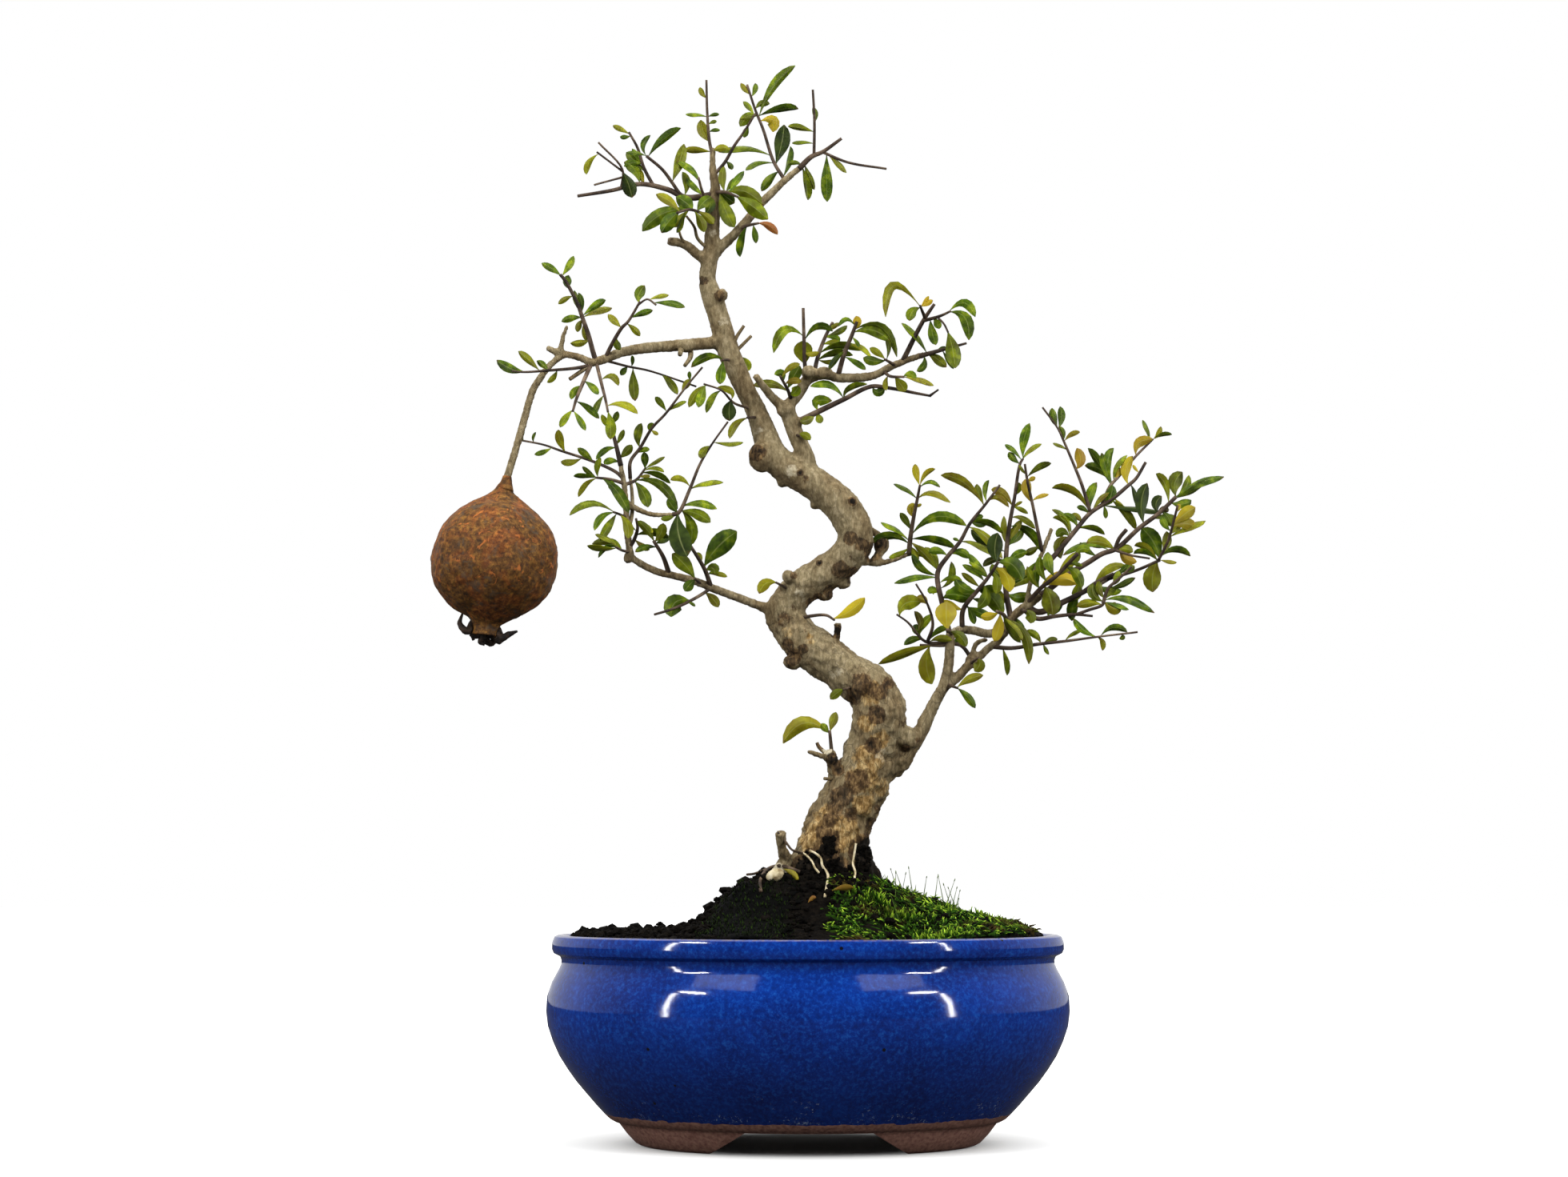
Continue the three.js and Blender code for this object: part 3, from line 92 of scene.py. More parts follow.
def applyModifier(piece, kind, **settings):
    modifier = piece.modifiers.new(kind.lower(), kind)
    for key, value in settings.items():
        setattr(modifier, key, value)
    pick(piece)
    bpy.ops.object.modifier_apply(modifier=modifier.name)


def smooth(piece, degrees=None):
    pick(piece)
    if degrees is None:
        bpy.ops.object.shade_smooth()
    else:
        bpy.ops.object.shade_smooth_by_angle(angle=math.radians(degrees))


def cleanMesh(piece, distance=0.00001):
    pick(piece)
    editMesh()
    bpy.ops.mesh.select_all(action="SELECT")
    bpy.ops.mesh.remove_doubles(threshold=distance)
    bpy.ops.mesh.normals_make_consistent(inside=False)
    leaveEdit()


def remesh(piece, voxel):
    applyModifier(piece, "REMESH", mode="VOXEL", voxel_size=voxel)


# each bump is a texture's kind, size, height, vertex group and depth
def roughen(piece, bumps):
    for kind, size, height, group, depth in bumps:
        texture = bpy.data.textures.new(piece.name + kind, kind)
        texture.noise_scale = size
        if kind == "CLOUDS":
            texture.noise_depth = depth
        applyModifier(
            piece, "DISPLACE", texture=texture, texture_coords="GLOBAL", strength=height, vertex_group=group,
        )


def corners(piece):
    places = np.zeros(len(piece.data.vertices) * 3, np.float32)
    piece.data.vertices.foreach_get("co", places)
    return places.reshape(-1, 3)


def setCorners(piece, places):
    piece.data.vertices.foreach_set("co", places.astype(np.float32).ravel())
    piece.data.update()


def paint(piece, name, colours):
    layer = piece.data.color_attributes.new(name, "FLOAT_COLOR", "POINT")
    full = np.ones((len(piece.data.vertices), 4), np.float32)
    full[:, :colours.shape[1]] = colours
    layer.data.foreach_set("color", full.ravel())


def paintAll(piece, name, colour):
    paint(piece, name, np.tile(np.array(colour, np.float32), (len(piece.data.vertices), 1)))


def copyOfNode(node, name):
    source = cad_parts[node]
    piece = source.copy()
    piece.data = source.data.copy()
    for key in list(piece.keys()):
        del piece[key]
    piece.parent = None
    piece.name = name
    piece.data.materials.clear()
    bpy.context.scene.collection.objects.link(piece)
    cleanMesh(piece)
    return piece


def setSkin(piece, skin):
    piece.data.materials.clear()
    piece.data.materials.append(skin)


def finishPiece(piece, slot, *nodes):
    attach(piece, "root")
    if nodes:
        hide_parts(*nodes)


# repeatable draws in 0..1, Park and Miller
def draws(seed):
    state = seed
    while True:
        state = state * 16807 % 2147483647
        yield state / 2147483647


def srgb(code):
    channels = [int(code[i:i + 2], 16) / 255 for i in (1, 3, 5)]
    linear = [c / 12.92 if c <= 0.04045 else ((c + 0.055) / 1.055) ** 2.4 for c in channels]
    return (*linear, 1.0)


# Adds a node with its settings and links. A link is a node, for its first output in use, or a pair
# of node and output, and the stops are a colour ramp's.
def addNode(tree, kind, inputs=None, stops=(), **settings):
    node = tree.nodes.new("ShaderNode" + kind)
    for key, value in settings.items():
        setattr(node, key, value)
    for key, value in (inputs or {}).items():
        if hasattr(value, "outputs"):
            value = (value, next(i for i, socket in enumerate(value.outputs) if socket.enabled))
        if isinstance(value, tuple) and hasattr(value[0], "outputs"):
            tree.links.new(value[0].outputs[value[1]], node.inputs[key])
        else:
            node.inputs[key].default_value = srgb(value) if isinstance(value, str) else value
    if stops:
        elements = node.color_ramp.elements
        while len(elements) < len(stops):
            elements.new(0.5)
        for element, (place, colour) in zip(elements, stops):
            element.position = place
            element.color = srgb(colour) if isinstance(colour, str) else (colour, colour, colour, 1)
    return node


# a noise's settings from the size of its pattern in mm
def grainOf(place, sizeMm, detail=4, rough=0.55, twist=0):
    settings = {"Detail": detail, "Roughness": rough, "Distortion": twist}
    return {"Vector": place, "Scale": 1000 / sizeMm, **settings}


# a range's settings: the value runs from low to high where the result runs from start to end
def span(value, low, high, start=0, end=1):
    return {"Value": value, "From Min": low, "From Max": high, "To Min": start, "To Max": end}


# coats over a colour, each with its share of cover
def layCoats(tree, colour, *coats):
    for share, coat in coats:
        colour = addNode(tree, "Mix", {0: share, 6: colour, 7: coat}, data_type="RGBA")
    return colour


def newSkin(name):
    skin = bpy.data.materials.new(name)
    skin.use_nodes = True
    tree = skin.node_tree
    tree.nodes.clear()
    return skin, tree, (addNode(tree, "TexCoord"), "Object")


def finishSkin(skin, inputs):
    shader = addNode(skin.node_tree, "BsdfPrincipled", inputs)
    addNode(skin.node_tree, "OutputMaterial", {"Surface": shader})
    return skin


# The tree is laid out on a drawing sheet: columns run right, rows run down, and depth in mm runs away.
potMiddle = (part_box("pot")[0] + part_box("pot")[1]) / 2
sheet = {
    "eye": (-10.5, -1400.0, 126.6),
    "tilt": math.radians(4.8),
    "focus": 3948.0,
    "column": 980.0,
    "row": 735.5,
    "unitsPerMm": 2.843,
}


def at(column, row, depth):
    right = (column - sheet["column"]) / sheet["focus"]
    up = (sheet["row"] - row) / sheet["focus"]
    ahead = math.cos(sheet["tilt"]) - up * math.sin(sheet["tilt"])
    rise = math.sin(sheet["tilt"]) + up * math.cos(sheet["tilt"])
    reach = (depth - sheet["eye"][1]) / ahead
    place = Vector((sheet["eye"][0] + right * reach, depth, sheet["eye"][2] + rise * reach))
    return place / 1000 + Vector((potMiddle.x, potMiddle.y, 0))


def fromSheet(size):
    return size / sheet["unitsPerMm"] / 1000


def pairsOf(flat):
    return [(flat[i], flat[i + 1]) for i in range(0, len(flat), 2)]


# the same smooth line through its points as the solids have
def smoothLine(points, steps):
    points = [Vector(p) for p in points]
    places = [2 * points[0] - points[1]] + points + [2 * points[-1] - points[-2]]
    line = []
    for i in range(steps + 1):
        place = i / steps * (len(points) - 1)
        k = min(int(place), len(points) - 2)
        p0, p1, p2, p3 = places[k:k + 4]
        gaps = [max((b - a).length ** 0.5, 1e-6) for a, b in ((p0, p1), (p1, p2), (p2, p3))]
        m1 = (p1 - p0) / gaps[0] - (p2 - p0) / (gaps[0] + gaps[1]) + (p2 - p1) / gaps[1]
        m2 = (p2 - p1) / gaps[1] - (p3 - p1) / (gaps[1] + gaps[2]) + (p3 - p2) / gaps[2]
        m1, m2 = m1 * gaps[1], m2 * gaps[1]
        t = place - k
        a = 2 * p1 - 2 * p2 + m1 + m2
        b = -3 * p1 + 3 * p2 - 2 * m1 - m2
        line.append(((a * t + b) * t + m1) * t + p1)
    return line


spotsOnLine = 12  # remembered along each stretch of a line, for what grows from it


def remember(store, points, depths):
    for i in range(len(points) - 1):
        for k in range(spotsOnLine + 1):
            t = k / spotsOnLine
            store.append((
                points[i][0] + (points[i + 1][0] - points[i][0]) * t,
                points[i][1] + (points[i + 1][1] - points[i][1]) * t,
                depths[i] + (depths[i + 1] - depths[i]) * t,
            ))


def nearest(store, column, row):
    return min(store, key=lambda spot: (spot[0] - column) ** 2 + (spot[1] - row) ** 2)


# a drawn line starts on what it grows from and runs evenly to its own depth
def growLine(parents, own, drawn):
    startWidth, endWidth, endDepth = drawn[:3]
    points = pairsOf(drawn[3:])
    root = nearest(parents, *points[0])
    points[0] = root[:2]
    lengths = [0.0]
    for a, b in zip(points, points[1:]):
        lengths.append(lengths[-1] + math.hypot(b[0] - a[0], b[1] - a[1]))
    depths = [root[2] + (endDepth - root[2]) * length / lengths[-1] for length in lengths]
    remember(own, points, depths)
    last = len(points) - 1
    radii = [fromSheet((startWidth + (endWidth - startWidth) * i / last) / 2) for i in range(last + 1)]
    return [at(*points[i], depths[i]) for i in range(last + 1)], radii


potSizes = {
    "oval": 0.8,  # width over length
    "sides": 72,
    "footHeight": 9.9,
    "frontGap": (54, 90),  # between the feet, at the top and on the ground
    "sideGap": (16, 30),
    "gapCutter": (0.3, 0.002),  # its length, and how far it reaches under the feet
    "drainRadius": 7.0,
    "drainOffset": 36.0,
    "drill": (0.013, 0.03),  # the height of its middle, and its length
    "footEdge": 0.0009,
    "sharpAngle": 34,
    "glazeEnd": (0.0128, 0.0152),  # the glaze stops between these heights above the clay feet
}

# half length and height in mm, from the floor's underside round the rim and down inside
potProfile = (
    (30, 9.9), (60, 9.9), (78, 9.9), (82, 9.9), (85, 10.4), (87.2, 11.6), (89.3, 13.6), (92.8, 17.3),
    (97.4, 22.6), (101.5, 27.4), (105.2, 32.5), (109.1, 38.6), (112, 45), (114.2, 51.6), (115, 58),
    (114.6, 64.6), (112.6, 70.6), (109.6, 76.1), (108.5, 78.6), (108.4, 80.2), (109, 81.8), (111.8, 83.2),
    (112.6, 85), (112.5, 88.2), (111.6, 90.4), (110, 91.1), (107.6, 91.1), (106.2, 90.4), (105.2, 87.6),
    (104.4, 78.6), (107, 68.6), (109, 60), (106.6, 45), (99.6, 32.5), (91, 22.6), (80, 15), (60, 15),
    (30, 15),
)
footProfile = (
    (66, 0), (73, 0), (74.6, 0.5), (76.6, 1.6), (79.9, 5.4), (83.8, 10.6), (72, 10.6), (64.8, 5.5),
    (65.2, 0.7),
)


def ovalRings(name, profile, closed):
    first = profile[0]
    deselectAll()
    bpy.ops.mesh.primitive_circle_add(
        vertices=potSizes["sides"], radius=first[0] / 1000,
        location=(potMiddle.x, potMiddle.y, first[1] / 1000),
    )
    ring = bpy.context.object
    ring.name = name
    editMesh()
    for before, after in zip(profile, profile[1:] + (first,) * closed):
        bpy.ops.mesh.extrude_edges_move(
            TRANSFORM_OT_translate={"value": (0, 0, (after[1] - before[1]) / 1000)}
        )
        share = after[0] / before[0]
        centre = (potMiddle.x, potMiddle.y, after[1] / 1000)
        bpy.ops.transform.resize(value=(share, share, 1), center_override=centre)
    if closed:
        bpy.ops.mesh.select_all(action="SELECT")
        bpy.ops.mesh.remove_doubles(threshold=0.00001)
    else:
        closeEnd(ring, profile[-1][1])
        closeEnd(ring, first[1])
    leaveEdit()
    applyPlace(ring)
    editMesh()
    bpy.ops.mesh.select_all(action="SELECT")
    bpy.ops.transform.resize(value=(1, potSizes["oval"], 1), center_override=potMiddle)
    leaveEdit()
    cleanMesh(ring)
    return ring


# the open end at a height is extruded and drawn together at its middle
def closeEnd(ring, height):
    nearHeight = 0.0002
    bpy.ops.mesh.select_all(action="DESELECT")
    bpy.ops.mesh.select_non_manifold()
    leaveEdit()
    for vertex in ring.data.vertices:
        if abs((ring.matrix_world @ vertex.co).z - height / 1000) > nearHeight:
            vertex.select = False
    for edge in ring.data.edges:
        edge.select = all(ring.data.vertices[i].select for i in edge.vertices)
    editMesh()
    bpy.ops.mesh.extrude_edges_move()
    bpy.ops.mesh.merge(type="CENTER")


def cutWith(piece, cutter):
    applyModifier(piece, "BOOLEAN", operation="DIFFERENCE", solver="EXACT", object=cutter)
    bpy.data.objects.remove(cutter)


# a wedge wider at the bottom, through the foot ring
def footGap(widths, alongX):
    topWidth, footWidth = widths
    length, under = potSizes["gapCutter"]
    tall = potSizes["footHeight"] / 1000 + under
    middle = (potMiddle.x, potMiddle.y, tall / 2 - under)
    deselectAll()
    bpy.ops.mesh.primitive_cube_add(size=1, location=middle)
    gap = bpy.context.object
    editMesh()
    size = (length, topWidth / 1000, tall) if alongX else (topWidth / 1000, length, tall)
    bpy.ops.transform.resize(value=size, center_override=middle)
    leaveEdit()
    selectCorners(gap, lambda place: place.z < 0)
    editMesh()
    wider = footWidth / topWidth
    bpy.ops.transform.resize(
        value=(1, wider, 1) if alongX else (wider, 1, 1), center_override=(potMiddle.x, potMiddle.y, -under)
    )
    leaveEdit()
    applyPlace(gap)
    return gap


def drainDrill(side):
    height, length = potSizes["drill"]
    deselectAll()
    bpy.ops.mesh.primitive_cylinder_add(
        vertices=32, radius=potSizes["drainRadius"] / 1000, depth=length,
        location=(potMiddle.x + side * potSizes["drainOffset"] / 1000, potMiddle.y, height),
    )
    drill = bpy.context.object
    editMesh()
    bpy.ops.mesh.bevel(offset=0.0004, segments=2)
    leaveEdit()
    applyPlace(drill)
    return drill


def makePot():
    bowl = ovalRings("pot_glazed", potProfile, False)
    for side in (-1, 1):
        cutWith(bowl, drainDrill(side))
    feet = ovalRings("pot_feet", footProfile, True)
    cutWith(feet, footGap(potSizes["frontGap"], False))
    cutWith(feet, footGap(potSizes["sideGap"], True))
    applyModifier(feet, "BEVEL", width=potSizes["footEdge"], segments=3, limit_method="ANGLE")
    whole = joinPieces("pot_body", [bowl, feet])
    smooth(whole, potSizes["sharpAngle"])
    setSkin(whole, cobaltGlaze())
    finishPiece(whole, "glazed_stoneware", "pot")


# Cobalt glaze over brown stoneware, poured and fired: glossy and clear, mottled where it pooled, thin and
# brownish over the lip's edge, with the feet left as bare clay; painted shade darkens the glaze towards the
# bottom of the belly.
def cobaltGlaze():
    skin, tree, place = newSkin("CobaltGlazedStoneware")
    split = addNode(tree, "SeparateXYZ", {0: place})
    fine = addNode(tree, "TexNoise", grainOf(place, 1.9, 6, 0.7))
    broad = addNode(tree, "TexNoise", grainOf(place, 24, 3, 0.5, 0.6))
    mottle = addNode(tree, "ValToRGB", {0: fine}, (
        (0.34, "#01144C"), (0.5, "#032A80"), (0.64, "#1350AC"), (0.76, "#3474C4"),
    ))
    pooled = addNode(tree, "ValToRGB", {0: broad}, ((0.3, "#021E66"), (0.7, "#063A9C")))
    # painted shade: the glaze is darkened towards the bottom of the belly, mixed in with #04103C
    low = addNode(tree, "MapRange", span((split, "Z"), 0.014, 0.05, 0.4, 0))
    cells = addNode(tree, "TexVoronoi", {"Vector": place, "Scale": 1000 / 15})
    pits = addNode(tree, "ValToRGB", {0: cells}, ((0.045, 1.0), (0.06, 0.0)))
    worn = addNode(tree, "TexNoise", grainOf(place, 2.2, 3))
    wear = addNode(tree, "ValToRGB", {0: worn}, ((0.42, 0.15), (0.62, 0.85)))
    lip = addNode(tree, "MapRange", span((split, "Z"), 0.0903, 0.0911))
    lipShare = addNode(tree, "Math", {0: lip, 1: wear}, operation="MULTIPLY")
    dust = addNode(tree, "TexNoise", grainOf(place, 1.6, 5))
    clay = addNode(tree, "ValToRGB", {0: dust}, ((0.3, "#6C473B"), (0.7, "#A67A6A")))
    edge = addNode(tree, "TexNoise", grainOf(place, 6, 2))
    edgeHeight = addNode(tree, "MapRange", span(edge, 0, 1, *potSizes["glazeEnd"]))
    bare = addNode(tree, "Math", {0: (split, "Z"), 1: edgeHeight}, operation="LESS_THAN")
    ripple = addNode(tree, "TexNoise", grainOf(place, 9, 2))
    return finishSkin(skin, {
        "Base Color": layCoats(
            tree, mottle, (0.45, pooled), (low, "#04103C"), (pits, "#070A1C"),
            (limeSpecks(tree, place, split), "#9FB2C8"), (lipShare, "#72625E"), (bare, clay),
        ),
        "Roughness": addNode(tree, "MapRange", span(bare, 0, 1, 0.085, 0.82)),
        "IOR": 1.52,
        "Normal": addNode(tree, "Bump", {"Height": ripple, "Strength": 0.12, "Distance": 0.0005}),
    })


# hard water has dried into pale specks and smears low on the glaze
def limeSpecks(tree, place, split):
    smear = addNode(tree, "TexNoise", grainOf(place, 9, 3, 0.6))
    specks = addNode(tree, "TexNoise", grainOf(place, 1.3, 4, 0.8))
    low = addNode(tree, "MapRange", span((split, "Z"), 0.016, 0.034, 0.16, 0))
    lowSpecks = addNode(tree, "Math", {0: specks, 1: low}, operation="ADD")
    halfSmear = addNode(tree, "Math", {0: smear, 1: 0.5}, operation="MULTIPLY")
    whole = addNode(tree, "Math", {0: lowSpecks, 1: halfSmear}, operation="ADD")
    return addNode(tree, "MapRange", span(whole, 1.02, 1.1, 0, 0.6))


def makeScreens():
    black = blackPlastic()
    for name in ("drain_screen_left", "drain_screen_right"):
        setSkin(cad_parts[name], black)


# Moulded polypropylene mesh: dull black with a faint sheen.
def blackPlastic():
    return finishSkin(newSkin("BlackPolypropylene")[0], {"Base Color": "#141414", "Roughness": 0.55})


soilSizes = {
    "voxel": 0.0016,
    "slopes": ((0.044, 0.0165, 0.0064), (0.09, 0.02, -0.0022), (-0.03, 0.009, 0.0018)),
    "slopeTop": (0.124, 0.004),  # the clod above this stays as it is, and how softly the slope ends
    "roughAbove": 0.0855,
    "bumps": (("CLOUDS", 0.006, 0.0022, "top", 3), ("VORONOI", 0.0035, 0.0014, "top", 2)),
    "crumbs": 2600,
    "crumbSize": (0.0006, 0.0021),  # the smallest, and how much more the largest have
    "lump": (22, 0.0014),  # one crumb in so many is a lump, larger by so much
    "crumbReach": (-0.105, 0.2, 1.25),  # left end, length, and how much denser they lie at the left
    "underMoss": 0.6,  # share of the crumbs left out right of the trunk
    "halfBed": (0.106, 0.083),
}
mossSizes = {
    "voxel": 0.0012,
    "sunk": 0.0026,  # the shoots stand this much deeper than the solid's surface
    "bumps": (("CLOUDS", 0.008, 0.0022, "", 2), ("CLOUDS", 0.0022, 0.0012, "", 3)),
    "filmBumps": (("CLOUDS", 0.003, 0.0016, "", 3),),
    # count, from left to right of the pot's middle, shortest and how much longer, slimness
    "shoots": (7200, (-0.008, 0.106), (0.002, 0.0034), 1.0),
    "blades": (620, (0.018, 0.088), (0.0036, 0.0044), 0.34),
    "filmShoots": (900, (-0.05, 0.01), (0.0011, 0.0016), 1.0),
    "halfDepth": 0.084,
    "stalks": 17,
    "stalkPatch": ((0.036, 0.03), (-0.05, 0.09)),  # left end and length, front and depth
    "stalkHeight": (0.005, 0.011),
}


def topTree(piece):
    return BVHTree.FromObject(piece, bpy.context.evaluated_depsgraph_get())


def dropOnto(surface, x, y):
    hit = surface.ray_cast(Vector((x + potMiddle.x, y + potMiddle.y, 0.3)), Vector((0, 0, -1)))
    return hit[0], hit[1]


# a drawn spot laid on the foremost surface, and lifted off it towards the front
def layOn(surfaces, column, row, lift=0.0):
    start = at(column, row, -400)
    way = (at(column, row, 0) - start).normalized()
    reaches = [hit[3] for hit in (surface.ray_cast(start, way) for surface in surfaces) if hit[0]]
    return start + way * (min(reaches, default=(at(column, row, -20) - start).length) - lift)


# the top is lowered all over, and more where the mound slopes: middle, reach and depth of each slope
def lowerTop(piece, depth, underToo=False):
    places, normals = corners(piece), np.array([vertex.normal for vertex in piece.data.vertices])
    upward = np.clip(normals[:, 2] * 2, 0, 1)
    places[:, 2] -= depth * upward
    slopeTop, softness = soilSizes["slopeTop"]
    low = np.clip((slopeTop - places[:, 2]) / softness, 0, 1)
    for middle, reach, more in soilSizes["slopes"]:
        slope = more * np.exp(-(((places[:, 0] - potMiddle.x - middle) / reach) ** 2))
        places[:, 2] -= low * slope * (1 if underToo else upward)
    setCorners(piece, places)


def turnBy(matrix, angles, axes):
    for angle, axis in zip(angles, axes):
        matrix = matrix @ Matrix.Rotation(angle, 4, axis)
    return matrix


# one small shape copied to many places in a single mesh, with a tone for each copy and its height up the
# shape, which the moss uses for painted shade low down and painted highlight at the tips
def scatter(name, master, places):
    shape = corners(master)
    faces = [list(face.vertices) for face in master.data.polygons]
    allCorners, allFaces = [], []
    for matrix in places:
        turned = shape @ np.array(matrix.to_3x3()).T + np.array(matrix.translation)
        offset = len(allCorners) * len(shape)
        allCorners.append(turned)
        allFaces += [[offset + i for i in face] for face in faces]
    mesh = bpy.data.meshes.new(name)
    mesh.from_pydata(np.concatenate(allCorners).tolist(), [], allFaces)
    piece = bpy.data.objects.new(name, mesh)
    # height up each copy, read by the moss as painted shade at the base and painted highlight at the tip
    heights = np.tile(np.clip(shape[:, 2], 0, 1), len(places))
    tones = np.repeat(np.linspace(0, 997, len(places)) % 1, len(shape))
    paint(piece, "shootTone", np.stack([heights, tones], axis=1))
    bpy.context.scene.collection.objects.link(piece)
    bpy.data.objects.remove(master)
    return piece


def makeSoil():
    bed = copyOfNode("soil", "soil_bed")
    remesh(bed, soilSizes["voxel"])
    high = np.nonzero(corners(bed)[:, 2] > soilSizes["roughAbove"])[0]
    bed.vertex_groups.new(name="top").add([int(i) for i in high], 1.0, "REPLACE")
    roughen(bed, soilSizes["bumps"])
    lowerTop(bed, 0.0)
    smooth(bed)
    whole = joinPieces("soil_bed", [bed, makeCrumbs(topTree(bed))])
    setSkin(whole, dampSoil())
    finishPiece(whole, "potting_soil", "soil")


# a broken grain, to be copied
def grainMaster(seed, shape):
    deselectAll()
    bpy.ops.mesh.primitive_ico_sphere_add(subdivisions=1, radius=1)
    grain = bpy.context.object
    editMesh()
    bpy.ops.transform.vertex_random(offset=0.3, seed=seed)
    bpy.ops.transform.resize(value=shape)
    leaveEdit()
    return grain


def makeCrumbs(surface):
    grain = grainMaster(5, (1, 0.72, 0.6))
    smallest, more = soilSizes["crumbSize"]
    every, larger = soilSizes["lump"]
    left, length, denser = soilSizes["crumbReach"]
    halfLength, halfDepth = soilSizes["halfBed"]
    draw = draws(77)
    spots = []
    while len(spots) < soilSizes["crumbs"]:
        x = left + length * next(draw) ** denser
        y = (next(draw) * 2 - 1) * halfDepth * math.sqrt(max(0.0, 1 - (x / halfLength) ** 2))
        size = smallest + more * next(draw) ** 2.0
        if len(spots) % every == 0:
            size += larger
        turn = (next(draw) * 6.3, next(draw) * 6.3)
        place, normal = dropOnto(surface, x, y)
        if place is None or x > 0.0 and next(draw) < soilSizes["underMoss"]:
            continue
        matrix = turnBy(Matrix.Translation(place + normal * size * 0.35), turn, "ZX")
        spots.append(matrix @ Matrix.Scale(size, 4))
    return scatter("soil_crumbs", grain, spots)


# Damp potting compost: near-black brown, matt, with paler bark and grit crumbs.
def dampSoil():
    skin, tree, place = newSkin("DampPottingCompost")
    grain = addNode(tree, "TexNoise", grainOf(place, 2.4, 8, 0.7))
    patches = addNode(tree, "TexNoise", grainOf(place, 14, 3))
    dark = addNode(tree, "ValToRGB", {0: grain}, ((0.36, "#010101"), (0.58, "#080705"), (0.76, "#211C14")))
    brown = addNode(tree, "ValToRGB", {0: grain}, ((0.4, "#030202"), (0.72, "#1E1811")))
    return finishSkin(skin, {
        "Base Color": layCoats(tree, dark, (patches, brown)),
        "Roughness": 0.92,
        "Specular IOR Level": 0.12,
        "Normal": addNode(tree, "Bump", {"Height": grain, "Strength": 0.9, "Distance": 0.0008}),
    })


def makeMoss():
    cushion = copyOfNode("moss_cushion", "moss_bed")
    remesh(cushion, mossSizes["voxel"])
    lowerTop(cushion, mossSizes["sunk"], True)
    roughen(cushion, mossSizes["bumps"])
    smooth(cushion)
    # the bed under the shoots takes a low height, so it is painted in shade
    paintAll(cushion, "shootTone", (0.25, 0.5))
    surface = topTree(cushion)
    shoots = makeMossShoots("moss_shoots", surface, *mossSizes["shoots"])
    blades = makeMossShoots("moss_blades", surface, *mossSizes["blades"])
    stalks = makeMossStalks(surface)
    setSkin(stalks, mossStalkSkin())
    finishPiece(stalks, "green_moss")
    living = cushionMoss("CushionMoss", ("#081001", "#2C5208", "#A6C838"), "#3A2A10")
    setSkin(blades, living)
    finishPiece(blades, "green_moss")
    whole = joinPieces("moss_bed", [cushion, shoots])
    setSkin(whole, living)
    finishPiece(whole, "green_moss", "moss_cushion")
    film = copyOfNode("moss_film", "moss_film_bed")
    remesh(film, mossSizes["voxel"])
    roughen(film, mossSizes["filmBumps"])
    smooth(film)
    # the film's bed takes a lower height still, so it is painted in deeper shade
    paintAll(film, "shootTone", (0.1, 0.5))
    low = makeMossShoots("film_shoots", topTree(film), *mossSizes["filmShoots"])
    film = joinPieces("moss_film_bed", [film, low])
    setSkin(film, cushionMoss("DarkMossFilm", ("#020202", "#0B1204", "#2E4410"), "#0C0805"))
    finishPiece(film, "dark_moss", "moss_film")


# a leafy moss shoot: a narrow blade, round in section, widest low down and pointed
def makeMossShoots(name, surface, count, reach, lengths, slim):
    deselectAll()
    bpy.ops.mesh.primitive_cone_add(vertices=4, radius1=0.13, radius2=0.02, depth=1)
    shoot = bpy.context.object
    editMesh()
    bpy.ops.transform.translate(value=(0, 0, 0.5))
    bpy.ops.mesh.bisect(plane_co=(0, 0, 0.45), plane_no=(0, 0, 1))
    bpy.ops.transform.resize(value=(1.55, 1.55, 1), center_override=(0, 0, 0.45))
    bpy.ops.transform.translate(value=(0.05, 0.03, 0))
    bpy.ops.mesh.select_all(action="SELECT")
    bpy.ops.transform.resize(value=(slim, slim, 1), center_override=(0, 0, 0))
    leaveEdit()
    applyPlace(shoot)
    draw = draws(431 + count)
    spots = []
    while len(spots) < count:
        x = reach[0] + (reach[1] - reach[0]) * next(draw)
        y = (next(draw) * 2 - 1) * mossSizes["halfDepth"]
        size = lengths[0] + lengths[1] * next(draw) ** 2
        lean = ((next(draw) - 0.5) * 0.9, (next(draw) - 0.5) * 0.9, next(draw) * 6.3)
        place, normal = dropOnto(surface, x, y)
        if place is None:
            continue
        turn = (normal + Vector((0, 0, 1))).to_track_quat("Z", "Y").to_matrix().to_4x4()
        tilt = turnBy(Matrix.Identity(4), lean, "XYZ")
        spots.append(Matrix.Translation(place - normal * size * 0.15) @ turn @ tilt @ Matrix.Scale(size, 4))
    return scatter(name, shoot, spots)


# thin fruiting stalks of the moss, each with a small capsule
def makeMossStalks(surface):
    deselectAll()
    bpy.ops.mesh.primitive_cone_add(vertices=4, radius1=0.00026, radius2=0.00008, depth=1)
    stalk = bpy.context.object
    stalk.location = (0, 0, 0)
    editMesh()
    bpy.ops.transform.translate(value=(0, 0, 0.5))
    bpy.ops.mesh.primitive_ico_sphere_add(subdivisions=1, radius=1, location=(0, 0, 1))
    bpy.ops.transform.resize(value=(0.00026, 0.00026, 0.06), center_override=(0, 0, 1))
    leaveEdit()
    (left, length), (front, depth) = mossSizes["stalkPatch"]
    shortest, more = mossSizes["stalkHeight"]
    draw = draws(91)
    spots = []
    while len(spots) < mossSizes["stalks"]:
        x = left + length * next(draw) ** 1.5
        y = front + depth * next(draw)
        height = shortest + more * next(draw)
        lean = ((next(draw) - 0.5) * 0.7, (next(draw) - 0.5) * 0.7)
        place = dropOnto(surface, x, y)[0]
        if place is None:
            continue
        tilt = turnBy(Matrix.Identity(4), lean, "XY")
        stretch = Matrix.Diagonal((1, 1, height, 1))
        spots.append(Matrix.Translation(place - Vector((0, 0, 0.0005))) @ tilt @ stretch)
    return scatter("moss_stalks", stalk, spots)
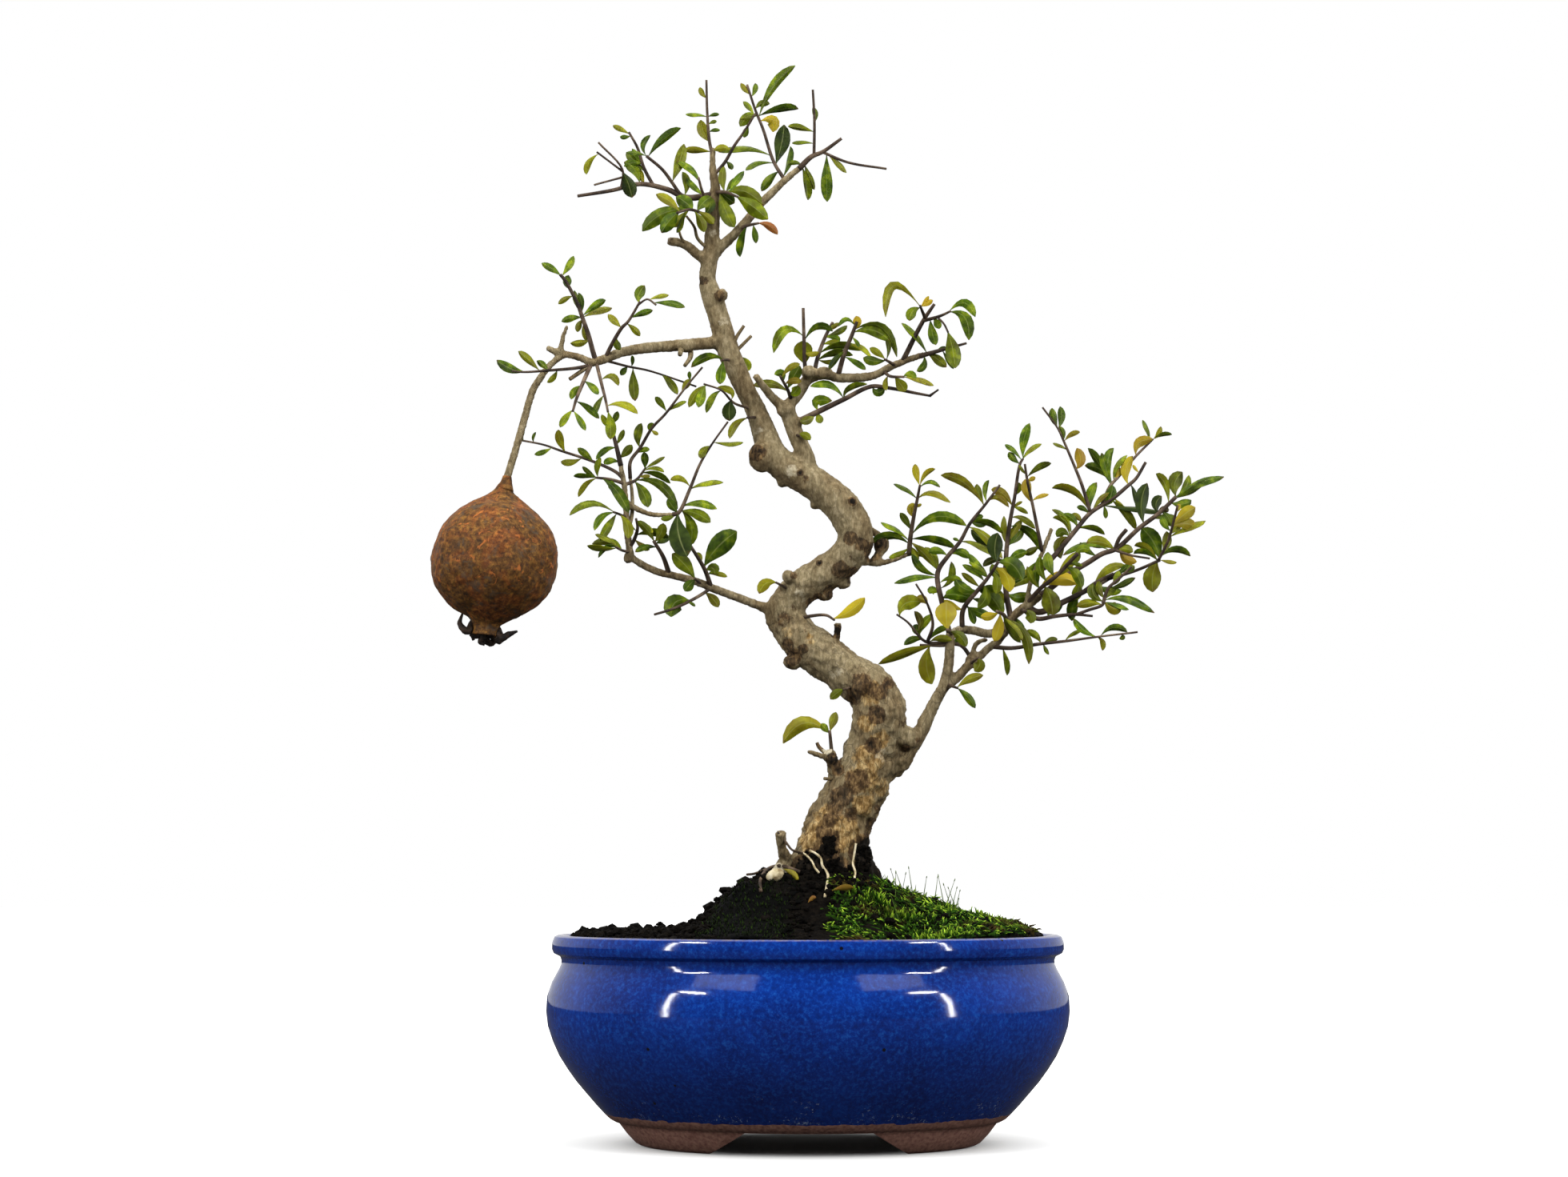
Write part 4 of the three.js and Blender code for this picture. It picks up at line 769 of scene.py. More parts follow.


# Living moss: soft and matt, paler towards the shoot tips, partly fresh growth and partly painted highlight,
# near black low between them as painted shade, brown where it has dried.
def cushionMoss(name, shadedToLitGreens, dried):
    skin, tree, place = newSkin(name)
    split = addNode(tree, "SeparateXYZ", {0: place})
    tone = addNode(tree, "VertexColor", layer_name="shootTone")
    parts = addNode(tree, "SeparateColor", {0: tone})
    clumps = addNode(tree, "TexNoise", grainOf(place, 3.2, 3, 0.6))
    broad = addNode(tree, "TexNoise", grainOf(place, 16, 3, 0.5))
    # painted shade and highlight: the green runs from near black at the shoots' bases to bright at their tips
    lift = (parts, "Red")
    for light in (span(clumps, 0.35, 0.62, 0.35, 1.1), span((parts, "Green"), 0, 1, 0.6, 1.3)):
        share = addNode(tree, "MapRange", light)
        lift = addNode(tree, "Math", {0: lift, 1: share}, operation="MULTIPLY")
    green = addNode(tree, "ValToRGB", {0: lift}, tuple(zip((0.08, 0.4, 0.9), shadedToLitGreens)))
    edge = addNode(tree, "MapRange", span((split, "X"), 0.05, 0.09, 0, 0.13))
    dryness = addNode(tree, "Math", {0: broad, 1: edge}, operation="ADD")
    dry = addNode(tree, "ValToRGB", {0: dryness}, ((0.54, 0.0), (0.66, 0.8)))
    return finishSkin(skin, {
        "Base Color": layCoats(tree, green, (dry, dried)), "Roughness": 0.85, "Specular IOR Level": 0.15,
    })


# Moss stalks: thin, smooth and dull green.
def mossStalkSkin():
    return finishSkin(newSkin("MossStalk")[0], {"Base Color": "#4C641C", "Roughness": 0.6})


# hair roots: widths at start and end, then columns and rows
creamRoots = (
    (2.4, 3, 1001, 1065, 1008, 1069, 1015, 1077, 1019, 1085, 1024, 1091),
    (3, 3.6, 1012, 1063, 1020, 1067, 1026, 1073, 1028, 1082, 1034, 1091, 1034, 1104, 1031, 1121),
    (3, 2.4, 1070, 1054, 1068, 1066, 1066, 1078, 1069, 1090, 1068, 1099),
)
darkRoots = (
    (3, 5, 934, 1093, 946, 1091, 957, 1087, 967, 1083, 981, 1083, 1000, 1090),
    (4.4, 4.6, 951, 1114, 950, 1102, 955, 1091, 964, 1084, 974, 1082),
    (3, 3, 972, 1040, 982, 1052, 990, 1062, 1003, 1066),
)
rootSizes = {
    "creamLift": 0.0009,
    "darkLift": 0.0011,
    "cutEnd": (969, 1094, 0.0002),
    "cutRadius": 0.0041,
    "crumbs": 420,
    "crumbSize": (0.0006, 0.0012),
    # left, right, top and bottom of each heap of soil at the trunk's foot
    "heaps": (
        (998, 1048, 1064, 1112), (1040, 1078, 1084, 1112), (1070, 1088, 1058, 1104), (1030, 1042, 1046, 1068),
    ),
}


def makeRootBits(surfaces):
    for name, drawn, skin, lift in (
        ("cream_roots", creamRoots, creamRoot(), rootSizes["creamLift"]),
        ("dark_roots", darkRoots, twigBark(), rootSizes["darkLift"]),
    ):
        lines = []
        for startWidth, endWidth, *flat in drawn:
            points = [layOn(surfaces, column, row, lift) for column, row in pairsOf(flat)]
            radii = fromSheet(np.linspace(startWidth, endWidth, len(points)) / 2)
            lines.append((points, list(radii), 6 * (len(points) - 1)))
        roots = roundLines(name, lines, 8)
        if drawn is creamRoots:
            roots = joinPieces(name, [roots, makeCutEnd(layOn(surfaces, *rootSizes["cutEnd"]))])
        smooth(roots)
        setSkin(roots, skin)
        finishPiece(roots, "bark")
    makeRootCrumbs(surfaces)


# the pale sawn end of an old root
def makeCutEnd(place):
    deselectAll()
    bpy.ops.mesh.primitive_uv_sphere_add(segments=24, ring_count=12, radius=rootSizes["cutRadius"])
    cut = bpy.context.object
    editMesh()
    bpy.ops.transform.resize(value=(1, 0.45, 0.68))
    bpy.ops.transform.vertex_random(offset=0.00012, seed=2)
    bpy.ops.transform.rotate(value=0.35, orient_axis="Y", center_override=(0, 0, 0))
    bpy.ops.transform.translate(value=place)
    leaveEdit()
    return cut


# soil that clings to the foot of the trunk
def makeRootCrumbs(surfaces):
    grain = grainMaster(9, (1, 0.6, 0.7))
    smallest, more = rootSizes["crumbSize"]
    draw = draws(613)
    spots = []
    for i in range(rootSizes["crumbs"]):
        left, right, top, bottom = rootSizes["heaps"][i % len(rootSizes["heaps"])]
        column, row = left + (right - left) * next(draw), bottom - (bottom - top) * next(draw) ** 0.8
        size = smallest + more * next(draw) ** 2
        place = Matrix.Translation(layOn(surfaces, column, row, size * 0.2))
        spots.append(place @ Matrix.Rotation(next(draw) * 6.3, 4, "Y") @ Matrix.Scale(size, 4))
    heap = scatter("clinging_soil", grain, spots)
    setSkin(heap, bpy.data.materials["DampPottingCompost"])
    finishPiece(heap, "potting_soil")


# Young feeder roots and cut root wood: pale cream, faintly brown in places.
def creamRoot():
    skin, tree, place = newSkin("CreamRoot")
    patches = addNode(tree, "TexNoise", grainOf(place, 3, 4))
    colour = addNode(tree, "ValToRGB", {0: patches}, ((0.35, "#7E6C4A"), (0.5, "#BFB08A"), (0.7, "#DDD2B6")))
    return finishSkin(skin, {"Base Color": colour, "Roughness": 0.7})


# trunk and leader from the roots to the cut top: column, row, depth, width
trunkLine = (
    (1026, 1135, 0, 92), (1034, 1085, 0, 94), (1045, 1042, 0, 84), (1061, 1005, 0, 77), (1081, 965, -1, 72),
    (1094, 925, -2, 68), (1099, 892, -3, 68), (1089, 864, -3, 62), (1058, 841, 0, 56), (1023, 816, 2, 56),
    (997, 795, 4, 52), (980, 767, 5, 48), (995, 741, 4, 46), (1026, 720, 2, 46), (1055, 699, -1, 46),
    (1070, 673, -3, 46), (1062, 647, -3, 46), (1043, 624, -2, 44), (1017, 604, 0, 42), (989, 588, 1, 40),
    (966, 570, 1, 38), (957, 545, 2, 33), (949, 523, 2, 28), (940, 503, 3, 26), (930, 483, 3, 26),
    (920, 461, 3, 27), (910, 438, 4, 29), (904, 417, 4, 28), (898, 394, 4, 27), (890, 371, 4, 28),
    (884, 349, 4, 21), (887, 327, 3, 21), (890, 295, 3, 20), (892, 265, 2, 18), (894, 236, 2, 13),
    (891, 207, 1, 9), (891, 184, 1, 7),
)

# width at start and end, depth of its end, then columns and rows
limbs = {
    "fork": (22, 20, -1, 1020, 594, 1008, 572, 996, 546, 987, 522, 983, 506),
    "darkArm": (14, 9, -13, 984, 512, 970, 501, 959, 489, 944, 469),
    "rightArm": (16, 8, -6, 984, 509, 998, 492, 1010, 474, 1030, 468, 1047, 472, 1074, 472, 1093, 469, 1112,
        459, 1131, 451, 1156, 443),
    "forkStub": (13, 10, -2, 990, 530, 1002, 525),
    "fruitArm": (17, 11, -12, 908, 427, 885, 429, 860, 431, 830, 433, 800, 436, 775, 441, 755, 449, 738, 454),
    "fruitArmTip": (10, 8, -14, 739, 454, 725, 447, 708, 443, 695, 440, 683, 434),
    "fruitArmStub": (8, 5, -16, 700, 441, 704, 421, 709, 407),
    "stubA": (6, 5, -16, 742, 454, 728, 463, 712, 474),
    "stalk": (9, 10, -18, 706, 444, 690, 454, 677, 470, 667, 486, 661, 503, 655, 525, 648, 550, 640, 577, 633,
        600),
    "lowArm": (12, 9, -5, 972, 764, 952, 758, 925, 748, 893, 736, 868, 726, 840, 719, 820, 714, 800, 704, 786,
        694),
    "lowArmStem": (10, 6, -7, 787, 697, 785, 672, 783, 642, 781, 612, 777, 588, 774, 570),
    "lowArmTwin": (6, 4, -3, 785, 665, 790, 642, 790, 616, 787, 592),
    "innerTwig": (8, 6, -8, 783, 626, 800, 638, 815, 643, 846, 643),
    "heel": (13, 9, -6, 786, 694, 783, 703),
    "crownStump": (14, 11, -5, 892, 330, 872, 318, 855, 305, 835, 301),
    "crownRight": (15, 8, -4, 893, 330, 899, 311, 915, 296, 930, 280, 950, 256, 970, 236, 985, 222, 1000,
        210),
    "stubB": (6, 4, 0, 917, 448, 919, 425, 930, 407),
    "rightArmBase": (27, 17, -2, 1100, 985, 1120, 956, 1139, 932, 1152, 912, 1160, 896),
    "rightArmLow": (17, 14, -2, 1159, 899, 1170, 875, 1180, 858),
    "elbowArm": (14, 12, -4, 1179, 860, 1185, 836, 1187, 812, 1188, 790),
    "paleArm": (11, 12, -2, 1187, 793, 1200, 787, 1216, 788, 1238, 792, 1255, 784, 1268, 769, 1286, 755, 1300,
        744),
    "forkArm": (14, 9, 4, 1181, 859, 1196, 847, 1210, 832, 1225, 820, 1238, 808, 1250, 801),
    "forkArmStub": (8, 6, 8, 1213, 828, 1217, 812, 1222, 803, 1234, 799),
    "forkArmUp": (8, 7, 3, 1246, 804, 1260, 788, 1266, 776),
    "upperStub": (7, 6, -4, 1283, 757, 1287, 733, 1293, 716, 1303, 690, 1315, 660),
    "sideArm": (8, 6, 2, 1078, 712, 1094, 705, 1116, 700, 1138, 692, 1162, 696),
    "stubLoop": (12, 8, 4, 1090, 706, 1100, 690, 1101, 672, 1088, 662),
    "kneeStub": (9, 10, -4, 1040, 805, 1047, 793, 1047, 779),
    "baseStub": (15, 13, -9, 1052, 985, 1046, 966, 1040, 948, 1034, 939),
    "baseStubSide": (9, 6, -11, 1040, 950, 1027, 945, 1010, 939),
    "rootLeft": (24, 16, -10, 1012, 1070, 992, 1078, 975, 1088, 962, 1106, 955, 1130),
    "rootHorn": (14, 14, -14, 986, 1080, 978, 1060, 976, 1040),
    "rootRight": (26, 14, 8, 1060, 1075, 1084, 1088, 1100, 1110, 1108, 1135),
    "rootFront": (22, 14, -22, 1040, 1070, 1046, 1096, 1052, 1118, 1056, 1140),
    "rootBack": (26, 14, 26, 1046, 1070, 1052, 1095, 1060, 1118, 1064, 1140),
}

# spurs and hair roots too thin for the solids
thinLimbs = {
    "fruitArmSpur": (8, 5, -10, 862, 434, 863, 446, 856, 457),
    "fruitArmKnob": (9, 6, -11, 853, 434, 850, 443),
    "crownStumpSpur": (4, 3, -9, 860, 309, 852, 298, 849, 289),
    "crownSpurB": (5, 3, -7, 881, 312, 872, 298, 868, 284, 858, 270),
    "stubC": (5, 4, 6, 922, 445, 927, 432, 939, 420),
    "baseStubUp": (6, 4, -8, 1038, 946, 1024, 934, 1021, 928),
    "spurLow": (5, 4, -8, 1052, 978, 1040, 974, 1030, 973),
    "fineRootA": (4, 4, -22, 1003, 1066, 1012, 1076, 1024, 1090, 1030, 1110, 1034, 1135),
    "fineRootB": (4, 4, -23, 1022, 1070, 1033, 1086, 1033, 1100, 1032, 1118, 1038, 1140),
    "fineRootC": (5, 4, -24, 1070, 1054, 1068, 1072, 1069, 1092, 1074, 1112, 1078, 1135),
}

# column, row, depth, half width, half height, half depth
knots = {
    "cutKnob": (953, 571, -2, 18, 20, 16),
    "kneeHeel": (990, 828, 0, 12, 9, 12),
    "elbowBump": (1114, 872, -2, 14, 14, 14),
    "burl": (1079, 857, -9, 17, 15, 12),
    "paleBurl": (1134, 922, -6, 14, 15, 11),
    "ringKnot": (1065, 631, -9, 9, 11, 6),
    "darkKnot": (1102, 680, 2, 10, 13, 9),
    "leaderKnot": (902, 369, -1, 8, 9, 7),
    "armKnot": (858, 432, -5, 13, 9, 8),
    "rightArmKnob": (1011, 465, -5, 10, 9, 8),
    "rightArmKnobB": (1030, 466, -6, 12, 8, 8),
    "barkScar": (1068, 986, -9, 18, 14, 8),
    "forkKnob": (1216, 826, 2, 10, 10, 7),
    "clod": (1078, 1080, -4, 15, 25, 15),
    "toothA": (1030, 742, 2, 11, 9, 9),
    "toothB": (1054, 728, 2, 10, 9, 9),
    "toothC": (978, 602, 2, 7, 8, 6),
    "toothD": (1019, 630, 0, 7, 7, 6),
    "stumpKnot": (986, 720, -4, 9, 9, 8),
    "forkBurl": (982, 512, -3, 12, 10, 10),
    "scarLow": (1090, 935, -10, 10, 8, 7),
}

woodSizes = {
    "voxel": 0.00078,
    "thinnest": 0.00046,
    "ringsOnTrunk": 150,
    "fusedOver": 6,  # limbs drawn wider than this are fused with the trunk
    "softening": 3,
    "knobs": (0.33, 0.2),  # they fade out up to this height, over this much
    "calm": 0.12,  # least share of the knobs
    "limbFade": (1.75, 0.5),  # they also fade from this many trunk radii, over half of one
    "bumps": (
        ("CLOUDS", 0.009, 0.0042, "rough", 2), ("CLOUDS", 0.0034, 0.0022, "rough", 3),
        ("VORONOI", 0.0042, -0.0015, "rough", 2), ("CLOUDS", 0.0012, 0.0006, "", 2),
    ),
}


# one curve with a round section for many lines, turned into a mesh
def roundLines(name, lines, sides):
    deselectAll()
    bpy.ops.curve.primitive_nurbs_path_add(radius=0.01)
    curve = bpy.context.object
    curve.name = name
    curve.data.splines.clear()
    curve.data.dimensions = "3D"
    curve.data.bevel_depth = 0.001
    curve.data.bevel_resolution = (sides - 4) // 2
    curve.data.use_fill_caps = True
    for points, radii, steps in lines:
        track = smoothLine(points, steps)
        spline = curve.data.splines.new("POLY")
        spline.points.add(len(track) - 1)
        last = len(radii) - 1
        for i, spot in enumerate(track):
            place = i / steps * last
            k = min(int(place), last - 1)
            radius = radii[k] + (radii[k + 1] - radii[k]) * (place - k)
            spline.points[i].co = (*spot, 1)
            spline.points[i].radius = max(radius, woodSizes["thinnest"]) * 1000
    bpy.ops.object.convert(target="MESH")
    mesh = bpy.context.object
    applyPlace(mesh)
    cleanMesh(mesh, 0.000001)
    return mesh


shoulders = []  # spots on the wood, where sprays may start
trunkPoints = [at(*entry[:3]) for entry in trunkLine]
trunkRadii = [fromSheet(entry[3] / 2) for entry in trunkLine]


def woodLines():
    remember(shoulders, [entry[:2] for entry in trunkLine], [entry[2] for entry in trunkLine])
    thick, thin = [(trunkPoints, trunkRadii, woodSizes["ringsOnTrunk"])], []
    for drawn in limbs.values():
        line = growLine(shoulders, shoulders, drawn)
        (thick if drawn[0] > woodSizes["fusedOver"] else thin).append((*line, 8 * (len(line[0]) - 1)))
    spots = list(shoulders)
    for drawn in thinLimbs.values():
        line = growLine(spots, spots, drawn)
        thin.append((*line, 6 * (len(line[0]) - 1)))
    return thick, thin


def makeKnots():
    made = []
    for i, (column, row, depth, wide, tall, deep) in enumerate(knots.values()):
        deselectAll()
        bpy.ops.mesh.primitive_ico_sphere_add(subdivisions=3, radius=1)
        made.append(bpy.context.object)
        editMesh()
        bpy.ops.transform.vertex_random(offset=0.05, seed=i)
        sizes = [fromSheet(size) for size in (wide, deep, tall)]
        bpy.ops.transform.resize(value=sizes, center_override=(0, 0, 0))
        bpy.ops.transform.translate(value=at(column, row, depth))
        leaveEdit()
    return made


# 1 on the trunk's own bark, falling away along the thinner limbs
def trunkShares(places):
    track = np.array(smoothLine(trunkPoints, woodSizes["ringsOnTrunk"]))
    stops = np.linspace(0, len(trunkLine) - 1, len(track))
    radii = np.interp(stops, range(len(trunkLine)), trunkRadii)
    nearby = np.full(len(places), 9.0)
    for spot, radius in zip(track, radii):
        nearby = np.minimum(nearby, np.linalg.norm(places - spot, axis=1) / radius)
    reach, fade = woodSizes["limbFade"]
    return np.clip((reach - nearby) / fade, woodSizes["calm"], 1.0)


def makeWood():
    thick, thin = woodLines()
    core = joinPieces("tree_wood", [roundLines("limb_lines", thick, 16), *makeKnots()])
    remesh(core, woodSizes["voxel"])
    applyModifier(core, "SMOOTH", iterations=woodSizes["softening"])
    places = corners(core)
    knobTop, fade = woodSizes["knobs"]
    low = np.clip((knobTop - places[:, 2]) / fade, woodSizes["calm"], 1.0) * trunkShares(places)
    group = core.vertex_groups.new(name="rough")
    for step in range(10):
        chosen = np.nonzero((low >= step / 10) & (low <= (step + 1) / 10))[0]
        if len(chosen):
            group.add([int(i) for i in chosen], (step + 0.5) / 10, "REPLACE")
    roughen(core, woodSizes["bumps"])
    fine = roundLines("thin_lines", thin, 8)
    for part in (core, fine):
        paint(part, "barkTone", barkTones(corners(part)))
        smooth(part)
    whole = joinPieces("tree_wood", [core, fine])
    setSkin(whole, oldBark())
    finishPiece(whole, "bark", "wood")


# dark scars and rotted hollows, together with painted shade under the trunk's curve, tan flaking bark and
# pale rubbed wood: column, row, reach, strength
scarsAndPaintedShade = (
    (980, 775, 9, 0.6), (993, 760, 6, 0.4), (1076, 858, 12, 0.75), (1090, 866, 9, 0.6), (1095, 895, 9, 0.95),
    (1090, 933, 8, 1.0), (1070, 978, 13, 0.85), (1052, 996, 11, 0.85), (1065, 630, 4, 1.3),
    (879, 350, 7, 0.6), (900, 370, 6, 0.7), (946, 568, 8, 1.1), (835, 300, 7, 0.6), (1062, 676, 7, 0.95),
    (1076, 683, 7, 0.9), (1128, 905, 6, 0.5), (1008, 600, 5, 0.5), (1180, 862, 6, 0.4), (1040, 806, 5, 0.5),
    (1005, 790, 4, 0.4), (1037, 1046, 9, 0.9), (1032, 1062, 12, 1.2), (1020, 1080, 14, 1.4),
    (1040, 1090, 16, 1.4), (1003, 1082, 10, 1.2), (1060, 1104, 15, 1.4), (1086, 1066, 17, 1.5),
    (1087, 1090, 18, 1.5), (1030, 1110, 20, 1.5), (1006, 1104, 16, 1.4), (1055, 1085, 8, 0.5),
    (1100, 1000, 5, 0.4), (1044, 1012, 9, 0.7), (1036, 1026, 9, 0.7), (1062, 1018, 9, 0.6),
    (1014, 927, 7, 1.1), (1027, 930, 5, 1.0), (1042, 951, 7, 1.1), (1048, 963, 6, 1.0), (1131, 936, 5, 0.7),
    # the spots from (1050, 714) to (1014, 753) are painted shade under the trunk's curve, not scars
    (1147, 925, 4, 0.6), (1090, 691, 9, 1.0), (1100, 680, 7, 1.0), (1050, 714, 9, 0.75), (1065, 720, 8, 0.8),
    (1036, 740, 6, 0.9), (1024, 749, 6, 0.95), (1014, 753, 5, 0.9), (985, 806, 6, 0.8), (992, 822, 9, 0.9),
    (1004, 812, 5, 0.8), (1000, 593, 3, 1.2), (1024, 705, 3, 1.1), (992, 720, 4, 0.8), (1046, 790, 6, 1.2),
    (1072, 852, 8, 0.7), (1100, 868, 8, 0.8), (1109, 856, 7, 0.8), (1066, 871, 9, 0.75), (1090, 1030, 9, 0.6),
    (1097, 1012, 7, 0.6), (1029, 1042, 9, 0.7), (1062, 700, 4, 0.4), (960, 600, 4, 0.4), (938, 520, 5, 0.4),
)
flakes = (
    (1034, 1026, 15, 0.7), (1052, 1042, 18, 0.85), (1085, 950, 16, 0.7), (1078, 975, 16, 0.8),
    (1078, 1006, 12, 0.7), (1020, 1050, 16, 0.8), (1098, 925, 12, 0.6), (1084, 905, 12, 0.6),
    (1088, 868, 14, 0.6), (1012, 800, 8, 0.4), (1100, 985, 12, 0.5), (1070, 1060, 12, 0.6),
    (985, 790, 8, 0.4),
)
paleSpots = (
    (970, 1092, 10, 1.0), (1200, 788, 12, 0.4), (1102, 945, 10, 0.4), (833, 301, 4, 1.2), (1034, 938, 4, 1.1),
    (1045, 842, 8, 0.4), (990, 590, 9, 0.4), (1000, 745, 9, 0.4), (948, 540, 8, 0.4), (905, 400, 7, 0.4),
    (890, 290, 6, 0.4),
)


def barkTones(places):
    tones = []
    for spots in (scarsAndPaintedShade, flakes, paleSpots):
        shares = np.zeros(len(places), np.float32)
        for column, row, reach, strength in spots:
            centre = at(column, row, 0)
            far = np.hypot(places[:, 0] - centre.x, places[:, 2] - centre.z) * 1000
            far = far * sheet["unitsPerMm"] / reach
            shares = np.maximum(shares, strength * np.clip(1.5 - far * 0.75, 0, 1))
        tones.append(shares)
    return np.stack(tones, axis=1)


# Old pomegranate bark: pale grey-brown and dry, cracked into small scales, tan where it has flaked, dark
# where it is scarred and where shade is painted under the trunk's curve.
def oldBark():
    skin, tree, place = newSkin("OldPomegranateBark")
    split = addNode(tree, "SeparateXYZ", {0: place})
    lengthwise = addNode(tree, "Mapping", {"Vector": place, "Scale": (1.0, 1.0, 0.45)})
    tone = addNode(tree, "VertexColor", layer_name="barkTone")
    parts = addNode(tree, "SeparateColor", {0: tone})
    grain = addNode(tree, "TexNoise", grainOf(lengthwise, 1.8, 8, 0.68))
    broad = addNode(tree, "TexNoise", grainOf(lengthwise, 11, 5, 0.62))
    torn = addNode(tree, "TexNoise", grainOf(place, 4.2, 6, 0.7))
    scales = {"Vector": lengthwise, "Scale": 1000 / 3.6}
    cracks = addNode(tree, "TexVoronoi", scales, feature="DISTANCE_TO_EDGE")
    base, warm, tan, scarAndShade, rot = [addNode(tree, "ValToRGB", {0: grain}, stops) for stops in (
        ((0.3, "#5C5039"), (0.5, "#867859"), (0.7, "#AC9D7D")),
        ((0.3, "#463823"), (0.5, "#6E5C3F"), (0.7, "#93805C")),
        ((0.32, "#4E3719"), (0.47, "#8C6C3C"), (0.64, "#CDB27C")),
        ((0.36, "#150E08"), (0.5, "#3D2A19"), (0.66, "#84663E")),
        ((0.35, "#050403"), (0.6, "#15100A"), (0.75, "#3A2C1C")),
    )]
    warmer = addNode(tree, "ValToRGB", {0: broad}, ((0.44, 0.0), (0.58, 0.8)))
    rough = addNode(tree, "MapRange", span((split, "Z"), 0.14, 0.3, 0.7, 0.2))
    crackLines = addNode(tree, "ValToRGB", {0: cracks}, ((0.0, 1.0), (0.05, 0.0)))
    crackShare = addNode(tree, "Math", {0: crackLines, 1: rough}, operation="MULTIPLY")
    # flaked, rubbed, scarred, painted-shade and rotted places all end raggedly
    ragged = addNode(tree, "Math", {0: torn, 1: 1.1}, operation="MULTIPLY")
    # the red share marks real scars and also the painted shade under the trunk's curve
    flaked, rubbed, scarredAndShaded, rotted = [
        addNode(tree, "MapRange", span(
            addNode(tree, "Math", {0: (parts, part), 1: ragged}, operation="ADD"), low, high, 0, most,
        )) for part, low, high, most in (
            ("Green", 0.92, 1.06, 0.9), ("Blue", 0.9, 1.1, 0.8), ("Red", 0.96, 1.08, 0.85),
            ("Red", 1.5, 1.65, 0.95),
        )
    ]
    return finishSkin(skin, {
        "Base Color": layCoats(
            tree, base, (warmer, warm), (flaked, tan), (rubbed, "#CFC4A8"), (crackShare, "#2C231C"),
            (scarredAndShaded, scarAndShade), (rotted, rot),
        ),
        "Roughness": 0.86,
        "Specular IOR Level": 0.3,
        "Normal": addNode(tree, "Bump", {
            "Height": layCoats(tree, grain, (0.4, torn)), "Strength": 0.85, "Distance": 0.0011,
        }),
    })


# leaves that have turned: column, row, reach, how yellow, how brown; then those in shade, painted darker as
# painted shade: column, row, reach
turnedLeaves = (
    (1062, 760, 24, 0.8, 0.0), (1243, 783, 16, 0.7, 0.1), (1262, 722, 16, 0.65, 0.0),
    (1320, 723, 9, 0.9, 0.1), (1334, 712, 9, 0.3, 0.0), (1183, 770, 18, 0.6, 0.1), (1143, 638, 10, 0.5, 0.2),
    (1144, 593, 13, 0.6, 0.0), (1412, 588, 16, 0.7, 0.1), (1291, 613, 14, 0.6, 0.3),
    (1346, 573, 13, 0.5, 0.5), (1147, 746, 6, 0.6, 0.4), (1430, 560, 12, 0.4, 0.4), (1410, 696, 10, 0.6, 0.4),
    (1480, 645, 14, 0.5, 0.2), (1160, 376, 7, 1.0, 0.2), (1070, 402, 8, 1.0, 0.2), (962, 285, 14, 0.2, 1.0),
    (1005, 903, 14, 0.42, 0.0), (968, 155, 14, 0.75, 0.1), (803, 289, 10, 0.35, 0.0),
)
shadedLeaves = (
    (859, 680, 22), (1434, 630, 26), (1247, 685, 18), (912, 513, 14), (979, 180, 22), (787, 232, 16),
)


# Each spray has its shoots, drawn as the limbs are, and its leaves: drawn width, base, bend and tip.
# The last leaves of some sprays stand half hidden among the others and have no solid.
sprays = {}
sprays["crown_left"] = (
    ((9, 4, -14, 892, 243, 858, 247, 835, 237, 800, 230, 765, 238, 722, 245),
     (5, 3, -8, 817, 233, 805, 210, 797, 185, 786, 165), (4, 2, -20, 778, 235, 778, 212, 748, 178),
     (3, 2, -12, 778, 214, 746, 190), (3, 2, -22, 775, 222, 743, 231),
     (5, 4, -14, 858, 247, 850, 242, 840, 228, 828, 212, 808, 195)),
    ((7, 787, 168, 775, 160, 766, 157), (6, 787, 171, 781, 172, 775, 171), (8, 803, 205, 792, 200, 780, 208),
     (18, 779, 214, 787, 230, 790, 247), (11, 807, 226, 800, 217, 794, 211),
     (8, 747, 192, 731, 202, 733, 218), (7, 806, 212, 800, 195, 790, 186), (14, 841, 228, 850, 204, 855, 180),
     (7, 810, 196, 826, 172, 851, 160), (7, 808, 195, 797, 180, 813, 169), (6, 808, 196, 795, 189, 783, 191),
     (10, 857, 243, 863, 228, 853, 215), (14, 800, 222, 795, 205, 780, 203),
     (10, 806, 216, 790, 200, 783, 190)),
)
sprays["crown_heart"] = (
    ((5, 3, -20, 889, 274, 876, 266, 862, 262, 846, 266),),
    ((19, 862, 263, 825, 258, 803, 289), (18, 850, 266, 838, 270, 827, 291),
     (12, 850, 264, 838, 248, 820, 243), (18, 866, 263, 862, 254, 845, 246),
     (14, 872, 264, 877, 252, 889, 246), (8, 880, 268, 888, 270, 893, 278), (7, 857, 265, 851, 279, 846, 291),
     (12, 868, 263, 878, 276, 880, 290), (13, 880, 268, 890, 262, 888, 246),
     (10, 872, 264, 884, 268, 892, 280), (11, 862, 263, 848, 274, 842, 284)),
)
sprays["crown_tip"] = (
    ((5, 3, -3, 891, 196, 887, 178, 884, 140, 883, 100),),
    ((5, 884, 147, 870, 141, 857, 143), (5, 885, 146, 892, 142, 899, 143), (5, 885, 156, 891, 151, 896, 152),
     (5, 886, 166, 892, 161, 900, 163), (14, 886, 178, 877, 166, 876, 150), (7, 883, 123, 876, 117, 875, 109),
     (7, 888, 190, 870, 187, 855, 188)),
)
sprays["crown_cross"] = (
    ((5, 3, -9, 894, 220, 906, 203, 918, 182, 930, 165, 944, 142),),
    ((5, 940, 148, 933, 146, 925, 149), (7, 943, 143, 937, 133, 929, 127), (8, 936, 156, 932, 164, 930, 172),
     (9, 914, 190, 905, 180, 893, 188), (7, 908, 201, 914, 206, 915, 212)),
)
